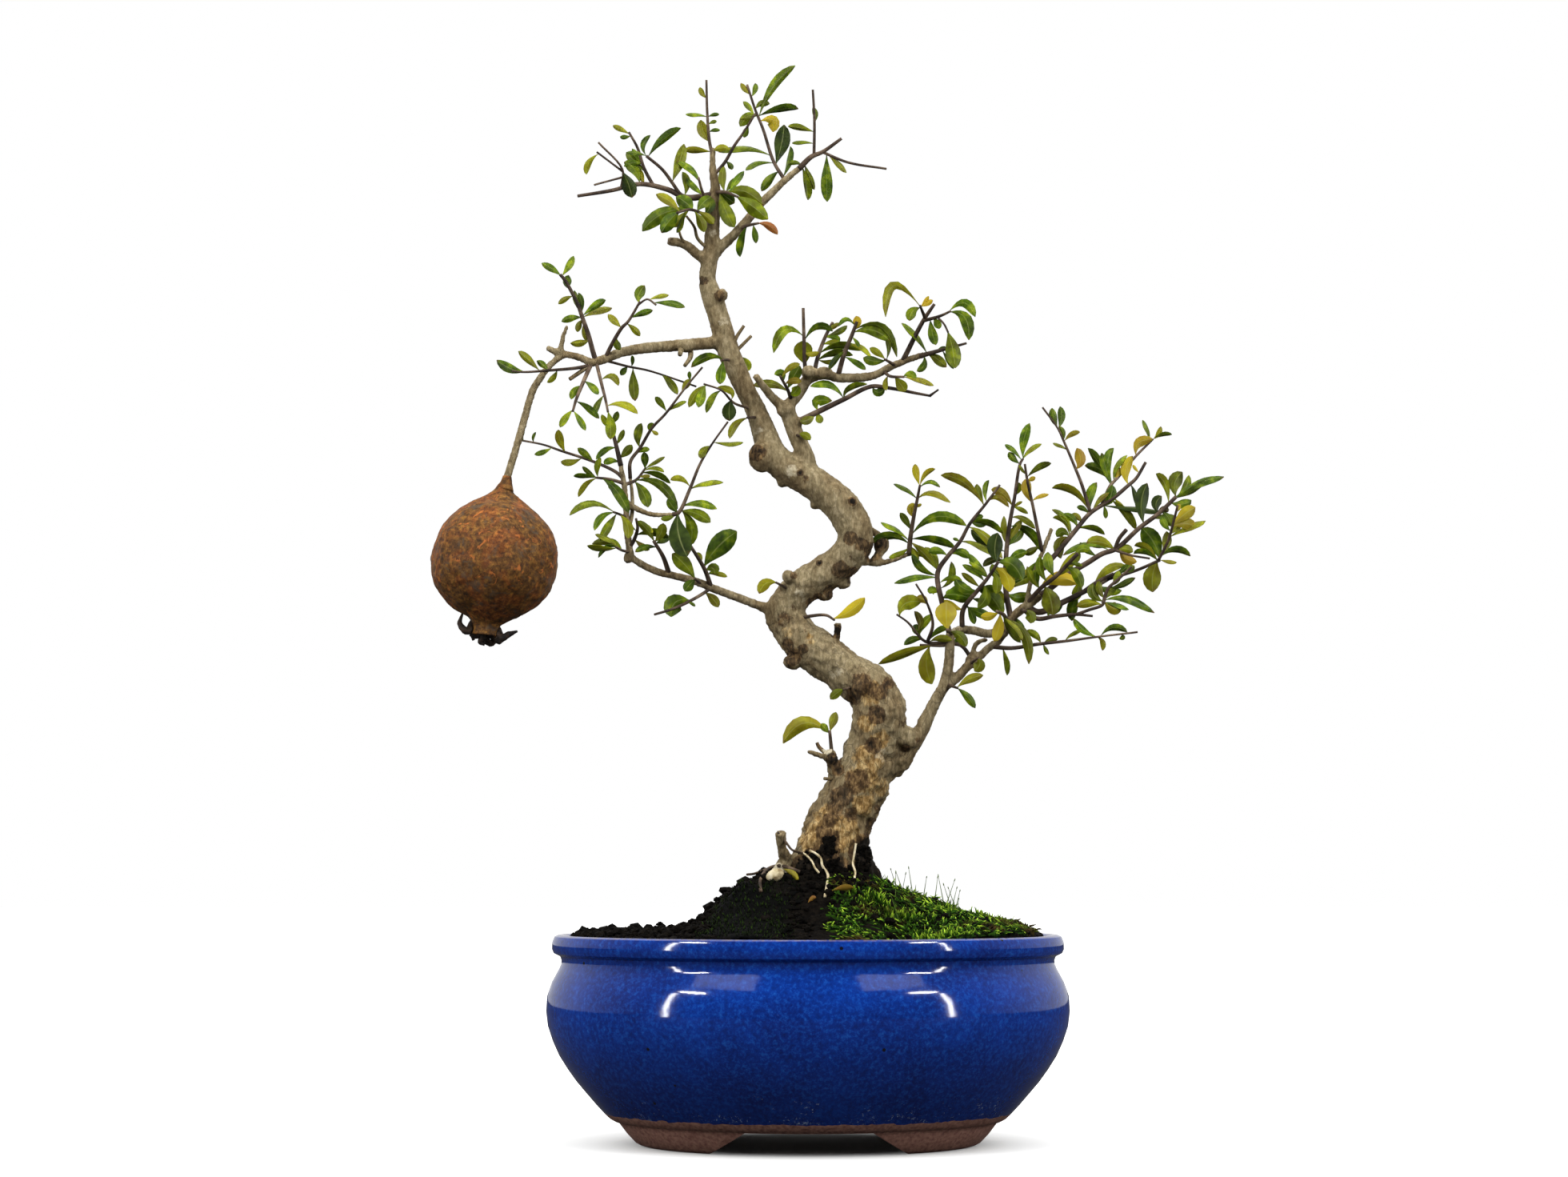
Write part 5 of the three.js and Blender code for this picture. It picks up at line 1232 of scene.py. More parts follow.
sprays["crown_top"] = (
    ((5, 3, 6, 982, 226, 967, 202, 954, 162, 944, 137, 934, 106),),
    ((10, 948, 147, 962, 102, 994, 82), (5, 948, 146, 975, 133, 998, 136), (16, 949, 151, 972, 142, 966, 165),
     (20, 970, 206, 979, 180, 980, 156), (8, 965, 197, 930, 176, 898, 190), (7, 967, 204, 940, 199, 932, 213),
     (11, 974, 214, 960, 222, 952, 239), (7, 940, 122, 946, 112, 944, 104), (6, 980, 222, 987, 204, 988, 183),
     (7, 938, 118, 931, 112, 926, 104), (14, 946, 146, 935, 140, 925, 158),
     (9, 944, 137, 950, 125, 962, 130)),
)
sprays["crown_right"] = (
    ((8, 4, -7, 999, 212, 1014, 196, 1028, 190, 1052, 173), (4, 3, -12, 1017, 194, 1018, 150, 1016, 112),
     (4, 3, 2, 1028, 190, 1060, 203, 1108, 211)),
    ((9, 1006, 206, 1012, 221, 1018, 237), (8, 1004, 208, 1009, 230, 1010, 250),
     (6, 1003, 208, 995, 200, 985, 205), (15, 1032, 192, 1033, 225, 1034, 252),
     (7, 1033, 192, 1048, 201, 1058, 216), (6, 1017, 166, 1001, 159, 985, 158),
     (5, 1016, 178, 1002, 175, 990, 179), (7, 1018, 152, 1022, 143, 1016, 134)),
)
sprays["crown_front"] = (
    ((6, 3, -18, 897, 240, 906, 240, 922, 246),),
    ((18, 908, 240, 930, 230, 954, 256), (18, 900, 240, 904, 262, 918, 284),
     (19, 920, 245, 938, 254, 960, 274), (9, 912, 242, 918, 226, 930, 214),
     (10, 906, 240, 900, 225, 905, 208), (9, 908, 240, 914, 228, 924, 222),
     (16, 900, 240, 908, 246, 918, 254)),
)
sprays["left_whorl"] = (
    ((7, 4, -20, 744, 450, 741, 439, 736, 420, 728, 397, 722, 380, 706, 350, 700, 343),),
    ((9, 701, 346, 690, 334, 677, 329), (9, 702, 345, 712, 333, 717, 320), (11, 712, 362, 706, 353, 711, 344),
     (9, 728, 397, 714, 395, 702, 402), (7, 727, 394, 722, 378, 718, 363), (7, 728, 393, 729, 378, 723, 366),
     (9, 729, 395, 745, 379, 757, 375), (9, 729, 396, 748, 385, 765, 385), (8, 729, 399, 722, 405, 722, 415),
     (8, 731, 402, 730, 412, 733, 426), (9, 737, 424, 728, 430, 713, 429), (7, 716, 369, 706, 372, 698, 380)),
)
sprays["left_pair"] = (
    ((6, 3, -26, 757, 447, 762, 436, 777, 410, 785, 402, 800, 377),
     (3, 2, -30, 798, 382, 809, 374, 820, 381)),
    ((9, 777, 411, 768, 401, 760, 393), (8, 788, 398, 803, 390, 816, 388), (13, 799, 379, 795, 367, 806, 357),
     (8, 816, 379, 838, 376, 856, 384), (6, 810, 376, 824, 368, 836, 369), (9, 770, 420, 768, 430, 776, 437),
     (8, 783, 404, 794, 411, 800, 420)),
)
sprays["left_under"] = (
    ((5, 3, -24, 747, 456, 752, 480, 757, 500, 760, 515),),
    ((9, 752, 474, 768, 462, 773, 482), (9, 758, 508, 780, 498, 797, 517), (14, 760, 514, 765, 530, 763, 549),
     (8, 755, 493, 745, 505, 742, 520)),
)
sprays["left_hang"] = (
    ((6, 3, -32, 740, 457, 728, 480, 720, 500, 716, 514),),
    ((9, 716, 512, 706, 521, 700, 534), (8, 717, 513, 725, 524, 732, 538), (7, 720, 501, 736, 508, 749, 523),
     (9, 730, 477, 741, 482, 748, 493), (9, 727, 482, 716, 486, 714, 499)),
)
sprays["left_far"] = (
    ((5, 2, -34, 736, 457, 720, 460, 685, 463, 655, 465, 640, 464),),
    ((12, 657, 465, 637, 464, 621, 450), (9, 674, 464, 660, 449, 648, 439), (8, 684, 463, 680, 455, 671, 451),
     (7, 698, 462, 694, 472, 684, 478)),
)
sprays["left_thread"] = (
    ((4, 2, 22, 752, 451, 762, 452, 785, 458, 810, 463, 850, 476, 870, 483),),
    ((13, 792, 460, 791, 480, 794, 501), (8, 786, 458, 780, 462, 776, 469), (5, 790, 460, 792, 452, 790, 444),
     (10, 828, 469, 838, 475, 847, 493)),
)
sprays["dark_twig"] = (
    ((5, 2, -20, 784, 598, 788, 577, 800, 560, 815, 535, 832, 517, 851, 492, 862, 478, 878, 459),),
    ((8, 832, 515, 826, 503, 819, 496), (9, 852, 491, 856, 482, 863, 474), (5, 863, 477, 861, 470, 862, 464),
     (11, 800, 560, 793, 545, 802, 529), (8, 813, 539, 810, 534, 817, 529), (5, 813, 538, 818, 541, 823, 543),
     (5, 834, 514, 845, 505, 858, 502), (7, 795, 567, 804, 560, 812, 562)),
)
sprays["leader_tuft"] = (
    ((4, 2, -22, 936, 514, 918, 504, 902, 488, 880, 480),),
    ((11, 884, 481, 870, 487, 861, 509), (12, 882, 481, 877, 492, 873, 509),
     (9, 901, 488, 888, 492, 883, 516), (18, 914, 500, 910, 508, 912, 526),
     (9, 914, 501, 922, 486, 897, 484)),
)
sprays["stem_top"] = (
    ((7, 3, -10, 775, 582, 771, 560, 766, 540, 762, 520),),
    ((7, 770, 557, 776, 547, 780, 537), (7, 770, 560, 757, 557, 745, 574), (11, 773, 574, 783, 566, 790, 556),
     (8, 766, 536, 757, 530, 752, 518), (8, 764, 530, 770, 524, 772, 514), (9, 774, 578, 762, 572, 755, 580)),
)
sprays["stem_left"] = (
    ((5, 2, 12, 779, 598, 770, 590, 742, 577, 700, 563, 680, 556, 650, 550),),
    ((9, 727, 572, 713, 581, 701, 577), (11, 708, 566, 698, 552, 698, 537), (4, 667, 554, 664, 547, 670, 540),
     (9, 655, 551, 648, 543, 654, 534), (9, 742, 577, 733, 568, 722, 560), (7, 690, 560, 680, 566, 668, 568)),
)
sprays["stem_whorl"] = (
    ((5, 3, -16, 780, 604, 762, 599, 745, 597),),
    ((6, 746, 597, 736, 592, 728, 583), (4, 746, 597, 730, 594, 717, 595), (4, 747, 598, 730, 603, 723, 621),
     (8, 748, 597, 743, 584, 751, 572), (14, 752, 598, 773, 608, 786, 641),
     (10, 762, 599, 767, 606, 764, 613)),
)
sprays["stem_mid"] = (
    ((4, 3, -15, 783, 647, 775, 643, 767, 640),),
    ((8, 768, 640, 735, 615, 712, 644), (9, 769, 641, 748, 640, 743, 663), (10, 771, 642, 762, 655, 750, 676),
     (13, 774, 643, 789, 655, 785, 673)),
)
sprays["stem_foot"] = (
    ((4, 3, -18, 786, 690, 778, 688, 770, 684),),
    ((5, 775, 687, 760, 670, 744, 668), (10, 776, 687, 765, 670, 740, 680),
     (10, 778, 688, 770, 676, 755, 677), (4, 773, 685, 758, 676, 748, 697),
     (5, 771, 685, 752, 689, 734, 682)),
)
sprays["stem_right"] = (
    ((5, 3, 4, 781, 606, 795, 600, 807, 585),),
    ((10, 806, 586, 807, 576, 805, 565), (4, 806, 586, 818, 577, 831, 571), (5, 804, 589, 820, 580, 830, 590),
     (5, 802, 591, 820, 588, 838, 604), (5, 799, 597, 806, 595, 813, 595), (11, 793, 603, 828, 592, 847, 636),
     (15, 793, 602, 807, 614, 810, 634)),
)
sprays["low_right"] = (
    ((6, 3, -12, 786, 684, 792, 676, 797, 660, 795, 648),),
    ((9, 795, 669, 815, 660, 836, 672), (8, 796, 655, 806, 655, 816, 666), (8, 793, 674, 802, 684, 812, 687),
     (6, 795, 664, 786, 654, 780, 657)),
)
sprays["inner_tip"] = (
    ((6, 2, -14, 840, 643, 848, 641, 862, 612, 875, 580, 890, 555, 910, 527),),
    ((8, 863, 610, 852, 592, 838, 600), (5, 863, 611, 880, 600, 904, 603), (10, 888, 558, 877, 561, 876, 573),
     (4, 892, 552, 910, 556, 929, 553), (9, 852, 634, 874, 622, 896, 636), (14, 850, 638, 872, 638, 888, 653),
     (27, 848, 641, 842, 664, 859, 695), (15, 850, 637, 872, 655, 862, 682),
     (11, 847, 641, 842, 634, 834, 624), (7, 847, 641, 835, 650, 826, 648)),
)
sprays["arm_fork"] = (
    ((7, 4, -10, 836, 722, 829, 696, 817, 676),),
    ((10, 818, 677, 812, 662, 797, 651), (13, 818, 677, 828, 668, 829, 654),
     (9, 819, 679, 828, 676, 838, 670), (8, 822, 684, 806, 680, 794, 690)),
)
sprays["arm_mid"] = (
    ((7, 4, -14, 889, 733, 881, 712, 863, 682),),
    ((27, 881, 710, 893, 682, 921, 664), (15, 882, 713, 893, 704, 894, 718),
     (8, 877, 703, 876, 696, 870, 691), (6, 884, 718, 898, 714, 909, 721)),
)
sprays["fork_left"] = (
    ((6, 3, -16, 991, 504, 985, 488, 975, 470),),
    ((11, 985, 490, 968, 474, 941, 482), (10, 979, 478, 982, 461, 968, 468),
     (15, 985, 487, 992, 470, 1000, 457), (9, 981, 480, 990, 473, 1002, 477),
     (13, 986, 492, 994, 494, 998, 482), (8, 977, 473, 985, 456, 1000, 455)),
)
sprays["fork_square"] = (
    ((6, 4, -11, 1011, 476, 1006, 455, 1005, 424, 1004, 385),),
    ((13, 1004, 422, 976, 394, 967, 441), (24, 1006, 457, 1004, 442, 1003, 426),
     (7, 1005, 427, 1020, 396, 1041, 414), (7, 1005, 440, 1012, 446, 1024, 440)),
)
sprays["fork_twig"] = (
    ((6, 4, 2, 1016, 469, 1022, 447, 1032, 420, 1041, 403),),
    ((8, 1032, 421, 1047, 418, 1059, 407), (8, 1031, 423, 1043, 418, 1050, 426),
     (9, 1028, 431, 1041, 424, 1054, 433), (5, 1024, 442, 1045, 424, 1078, 438),
     (5, 1020, 452, 1040, 436, 1066, 444), (6, 1034, 416, 1040, 408, 1050, 404),
     (6, 1022, 450, 1036, 456, 1046, 450)),
)
sprays["fork_yellow"] = (
    ((7, 4, -14, 1047, 474, 1055, 443, 1066, 416, 1071, 402),),
    ((11, 1068, 412, 1074, 405, 1070, 395), (6, 1070, 408, 1058, 390, 1048, 408),
     (6, 1068, 413, 1108, 388, 1121, 446), (15, 1067, 416, 1092, 404, 1112, 426),
     (5, 1066, 420, 1072, 427, 1074, 434), (6, 1060, 434, 1073, 424, 1089, 447),
     (6, 1058, 440, 1045, 446, 1036, 462), (8, 1056, 446, 1072, 452, 1082, 462)),
)
sprays["arm_under_right"] = (
    ((5, 3, -16, 1103, 463, 1112, 470, 1130, 471),),
    ((6, 1128, 471, 1148, 472, 1167, 482), (14, 1118, 471, 1126, 480, 1132, 489),
     (11, 1128, 471, 1140, 462, 1143, 476), (7, 1111, 469, 1104, 478, 1108, 488)),
)
sprays["arm_up"] = (
    ((7, 4, -14, 1129, 453, 1154, 401, 1168, 380), (5, 3, -20, 1156, 398, 1150, 382),
     (5, 3, -24, 1155, 402, 1175, 395, 1188, 389), (3, 2, -28, 1172, 397, 1180, 405, 1185, 415)),
    ((11, 1151, 383, 1106, 324, 1107, 396), (13, 1151, 384, 1137, 386, 1137, 401),
     (7, 1151, 383, 1158, 380, 1166, 375), (5, 1151, 383, 1157, 377, 1161, 370),
     (12, 1186, 390, 1208, 364, 1219, 396), (16, 1186, 390, 1214, 387, 1211, 425),
     (19, 1184, 413, 1192, 434, 1194, 460), (12, 1163, 399, 1164, 416, 1170, 431),
     (10, 1166, 398, 1172, 402, 1174, 411)),
)
sprays["arm_end"] = (
    ((7, 3, -16, 1148, 446, 1175, 438, 1208, 429),),
    ((12, 1160, 443, 1170, 445, 1183, 459), (4, 1178, 437, 1184, 450, 1192, 461),
     (5, 1170, 440, 1176, 434, 1184, 435), (6, 1158, 443, 1148, 418, 1127, 404),
     (9, 1155, 445, 1160, 458, 1146, 464)),
)
sprays["arm_long"] = (
    ((8, 3, -10, 998, 527, 1032, 510, 1055, 499, 1089, 483, 1112, 485, 1143, 491, 1164, 495),
     (4, 2, -12, 1162, 495, 1173, 487)),
    ((14, 1024, 514, 1010, 496, 1040, 501), (10, 1022, 515, 1024, 522, 1026, 529),
     (11, 1018, 516, 1014, 526, 1000, 527), (9, 1056, 498, 1040, 470, 1013, 483),
     (5, 1056, 498, 1053, 482, 1084, 480), (11, 1090, 484, 1093, 495, 1106, 487)),
)
sprays["side_tip"] = (
    ((7, 3, -14, 1136, 694, 1138, 672, 1142, 647, 1147, 622, 1150, 606),),
    ((9, 1150, 607, 1144, 592, 1144, 580), (5, 1150, 608, 1154, 590, 1169, 586),
     (5, 1149, 610, 1163, 594, 1175, 609), (4, 1146, 623, 1136, 610, 1117, 605),
     (7, 1147, 624, 1163, 605, 1188, 628), (9, 1142, 646, 1133, 637, 1143, 629),
     (4, 1144, 634, 1148, 632, 1152, 630), (9, 1139, 664, 1133, 650, 1125, 641),
     (4, 1138, 678, 1120, 657, 1101, 653), (8, 1137, 680, 1115, 660, 1088, 679),
     (14, 1139, 670, 1168, 628, 1208, 657), (7, 1139, 674, 1166, 670, 1194, 685),
     (9, 1138, 678, 1152, 686, 1165, 702), (8, 1137, 684, 1124, 695, 1111, 697),
     (9, 1137, 682, 1146, 690, 1145, 704)),
)
sprays["right_shoot"] = (
    ((8, 3, -12, 1187, 796, 1178, 755, 1172, 716, 1185, 695, 1200, 677, 1212, 655, 1232, 630, 1250, 606),),
    ((9, 1211, 657, 1219, 646, 1229, 645), (4, 1212, 656, 1230, 645, 1254, 667),
     (11, 1210, 658, 1232, 662, 1253, 698), (6, 1200, 677, 1222, 674, 1250, 697),
     (4, 1200, 677, 1196, 674, 1191, 673), (11, 1230, 631, 1208, 594, 1176, 594),
     (9, 1230, 631, 1222, 616, 1221, 605), (6, 1233, 628, 1228, 612, 1236, 600),
     (8, 1233, 629, 1247, 612, 1261, 634), (9, 1173, 715, 1160, 695, 1144, 682),
     (12, 1173, 714, 1170, 697, 1156, 684), (7, 1173, 718, 1146, 716, 1140, 692),
     (6, 1173, 724, 1148, 716, 1118, 729), (10, 1185, 695, 1172, 684, 1161, 690),
     (11, 1186, 694, 1202, 684, 1212, 698), (8, 1174, 728, 1190, 716, 1203, 728),
     (9, 1175, 737, 1197, 726, 1189, 702), (24, 1177, 750, 1198, 736, 1218, 745),
     (11, 1176, 742, 1164, 733, 1162, 742), (9, 1214, 653, 1222, 656, 1234, 654)),
)
sprays["elbow_left"] = (
    ((5, 2, -16, 1187, 803, 1157, 802, 1135, 778, 1121, 768),
     (5, 2, -22, 1160, 803, 1166, 780, 1158, 752, 1145, 730)),
    ((19, 1124, 770, 1124, 748, 1152, 752), (9, 1155, 801, 1143, 794, 1130, 806),
     (10, 1150, 795, 1150, 780, 1166, 768), (9, 1146, 791, 1156, 776, 1143, 764),
     (7, 1160, 802, 1172, 784, 1187, 785), (9, 1162, 802, 1174, 794, 1190, 800),
     (10, 1160, 757, 1157, 748, 1146, 746), (11, 1151, 797, 1143, 788, 1146, 780)),
)
sprays["elbow_behind"] = (
    ((6, 3, 12, 1216, 824, 1200, 806, 1175, 807, 1150, 806),),
    ((10, 1166, 807, 1140, 812, 1098, 830), (21, 1163, 807, 1152, 830, 1165, 855),
     (9, 1190, 806, 1198, 797, 1208, 797)),
)
sprays["low_thread"] = (
    ((6, 2, -14, 1238, 809, 1264, 810, 1298, 805, 1334, 801, 1371, 796, 1422, 790),),
    ((5, 1252, 811, 1258, 826, 1259, 844), (5, 1303, 805, 1306, 811, 1311, 818),
     (7, 1303, 805, 1312, 798, 1322, 799), (4, 1332, 801, 1340, 789, 1352, 788),
     (9, 1370, 796, 1352, 790, 1342, 773), (7, 1372, 796, 1382, 800, 1378, 813),
     (8, 1374, 796, 1390, 776, 1409, 790), (9, 1300, 805, 1298, 792, 1283, 788),
     (6, 1400, 792, 1408, 797, 1399, 798)),
)
sprays["heart_low"] = (
    ((6, 4, -20, 1262, 779, 1254, 768, 1246, 764),),
    ((14, 1250, 766, 1251, 783, 1243, 802), (13, 1258, 773, 1290, 785, 1286, 830),
     (13, 1256, 770, 1266, 786, 1278, 800), (6, 1253, 768, 1260, 792, 1276, 803),
     (11, 1249, 765, 1238, 772, 1226, 770)),
)
sprays["heart_mid"] = (
    ((7, 4, -20, 1203, 788, 1204, 762, 1222, 738, 1235, 722, 1248, 702),),
    ((20, 1222, 738, 1242, 740, 1253, 769), (18, 1243, 710, 1262, 712, 1262, 740),
     (22, 1247, 703, 1267, 696, 1278, 725), (20, 1246, 704, 1240, 688, 1247, 666),
     (8, 1231, 727, 1222, 712, 1203, 706), (7, 1235, 722, 1228, 706, 1211, 703),
     (7, 1226, 734, 1214, 726, 1202, 716), (9, 1222, 738, 1237, 730, 1251, 741),
     (8, 1214, 748, 1226, 750, 1238, 756), (12, 1240, 714, 1250, 726, 1245, 742),
     (9, 1208, 757, 1216, 768, 1218, 780), (13, 1222, 738, 1203, 740, 1194, 724),
     (11, 1235, 722, 1225, 715, 1211, 692), (14, 1214, 748, 1190, 740, 1182, 744),
     (10, 1204, 762, 1190, 760, 1180, 750), (14, 1229, 730, 1240, 745, 1222, 760),
     (12, 1206, 758, 1222, 765, 1240, 772)),
)
sprays["spire"] = (
    ((8, 3, -8, 1264, 774, 1257, 735, 1258, 690, 1262, 655, 1268, 623, 1275, 580, 1279, 573),),
    ((12, 1279, 573, 1276, 551, 1287, 529), (5, 1277, 576, 1286, 558, 1302, 555),
     (6, 1277, 576, 1266, 558, 1256, 556), (9, 1275, 581, 1265, 573, 1261, 565),
     (8, 1269, 621, 1276, 612, 1273, 603), (12, 1267, 633, 1256, 612, 1239, 612),
     (6, 1266, 635, 1274, 634, 1285, 642), (4, 1266, 636, 1271, 629, 1278, 627),
     (8, 1264, 648, 1280, 642, 1294, 661), (9, 1262, 657, 1288, 654, 1303, 691),
     (14, 1258, 742, 1272, 752, 1288, 742), (14, 1257, 725, 1270, 714, 1284, 716),
     (11, 1258, 706, 1270, 690, 1284, 690), (10, 1259, 684, 1268, 672, 1267, 658),
     (9, 1259, 680, 1274, 674, 1279, 660), (12, 1258, 729, 1282, 728, 1303, 699),
     (11, 1258, 737, 1280, 722, 1301, 715), (18, 1260, 751, 1250, 752, 1236, 735),
     (6, 1258, 682, 1252, 668, 1255, 645), (9, 1259, 679, 1268, 662, 1277, 650),
     (12, 1259, 690, 1229, 679, 1214, 662), (9, 1258, 700, 1238, 695, 1229, 708),
     (13, 1262, 766, 1274, 780, 1279, 796), (14, 1258, 715, 1245, 722, 1240, 705)),
)
sprays["spire_pair"] = (
    ((5, 3, -16, 1303, 691, 1297, 662, 1291, 632, 1284, 600, 1281, 580),),
    ((7, 1285, 597, 1297, 582, 1314, 579), (13, 1291, 628, 1279, 612, 1285, 598),
     (5, 1291, 627, 1299, 618, 1311, 618), (4, 1283, 594, 1278, 589, 1274, 581),
     (6, 1284, 601, 1289, 600, 1294, 596), (9, 1300, 680, 1290, 690, 1280, 692)),
)
sprays["stub_twig"] = (
    ((6, 5, -22, 1281, 755, 1300, 736, 1320, 720, 1347, 692),),
    ((18, 1298, 738, 1318, 712, 1347, 730), (24, 1306, 732, 1315, 746, 1316, 768),
     (11, 1333, 707, 1344, 702, 1349, 689), (5, 1335, 705, 1344, 704, 1353, 707),
     (13, 1318, 721, 1308, 706, 1310, 690), (12, 1300, 736, 1290, 724, 1296, 712),
     (13, 1319, 721, 1334, 711, 1345, 690), (13, 1330, 708, 1349, 712, 1352, 735),
     (10, 1341, 697, 1350, 680, 1363, 688), (10, 1310, 728, 1296, 714, 1300, 695),
     (8, 1300, 736, 1288, 725, 1284, 708)),
)
sprays["high_right"] = (
    ((7, 4, 12, 1290, 726, 1322, 690, 1345, 662, 1363, 641, 1391, 623, 1410, 607, 1420, 598, 1432, 578),
     (5, 2, 4, 1363, 641, 1352, 605, 1344, 585, 1330, 552, 1322, 535, 1303, 509),
     (5, 3, 20, 1377, 632, 1388, 607, 1397, 597, 1420, 570, 1441, 549)),
    ((14, 1337, 671, 1318, 672, 1326, 698), (12, 1338, 670, 1328, 658, 1321, 671),
     (5, 1338, 670, 1335, 645, 1316, 647), (6, 1340, 668, 1338, 642, 1315, 637),
     (9, 1346, 661, 1345, 645, 1328, 643), (8, 1352, 653, 1349, 646, 1340, 642),
     (5, 1346, 661, 1364, 656, 1381, 668), (12, 1318, 694, 1306, 698, 1306, 713),
     (6, 1363, 641, 1345, 604, 1315, 610), (7, 1361, 642, 1355, 633, 1346, 634),
     (12, 1364, 640, 1357, 620, 1371, 603), (5, 1366, 638, 1373, 621, 1386, 616),
     (14, 1374, 634, 1392, 626, 1390, 606), (5, 1376, 632, 1416, 634, 1456, 640),
     (8, 1388, 625, 1406, 636, 1420, 662), (5, 1392, 622, 1398, 630, 1405, 634),
     (6, 1380, 630, 1383, 640, 1382, 648), (13, 1411, 606, 1400, 588, 1416, 570),
     (6, 1412, 605, 1421, 615, 1421, 632), (4, 1424, 592, 1419, 586, 1416, 581),
     (10, 1322, 535, 1316, 524, 1315, 510), (10, 1323, 536, 1330, 522, 1325, 508),
     (6, 1330, 551, 1332, 540, 1324, 533), (7, 1331, 552, 1338, 540, 1350, 540),
     (4, 1335, 564, 1326, 556, 1316, 554), (14, 1344, 586, 1356, 578, 1346, 560),
     (13, 1420, 570, 1416, 548, 1441, 549), (5, 1437, 552, 1436, 536, 1428, 525),
     (7, 1441, 549, 1450, 544, 1451, 533), (4, 1441, 549, 1452, 541, 1465, 543),
     (12, 1390, 604, 1378, 580, 1356, 582), (7, 1389, 606, 1376, 580, 1360, 560),
     (11, 1390, 604, 1378, 575, 1392, 560), (9, 1388, 606, 1382, 586, 1377, 566),
     (4, 1392, 602, 1390, 580, 1409, 569), (10, 1393, 601, 1400, 592, 1395, 582)),
)
sprays["far_right"] = (
    ((8, 5, -8, 1300, 744, 1312, 736, 1335, 718, 1360, 703, 1378, 692, 1395, 686, 1424, 660, 1448, 642, 1470,
      621), (5, 5, -10, 1394, 687, 1399, 673, 1408, 662), (4, 2, -14, 1392, 688, 1414, 694, 1437, 698)),
    ((16, 1394, 687, 1378, 672, 1358, 679), (5, 1388, 689, 1356, 668, 1329, 694),
     (12, 1398, 689, 1406, 682, 1416, 690), (12, 1400, 690, 1404, 700, 1421, 702),
     (17, 1430, 655, 1421, 628, 1434, 604), (9, 1438, 650, 1458, 640, 1478, 653),
     (13, 1448, 642, 1440, 628, 1452, 620), (8, 1462, 630, 1460, 600, 1445, 592),
     (18, 1470, 621, 1463, 602, 1478, 590), (10, 1470, 622, 1486, 612, 1486, 594),
     (9, 1470, 622, 1494, 600, 1530, 596), (6, 1469, 622, 1492, 616, 1508, 601),
     (12, 1464, 629, 1478, 634, 1489, 625), (12, 1452, 640, 1463, 646, 1464, 658),
     (10, 1444, 645, 1456, 632, 1460, 640), (9, 1372, 696, 1356, 688, 1350, 678)),
)
sprays["right_low"] = (
    ((9, 5, 8, 1284, 758, 1298, 765, 1330, 752, 1350, 742, 1372, 731, 1404, 712),
     (5, 4, 4, 1352, 742, 1370, 728, 1392, 717), (4, 4, -4, 1385, 726, 1420, 713, 1450, 700),
     (4, 3, -18, 1448, 701, 1460, 676, 1467, 652, 1472, 632)),
    ((10, 1366, 734, 1380, 704, 1406, 706), (9, 1398, 718, 1404, 708, 1416, 707),
     (23, 1448, 701, 1438, 714, 1441, 740), (24, 1450, 699, 1446, 676, 1427, 660),
     (12, 1452, 694, 1462, 680, 1458, 664), (6, 1447, 700, 1434, 678, 1418, 682),
     (5, 1446, 701, 1430, 684, 1417, 692), (7, 1451, 698, 1468, 678, 1488, 695),
     (5, 1450, 700, 1460, 702, 1471, 703), (16, 1466, 656, 1482, 640, 1494, 634),
     (15, 1466, 658, 1486, 650, 1494, 660), (6, 1462, 672, 1484, 656, 1507, 651),
     (10, 1463, 668, 1470, 660, 1476, 652), (6, 1470, 640, 1474, 636, 1474, 629),
     (9, 1464, 665, 1454, 656, 1452, 645), (14, 1350, 743, 1338, 752, 1340, 776),
     (13, 1340, 748, 1346, 751, 1349, 728), (9, 1355, 742, 1366, 740, 1378, 728),
     (12, 1330, 752, 1322, 765, 1305, 762), (11, 1372, 731, 1384, 742, 1402, 738)),
)
sprays["right_thread"] = (
    ((7, 3, -6, 1282, 764, 1296, 773, 1320, 770, 1345, 768, 1366, 770),
     (4, 4, -10, 1345, 768, 1362, 762, 1378, 756, 1381, 748),
     (5, 3, -12, 1379, 754, 1385, 736, 1400, 722, 1415, 708)),
    ((3, 1310, 772, 1311, 769, 1310, 764), (16, 1381, 752, 1390, 764, 1402, 759),
     (10, 1381, 751, 1408, 738, 1443, 766), (5, 1381, 753, 1397, 754, 1411, 762),
     (13, 1380, 752, 1362, 746, 1366, 729), (11, 1378, 756, 1362, 750, 1346, 758),
     (9, 1389, 732, 1398, 726, 1398, 713), (7, 1386, 735, 1404, 734, 1419, 722),
     (9, 1408, 715, 1412, 712, 1418, 707), (9, 1382, 748, 1372, 740, 1374, 726),
     (10, 1380, 752, 1384, 738, 1396, 735)),
)

# small sprigs straight from the bark
sprigs = {}
sprigs["crown_stub"] = (
    ((5, 3, -10, 890, 256, 880, 244, 873, 222),),
    ((8, 876, 232, 868, 207, 846, 201), (8, 880, 243, 868, 236, 858, 222)),
)
sprigs["crown_dead"] = (
    ((5, 3, -16, 926, 285, 938, 281, 948, 279),),
    ((10, 946, 279, 962, 277, 972, 293), (8, 941, 280, 944, 291, 945, 304),
     (9, 934, 282, 924, 300, 925, 321)),
)
sprigs["leader_bud"] = (
    ((4, 3, -11, 915, 449, 903, 450),),
    ((9, 905, 450, 885, 437, 864, 459), (13, 904, 450, 901, 465, 900, 480)),
)
sprigs["leader_right"] = (
    ((4, 3, 9, 914, 443, 927, 446),),
    ((12, 925, 446, 936, 452, 934, 464),),
)
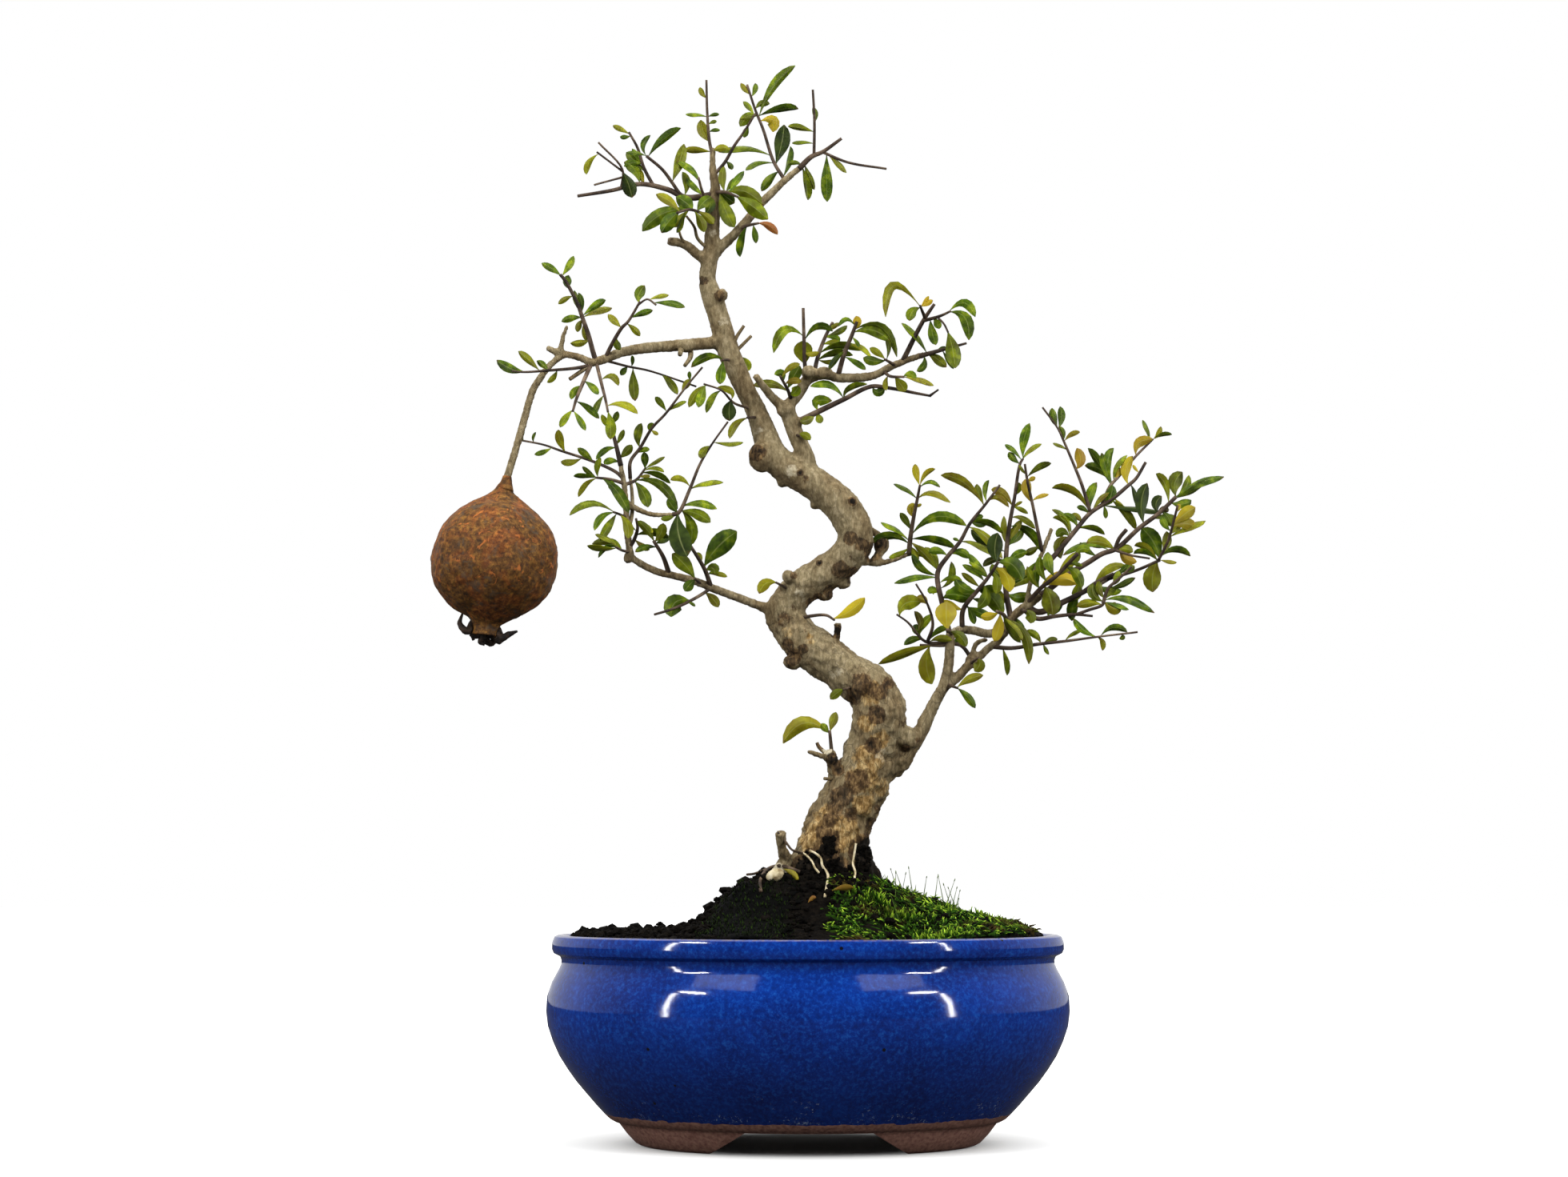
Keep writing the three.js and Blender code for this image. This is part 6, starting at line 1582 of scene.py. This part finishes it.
sprigs["leader_arc"] = (
    ((4, 3, -12, 946, 523, 934, 522),),
    ((9, 936, 522, 915, 526, 912, 548),),
)
sprigs["fork_low"] = (
    ((4, 3, -10, 990, 546, 999, 544),),
    ((10, 997, 544, 1006, 540, 1013, 550),),
)
sprigs["arm_leaf"] = (
    ((4, 3, -12, 876, 731, 868, 723),),
    ((19, 869, 724, 858, 704, 840, 692), (13, 869, 724, 862, 729, 856, 739)),
)
sprigs["arm_under"] = (
    ((5, 3, -16, 890, 732, 880, 741, 857, 754, 838, 762, 818, 768),),
    ((12, 881, 741, 892, 746, 898, 759), (24, 862, 751, 838, 744, 839, 771),
     (4, 858, 753, 865, 753, 869, 758)),
)
sprigs["knee_left"] = (
    ((5, 3, -9, 988, 731, 970, 728),),
    ((14, 972, 728, 955, 722, 949, 742),),
)
sprigs["knee_yellow"] = (
    ((5, 3, -12, 992, 772, 1013, 770, 1033, 769, 1043, 775),),
    ((15, 1041, 773, 1063, 768, 1081, 747),),
)
sprigs["elbow_leaf"] = (
    ((5, 3, -14, 1070, 862, 1054, 862),),
    ((11, 1056, 862, 1046, 864, 1038, 874),),
)
sprigs["stub_leaves"] = (
    ((6, 4, -10, 1042, 947, 1039, 934, 1037, 913),),
    ((11, 1037, 915, 1041, 902, 1045, 890), (9, 1037, 916, 1031, 911, 1027, 904),
     (19, 1037, 917, 1002, 884, 979, 929)),
)
sprigs["arm_dark"] = (
    ((5, 3, -18, 1118, 457, 1106, 449),),
    ((12, 1108, 451, 1092, 454, 1079, 447), (9, 1107, 449, 1098, 440, 1087, 435),
     (5, 1108, 450, 1114, 432, 1107, 424)),
)
sprigs["elbow_round"] = (
    ((5, 4, -22, 1190, 794, 1184, 787),),
    ((27, 1184, 788, 1182, 770, 1183, 752), (13, 1186, 790, 1201, 790, 1208, 808)),
)
sprigs["arm_bud"] = (
    ((5, 3, -12, 1183, 854, 1197, 860),),
    ((11, 1196, 860, 1210, 846, 1229, 844), (10, 1196, 860, 1210, 868, 1219, 885)),
)
sprigs["arm_bud_high"] = (
    ((4, 3, -8, 1212, 829, 1222, 822),),
    ((15, 1220, 822, 1230, 829, 1218, 839),),
)
sprigs["heart_round"] = (
    ((5, 4, -14, 1276, 762, 1282, 764),),
    ((14, 1280, 763, 1292, 766, 1288, 779),),
)


leafSizes = {
    "lean": 0.3,  # share of its length that a leaf may lean
    "leanSteps": (0, 0.35, -0.35, 0.7, -0.7, 1.05, -1.05),
    "widest": (4.4, 0.27),  # a narrower one is seen turned: mm at most, and share of its length
    "roll": 0.75,
    "thickness": 0.00026,
    "fold": 0.16,
    "wave": 0.035,
    "sharpAngle": 50,
    "tipNear": 0.0002,  # a solid's leaf is found when its tip is this near
    "yellow": 0.36,
    "brown": 0.35,
    "dark": 0.6,
}

# width along a leaf, and where: a short stalk, fullest well past the middle, a blunt tip
leafOutline = (0.07, 0.1, 0.28, 0.54, 0.8, 0.97, 1.0, 0.88, 0.56, 0.06)
leafStations = (0.0, 0.07, 0.16, 0.28, 0.41, 0.54, 0.67, 0.8, 0.92, 1.0)


def leafMaster():
    last = len(leafOutline) - 1
    deselectAll()
    bpy.ops.mesh.primitive_grid_add(x_subdivisions=4, y_subdivisions=last, size=1, calc_uvs=True)
    master = bpy.context.object
    places = corners(master)
    rows = np.round((places[:, 1] + 0.5) * last).astype(int)
    places[:, 0] *= np.array(leafOutline)[rows]
    places[:, 1] = np.array(leafStations)[rows]
    setCorners(master, places)
    return master


def leafSeed(leaf):
    return 1 + sum(value * (7 + 12 * i) for i, value in enumerate(leaf[1:]))


def leafSpots(leaf, own, lean):
    draw = draws(leafSeed(leaf))
    start, arch, end = pairsOf(leaf[1:])
    root = nearest(own, *start)
    length = math.hypot(end[0] - root[0], end[1] - root[1]) / sheet["unitsPerMm"]
    leaning = (next(draw) * 2 - 1) * leafSizes["lean"] * length
    turned = -1 if next(draw) < 0.5 else 1
    drop = leaning + lean * length
    drawnWidth = leaf[0] / sheet["unitsPerMm"]
    widest, share = leafSizes["widest"]
    width = max(drawnWidth, min(widest, share * length))
    roll = turned * math.acos(min(1, drawnWidth / width)) * leafSizes["roll"]
    return at(*root), at(*arch, root[2] + drop * 0.45), at(*end, root[2] + drop), width / 1000, roll


# the lean that the solid's leaf took, found by its tip
def solidLean(leaf, own, tips):
    for lean in leafSizes["leanSteps"]:
        if tips.find(leafSpots(leaf, own, lean)[2])[2] < leafSizes["tipNear"]:
            return lean
    return 0


def bendLeaf(master, leaf, spots, tone):
    base, bend, tip, width, roll = spots
    draw = draws(leafSeed(leaf) + 17)
    fold = leafSizes["fold"] * (0.3 + 1.2 * next(draw)) * width
    phase = next(draw) * 6.3
    curl = (next(draw) - 0.4) * 0.1
    places = corners(master)
    out = np.zeros_like(places)
    for i, (across, along, _) in enumerate(places):
        t = float(along)
        spot = base * (1 - t) ** 2 + bend * 2 * t * (1 - t) + tip * t * t
        tangent = ((bend - base) * (1 - t) + (tip - bend) * t).normalized()
        side = tangent.cross(Vector((0, 1, 0))).normalized()
        side.rotate(Matrix.Rotation(roll, 3, tangent))
        face = side.cross(tangent)
        wave = math.sin(t * 11 + phase) * leafSizes["wave"] * width * abs(across) * 2
        rise = fold * abs(across) * 2 + wave + curl * width * t * t * 4 * abs(across)
        out[i] = spot + side * (float(across) * width) + face * rise
    copy = master.copy()
    copy.data = master.data.copy()
    bpy.context.scene.collection.objects.link(copy)
    setCorners(copy, out)
    paintAll(copy, "leafTone", tone)
    return copy


# how yellow, how brown and how dark a leaf is, with a draw of its own; leaves in shade are made fully dark,
# as painted shade
def leafTone(leaf):
    draw = draws(leafSeed(leaf) + 5)
    next(draw)
    column, row = (leaf[1] + 2 * leaf[3] + leaf[5]) / 4, (leaf[2] + 2 * leaf[4] + leaf[6]) / 4
    yellow, brown = next(draw) ** 3 * leafSizes["yellow"], next(draw) ** 12 * leafSizes["brown"]
    dark = next(draw) * leafSizes["dark"]
    for x, y, reach, howYellow, howBrown in turnedLeaves:
        if math.hypot(column - x, row - y) < reach:
            yellow, brown, dark = howYellow, howBrown, 0.1
    # painted shade: leaves in shade take the full dark green
    for x, y, reach in shadedLeaves:
        if math.hypot(column - x, row - y) < reach:
            yellow, dark = 0.0, 1.0
    return (yellow, brown, dark)


def joinLeaves(name, made, skin):
    whole = joinPieces(name, made)
    applyModifier(whole, "SOLIDIFY", thickness=leafSizes["thickness"], offset=0)
    smooth(whole, leafSizes["sharpAngle"])
    setSkin(whole, skin)
    return whole


# a spray is its shoots and its leaves in one piece
def makeSpray(name, drawn, tips, master, skins):
    shoots, leaves = drawn
    own, lines = [], []
    for shoot in shoots:
        line = growLine(own or shoulders, own, shoot)
        lines.append((*line, 6 * (len(line[0]) - 1)))
    twigs = roundLines(name + "_shoots", lines, 8)
    smooth(twigs)
    setSkin(twigs, skins[0])
    made = [
        bendLeaf(master, leaf, leafSpots(leaf, own, solidLean(leaf, own, tips)), leafTone(leaf))
        for leaf in leaves
    ]
    return joinPieces(name, [twigs, joinLeaves(name + "_leaves", made, skins[1])])


def tipsOf(node):
    places = corners(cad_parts[node])
    tree = kdtree.KDTree(len(places))
    for i, place in enumerate(places):
        tree.insert(place, i)
    tree.balance()
    return tree


# leaves lying on the soil: drawn width, first and last spot, then how yellow, brown and dark
fallenLeaves = (
    (8, 979, 1086, 998, 1099, 0.45, 0.15, 0.1), (8, 1040, 1113, 1067, 1110, 0.3, 0.5, 0.7),
    (6, 1010, 1128, 1020, 1122, 0.3, 0.8, 0.3),
)


def makeFallenLeaves(surfaces, master, skin):
    made = []
    for drawnWidth, *flat in fallenLeaves:
        base, tip = layOn(surfaces, *flat[:2], 0.001), layOn(surfaces, *flat[2:4], 0.0012)
        bend = (base + tip) / 2 + Vector((0, -0.0005, 0.0012))
        spots = (base, bend, tip, fromSheet(drawnWidth), 0.5)
        made.append(bendLeaf(master, (drawnWidth, *flat[:4], *flat[:2]), spots, flat[4:]))
    return joinLeaves("fallen_leaves", made, skin)


def makeFoliage(surfaces):
    skins = (twigBark(), pomegranateLeaf())
    master = leafMaster()
    finishPiece(makeFallenLeaves(surfaces, master, skins[1]), "leaves")
    woodTips = tipsOf("wood")
    small = [makeSpray("sprig_" + name, drawn, woodTips, master, skins) for name, drawn in sprigs.items()]
    finishPiece(joinPieces("sprigs_on_bark", small), "leaves")
    for name, drawn in sprays.items():
        piece = makeSpray("leafy_" + name, drawn, tipsOf("spray_" + name), master, skins)
        finishPiece(piece, "leaves", "spray_" + name)
    bpy.data.objects.remove(master)


# Young shoots: smooth thin bark, dark red-brown with paler grey patches.
def twigBark():
    skin, tree, place = newSkin("YoungShootBark")
    patches = addNode(tree, "TexNoise", grainOf(place, 7, 3))
    browns = ((0.34, "#231912"), (0.54, "#4A3A2C"), (0.72, "#786550"))
    colour = addNode(tree, "ValToRGB", {0: patches}, browns)
    return finishSkin(skin, {"Base Color": colour, "Roughness": 0.7})


# Pomegranate leaf: thin, smooth and slightly shiny, with a paler midrib; some have turned yellow or brown,
# and a darker green is laid on some at random and on those in shade as painted shade.
def pomegranateLeaf():
    skin, tree, place = newSkin("PomegranateLeaf")
    tone = addNode(tree, "VertexColor", layer_name="leafTone")
    parts = addNode(tree, "SeparateColor", {0: tone})
    cloud = addNode(tree, "TexNoise", grainOf(place, 4.5, 3))
    green = addNode(tree, "ValToRGB", {0: cloud}, ((0.3, "#263A04"), (0.52, "#506A07"), (0.74, "#94A416")))
    deep = addNode(tree, "ValToRGB", {0: cloud}, ((0.3, "#172206"), (0.7, "#334111")))
    flat = addNode(tree, "SeparateXYZ", {0: addNode(tree, "UVMap")})
    offMiddle = addNode(tree, "Math", {0: (flat, "X"), 1: 0.5}, operation="SUBTRACT")
    away = addNode(tree, "Math", {0: offMiddle}, operation="ABSOLUTE")
    rib = addNode(tree, "MapRange", span(away, 0.015, 0.05, 0.2, 0))
    spots = addNode(tree, "TexNoise", grainOf(place, 2.6, 2))
    patchy = addNode(tree, "ValToRGB", {0: spots}, ((0.5, 0.0), (0.62, 1.0)))
    tip = addNode(tree, "MapRange", span((flat, "Y"), 0.86, 1))
    burnt = addNode(tree, "Math", {0: tip, 1: patchy}, operation="MULTIPLY")
    return finishSkin(skin, {
        "Base Color": layCoats(
            tree, green, ((parts, "Blue"), deep), ((parts, "Red"), "#BCA422"), ((parts, "Green"), "#8A5424"),
            (rib, "#B4B878"), (burnt, "#5A3A1C"),
        ),
        "Roughness": 0.42,
        "IOR": 1.45,
        "Specular IOR Level": 0.26,
        "Subsurface Weight": 0.2,
        "Subsurface Radius": (0.4, 0.7, 0.1),
        "Subsurface Scale": 0.001,
        "Normal": addNode(tree, "Bump", {"Height": cloud, "Strength": 0.15, "Distance": 0.0003}),
    })


fruitSizes = {
    "sides": 64,
    "mouth": (6, 0.6),  # how far the crown's mouth turns back in, and how narrow
    "sixSides": 0.022,
    "threeSides": 0.016,
    "bumps": (("CLOUDS", 0.011, 0.0022, "", 2), ("CLOUDS", 0.0028, 0.0007, "", 3)),
    "collar": (0.0019, 0.0026, 0.004),
    "lobe": (0.0019, 0.0017, 0.0012, 0.0005),
    "lobeBumps": (("CLOUDS", 0.002, 0.0009, "", 2),),
}

# along its own axis and out from it, in sheet units, from the stalk to the crown
fruitProfile = (
    (0, 5), (4, 8), (10, 12), (19, 21), (26, 33), (33, 45), (42, 55), (50, 63), (60, 70), (73, 75.5),
    (87, 78.7), (100, 79.6), (114, 78.6), (126, 75.6), (137, 70.5), (147, 63), (157, 53), (164, 42),
    (170, 30), (176, 21), (182, 16), (189, 15.5), (195, 17),
)
calyxLobes = (
    ((592, 778), (584, 789), (575, 780), (578, 767)), ((606, 786), (598, 794), (590, 793), (592, 800)),
    ((612, 788), (608, 798), (614, 805), (622, 800)), ((620, 784), (628, 797), (638, 792), (647, 789)),
    ((600, 786), (604, 796), (600, 802), (606, 806)), ((616, 784), (616, 795), (624, 802), (630, 800)),
)


def makeFruit():
    top, crown = at(631, 603, -18), at(606, 796, -19)
    unit = 0.001 / sheet["unitsPerMm"]
    deselectAll()
    bpy.ops.mesh.primitive_circle_add(vertices=fruitSizes["sides"], radius=fruitProfile[0][1] * unit)
    rind = bpy.context.object
    editMesh()
    for before, after in zip(fruitProfile, fruitProfile[1:]):
        bpy.ops.mesh.extrude_edges_move(
            TRANSFORM_OT_translate={"value": (0, 0, (after[0] - before[0]) * unit)}
        )
        share = after[1] / before[1]
        bpy.ops.transform.resize(value=(share, share, 1), center_override=(0, 0, after[0] * unit))
    # the mouth turns back in, and both ends are drawn together
    inward, narrow = fruitSizes["mouth"]
    bpy.ops.mesh.extrude_edges_move(TRANSFORM_OT_translate={"value": (0, 0, -inward * unit)})
    mouth = (0, 0, (fruitProfile[-1][0] - inward) * unit)
    bpy.ops.transform.resize(value=(narrow, narrow, 1), center_override=mouth)
    bpy.ops.mesh.extrude_edges_move()
    bpy.ops.mesh.merge(type="CENTER")
    bpy.ops.mesh.select_all(action="DESELECT")
    bpy.ops.mesh.select_non_manifold()
    bpy.ops.mesh.extrude_edges_move()
    bpy.ops.mesh.merge(type="CENTER")
    leaveEdit()
    cleanMesh(rind, 0.000001)
    applyModifier(rind, "SUBSURF", levels=2, render_levels=2)
    places = corners(rind)
    turn = np.arctan2(places[:, 1], places[:, 0])
    along = places[:, 2] / unit
    six, three = np.cos(6 * turn + 0.6), np.sin(3 * turn + along * 0.02)
    facets = 1 + fruitSizes["sixSides"] * six + fruitSizes["threeSides"] * three
    places[:, 0] *= facets
    places[:, 1] *= facets
    setCorners(rind, places)
    roughen(rind, fruitSizes["bumps"])
    # it hangs from its stalk, a little off the upright
    rind.matrix_world = Matrix.Translation(top) @ (crown - top).to_track_quat("Z", "Y").to_matrix().to_4x4()
    applyPlace(rind)
    smooth(rind)
    neck = [at(634, 595, -18), at(633, 603, -18), at(631, 612, -18)]
    collar = roundLines("collar", [(neck, fruitSizes["collar"], 10)], 20)
    smooth(collar)
    rind = joinPieces("dried_fruit", [rind, collar])
    setSkin(rind, driedRind())
    lobes = makeCalyx()
    setSkin(lobes, driedCalyx())
    finishPiece(joinPieces("dried_fruit", [rind, lobes]), "dried_fruit", "fruit")


def makeCalyx():
    lines = []
    for i, lobe in enumerate(calyxLobes):
        depth = -18 + (i % 3 - 1) * 4
        points = [at(column, row, -18 if k == 0 else depth) for k, (column, row) in enumerate(lobe)]
        lines.append((points, fruitSizes["lobe"], 16))
    lobes = roundLines("calyx", lines, 12)
    roughen(lobes, fruitSizes["lobeBumps"])
    smooth(lobes)
    return lobes


# Dried pomegranate rind: leathery and brown, mottled russet and orange, with a faint waxy sheen.
def driedRind():
    skin, tree, place = newSkin("DriedPomegranateRind")
    fine = addNode(tree, "TexNoise", grainOf(place, 2.2, 9, 0.72))
    broad = addNode(tree, "TexNoise", grainOf(place, 15, 6, 0.68, 1.1))
    patches = addNode(tree, "TexNoise", grainOf(place, 7, 6, 0.7, 1.2))
    cells = addNode(tree, "TexVoronoi", {"Vector": place, "Scale": 1000 / 2.2})
    brown = addNode(tree, "ValToRGB", {0: fine}, ((0.34, "#241506"), (0.5, "#5C3B15"), (0.66, "#906428")))
    russet = addNode(tree, "ValToRGB", {0: fine}, ((0.34, "#3E1C08"), (0.5, "#7A4116"), (0.66, "#A9682C")))
    reddened = addNode(tree, "ValToRGB", {0: broad}, ((0.47, 0.0), (0.57, 0.7)))
    orange = addNode(tree, "ValToRGB", {0: patches}, ((0.6, 0.0), (0.64, 0.8)))
    grey = addNode(tree, "ValToRGB", {0: patches}, ((0.38, 0.7), (0.45, 0.0)))
    dots = addNode(tree, "ValToRGB", {0: cells}, ((0.1, 0.6), (0.2, 0.0)))
    return finishSkin(skin, {
        "Base Color": layCoats(
            tree, brown, (reddened, russet), (orange, "#B4662A"), (grey, "#4E4234"), (dots, "#241608"),
        ),
        "Roughness": addNode(tree, "MapRange", span(fine, 0, 1, 0.5, 0.8)),
        "Specular IOR Level": 0.35,
        "Normal": addNode(tree, "Bump", {"Height": fine, "Strength": 0.5, "Distance": 0.0007}),
    })


# The calyx has dried nearly black and curled.
def driedCalyx():
    skin, tree, place = newSkin("DriedCalyx")
    cloud = addNode(tree, "TexNoise", grainOf(place, 2.2, 4))
    colour = addNode(tree, "ValToRGB", {0: cloud}, ((0.35, "#0D0907"), (0.7, "#3A2717")))
    return finishSkin(skin, {"Base Color": colour, "Roughness": 0.7})


studio = {
    "room": (0.1, 0.75),  # dim in front of the pot and pale behind it
    # the floor's painted glow near the pot and far from it; the lower glow near the pot is a painted contact
    # shadow
    "floorGlow": (0.5, 1.15),  # near the pot and far from it
    "floorSize": 12,
    # on both sides: degrees off the front and up, width and height, power, and if it shows in the glaze
    "lamps": {
        "key": (48, 42, (0.9, 0.9), 9.0, False),
        "strip_top": (48.5, 29, (0.27, 0.03), 3.0, True),
        "strip_side": (56, 10, (0.05, 0.9), 4.5, True),
        "window": (37, 39, (0.62, 0.24), 0.75, True),
    },
    "away": 1.5,
}
potFront = Vector((potMiddle.x, -0.085, 0.07))


# a lamp set up by its direction from the pot's front: degrees to the right, degrees up, metres away
def softbox(name, turn, rise, size, power, seen, away):
    turn, rise = math.radians(turn), math.radians(rise)
    way = Vector((math.sin(turn) * math.cos(rise), -math.cos(turn) * math.cos(rise), math.sin(rise)))
    deselectAll()
    bpy.ops.object.light_add(type="AREA", location=potFront + way * away)
    lamp = bpy.context.object
    lamp.name = name
    lamp.data.shape = "RECTANGLE"
    lamp.data.size, lamp.data.size_y = size
    lamp.data.energy = power
    lamp.rotation_euler = way.to_track_quat("Z", "Y").to_euler()
    lamp.visible_glossy = seen


# Pale matt backdrop paper that glows for the lens: what the lens sees of it is white, while the light it
# gives is softer; its glow fades out near the pot as a painted contact shadow.
def backdropPaper():
    skin, tree, place = newSkin("PaleGlowingPaperWithPaintedShadow")
    oval = addNode(tree, "Mapping", {
        "Vector": place, "Location": (-potMiddle.x, -potMiddle.y * 1.25, 0), "Scale": (1, 1.25, 1),
    })
    far = (addNode(tree, "VectorMath", {0: oval}, operation="LENGTH"), "Value")
    low, high = studio["floorGlow"]
    # painted contact shadow: the glow fades to nothing under and beside the pot, and rises softly away from
    # it
    near = addNode(tree, "MapRange", span(far, 0.055, 0.1, 0, low), interpolation_type="SMOOTHSTEP")
    wide = addNode(tree, "MapRange", span(far, 0.09, 0.3, 0, high - low))
    glowWithPaintedShadow = addNode(tree, "Math", {0: near, 1: wide}, operation="ADD")
    seen = addNode(tree, "LightPath")
    return finishSkin(skin, {
        "Base Color": layCoats(tree, "#3C3C3C", (seen, "#C8C8C6")),
        "Roughness": 0.95,
        "Emission Color": "#FFFFFF",
        "Emission Strength": addNode(tree, "Math", {0: glowWithPaintedShadow, 1: seen}, operation="MULTIPLY"),
    })


def makeStudio():
    deselectAll()
    bpy.ops.mesh.primitive_plane_add(size=studio["floorSize"], location=(0, 0, -0.0001))
    floor = bpy.context.object
    floor.name = "studio_floor"
    setSkin(floor, backdropPaper())
    world = bpy.data.worlds.new("pale_studio")
    bpy.context.scene.world = world
    world.use_nodes = True
    tree = world.node_tree
    sky = tree.nodes["Background"]
    sky.inputs["Color"].default_value = srgb("#FFFFFF")
    way = addNode(tree, "SeparateXYZ", {0: addNode(tree, "TexCoord")})
    room = addNode(tree, "MapRange", span((way, "Y"), -0.5, 0.4, *studio["room"]))
    level = addNode(tree, "MapRange", span(addNode(tree, "LightPath"), 0, 1, room, 1))
    tree.links.new(level.outputs[0], sky.inputs["Strength"])
    for sideName, side in (("_left", -1), ("_right", 1)):
        for name, (turn, *rest) in studio["lamps"].items():
            softbox(name + sideName, turn * side, *rest, studio["away"])
    softbox("top_light", 0, 82, (1.1, 1.1), 16.0, False, 1.4)
    bpy.context.scene.view_settings.view_transform = "Standard"


def makeCamera():
    sheetColumns, sensor = 1960, 36
    eye = Vector(sheet["eye"]) / 1000 + Vector((potMiddle.x, potMiddle.y, 0))
    deselectAll()
    bpy.ops.object.camera_add(location=eye, rotation=(math.pi / 2 + sheet["tilt"], 0, 0))
    camera = bpy.context.object
    camera.data.sensor_width = sensor
    camera.data.lens = sheet["focus"] / sheetColumns * sensor
    bpy.context.scene.camera = camera


makeCamera()
makeStudio()
print("studio ready")
makePot()
makeScreens()
print("pot ready")
makeSoil()
makeMoss()
print("ground ready")
makeWood()
beds = ("soil_bed", "moss_bed", "moss_film_bed", "tree_wood")
surfaces = [topTree(bpy.data.objects[name]) for name in beds]
makeRootBits(surfaces)
print("wood ready")
makeFoliage(surfaces)
print("foliage ready")
makeFruit()
print("fruit ready")
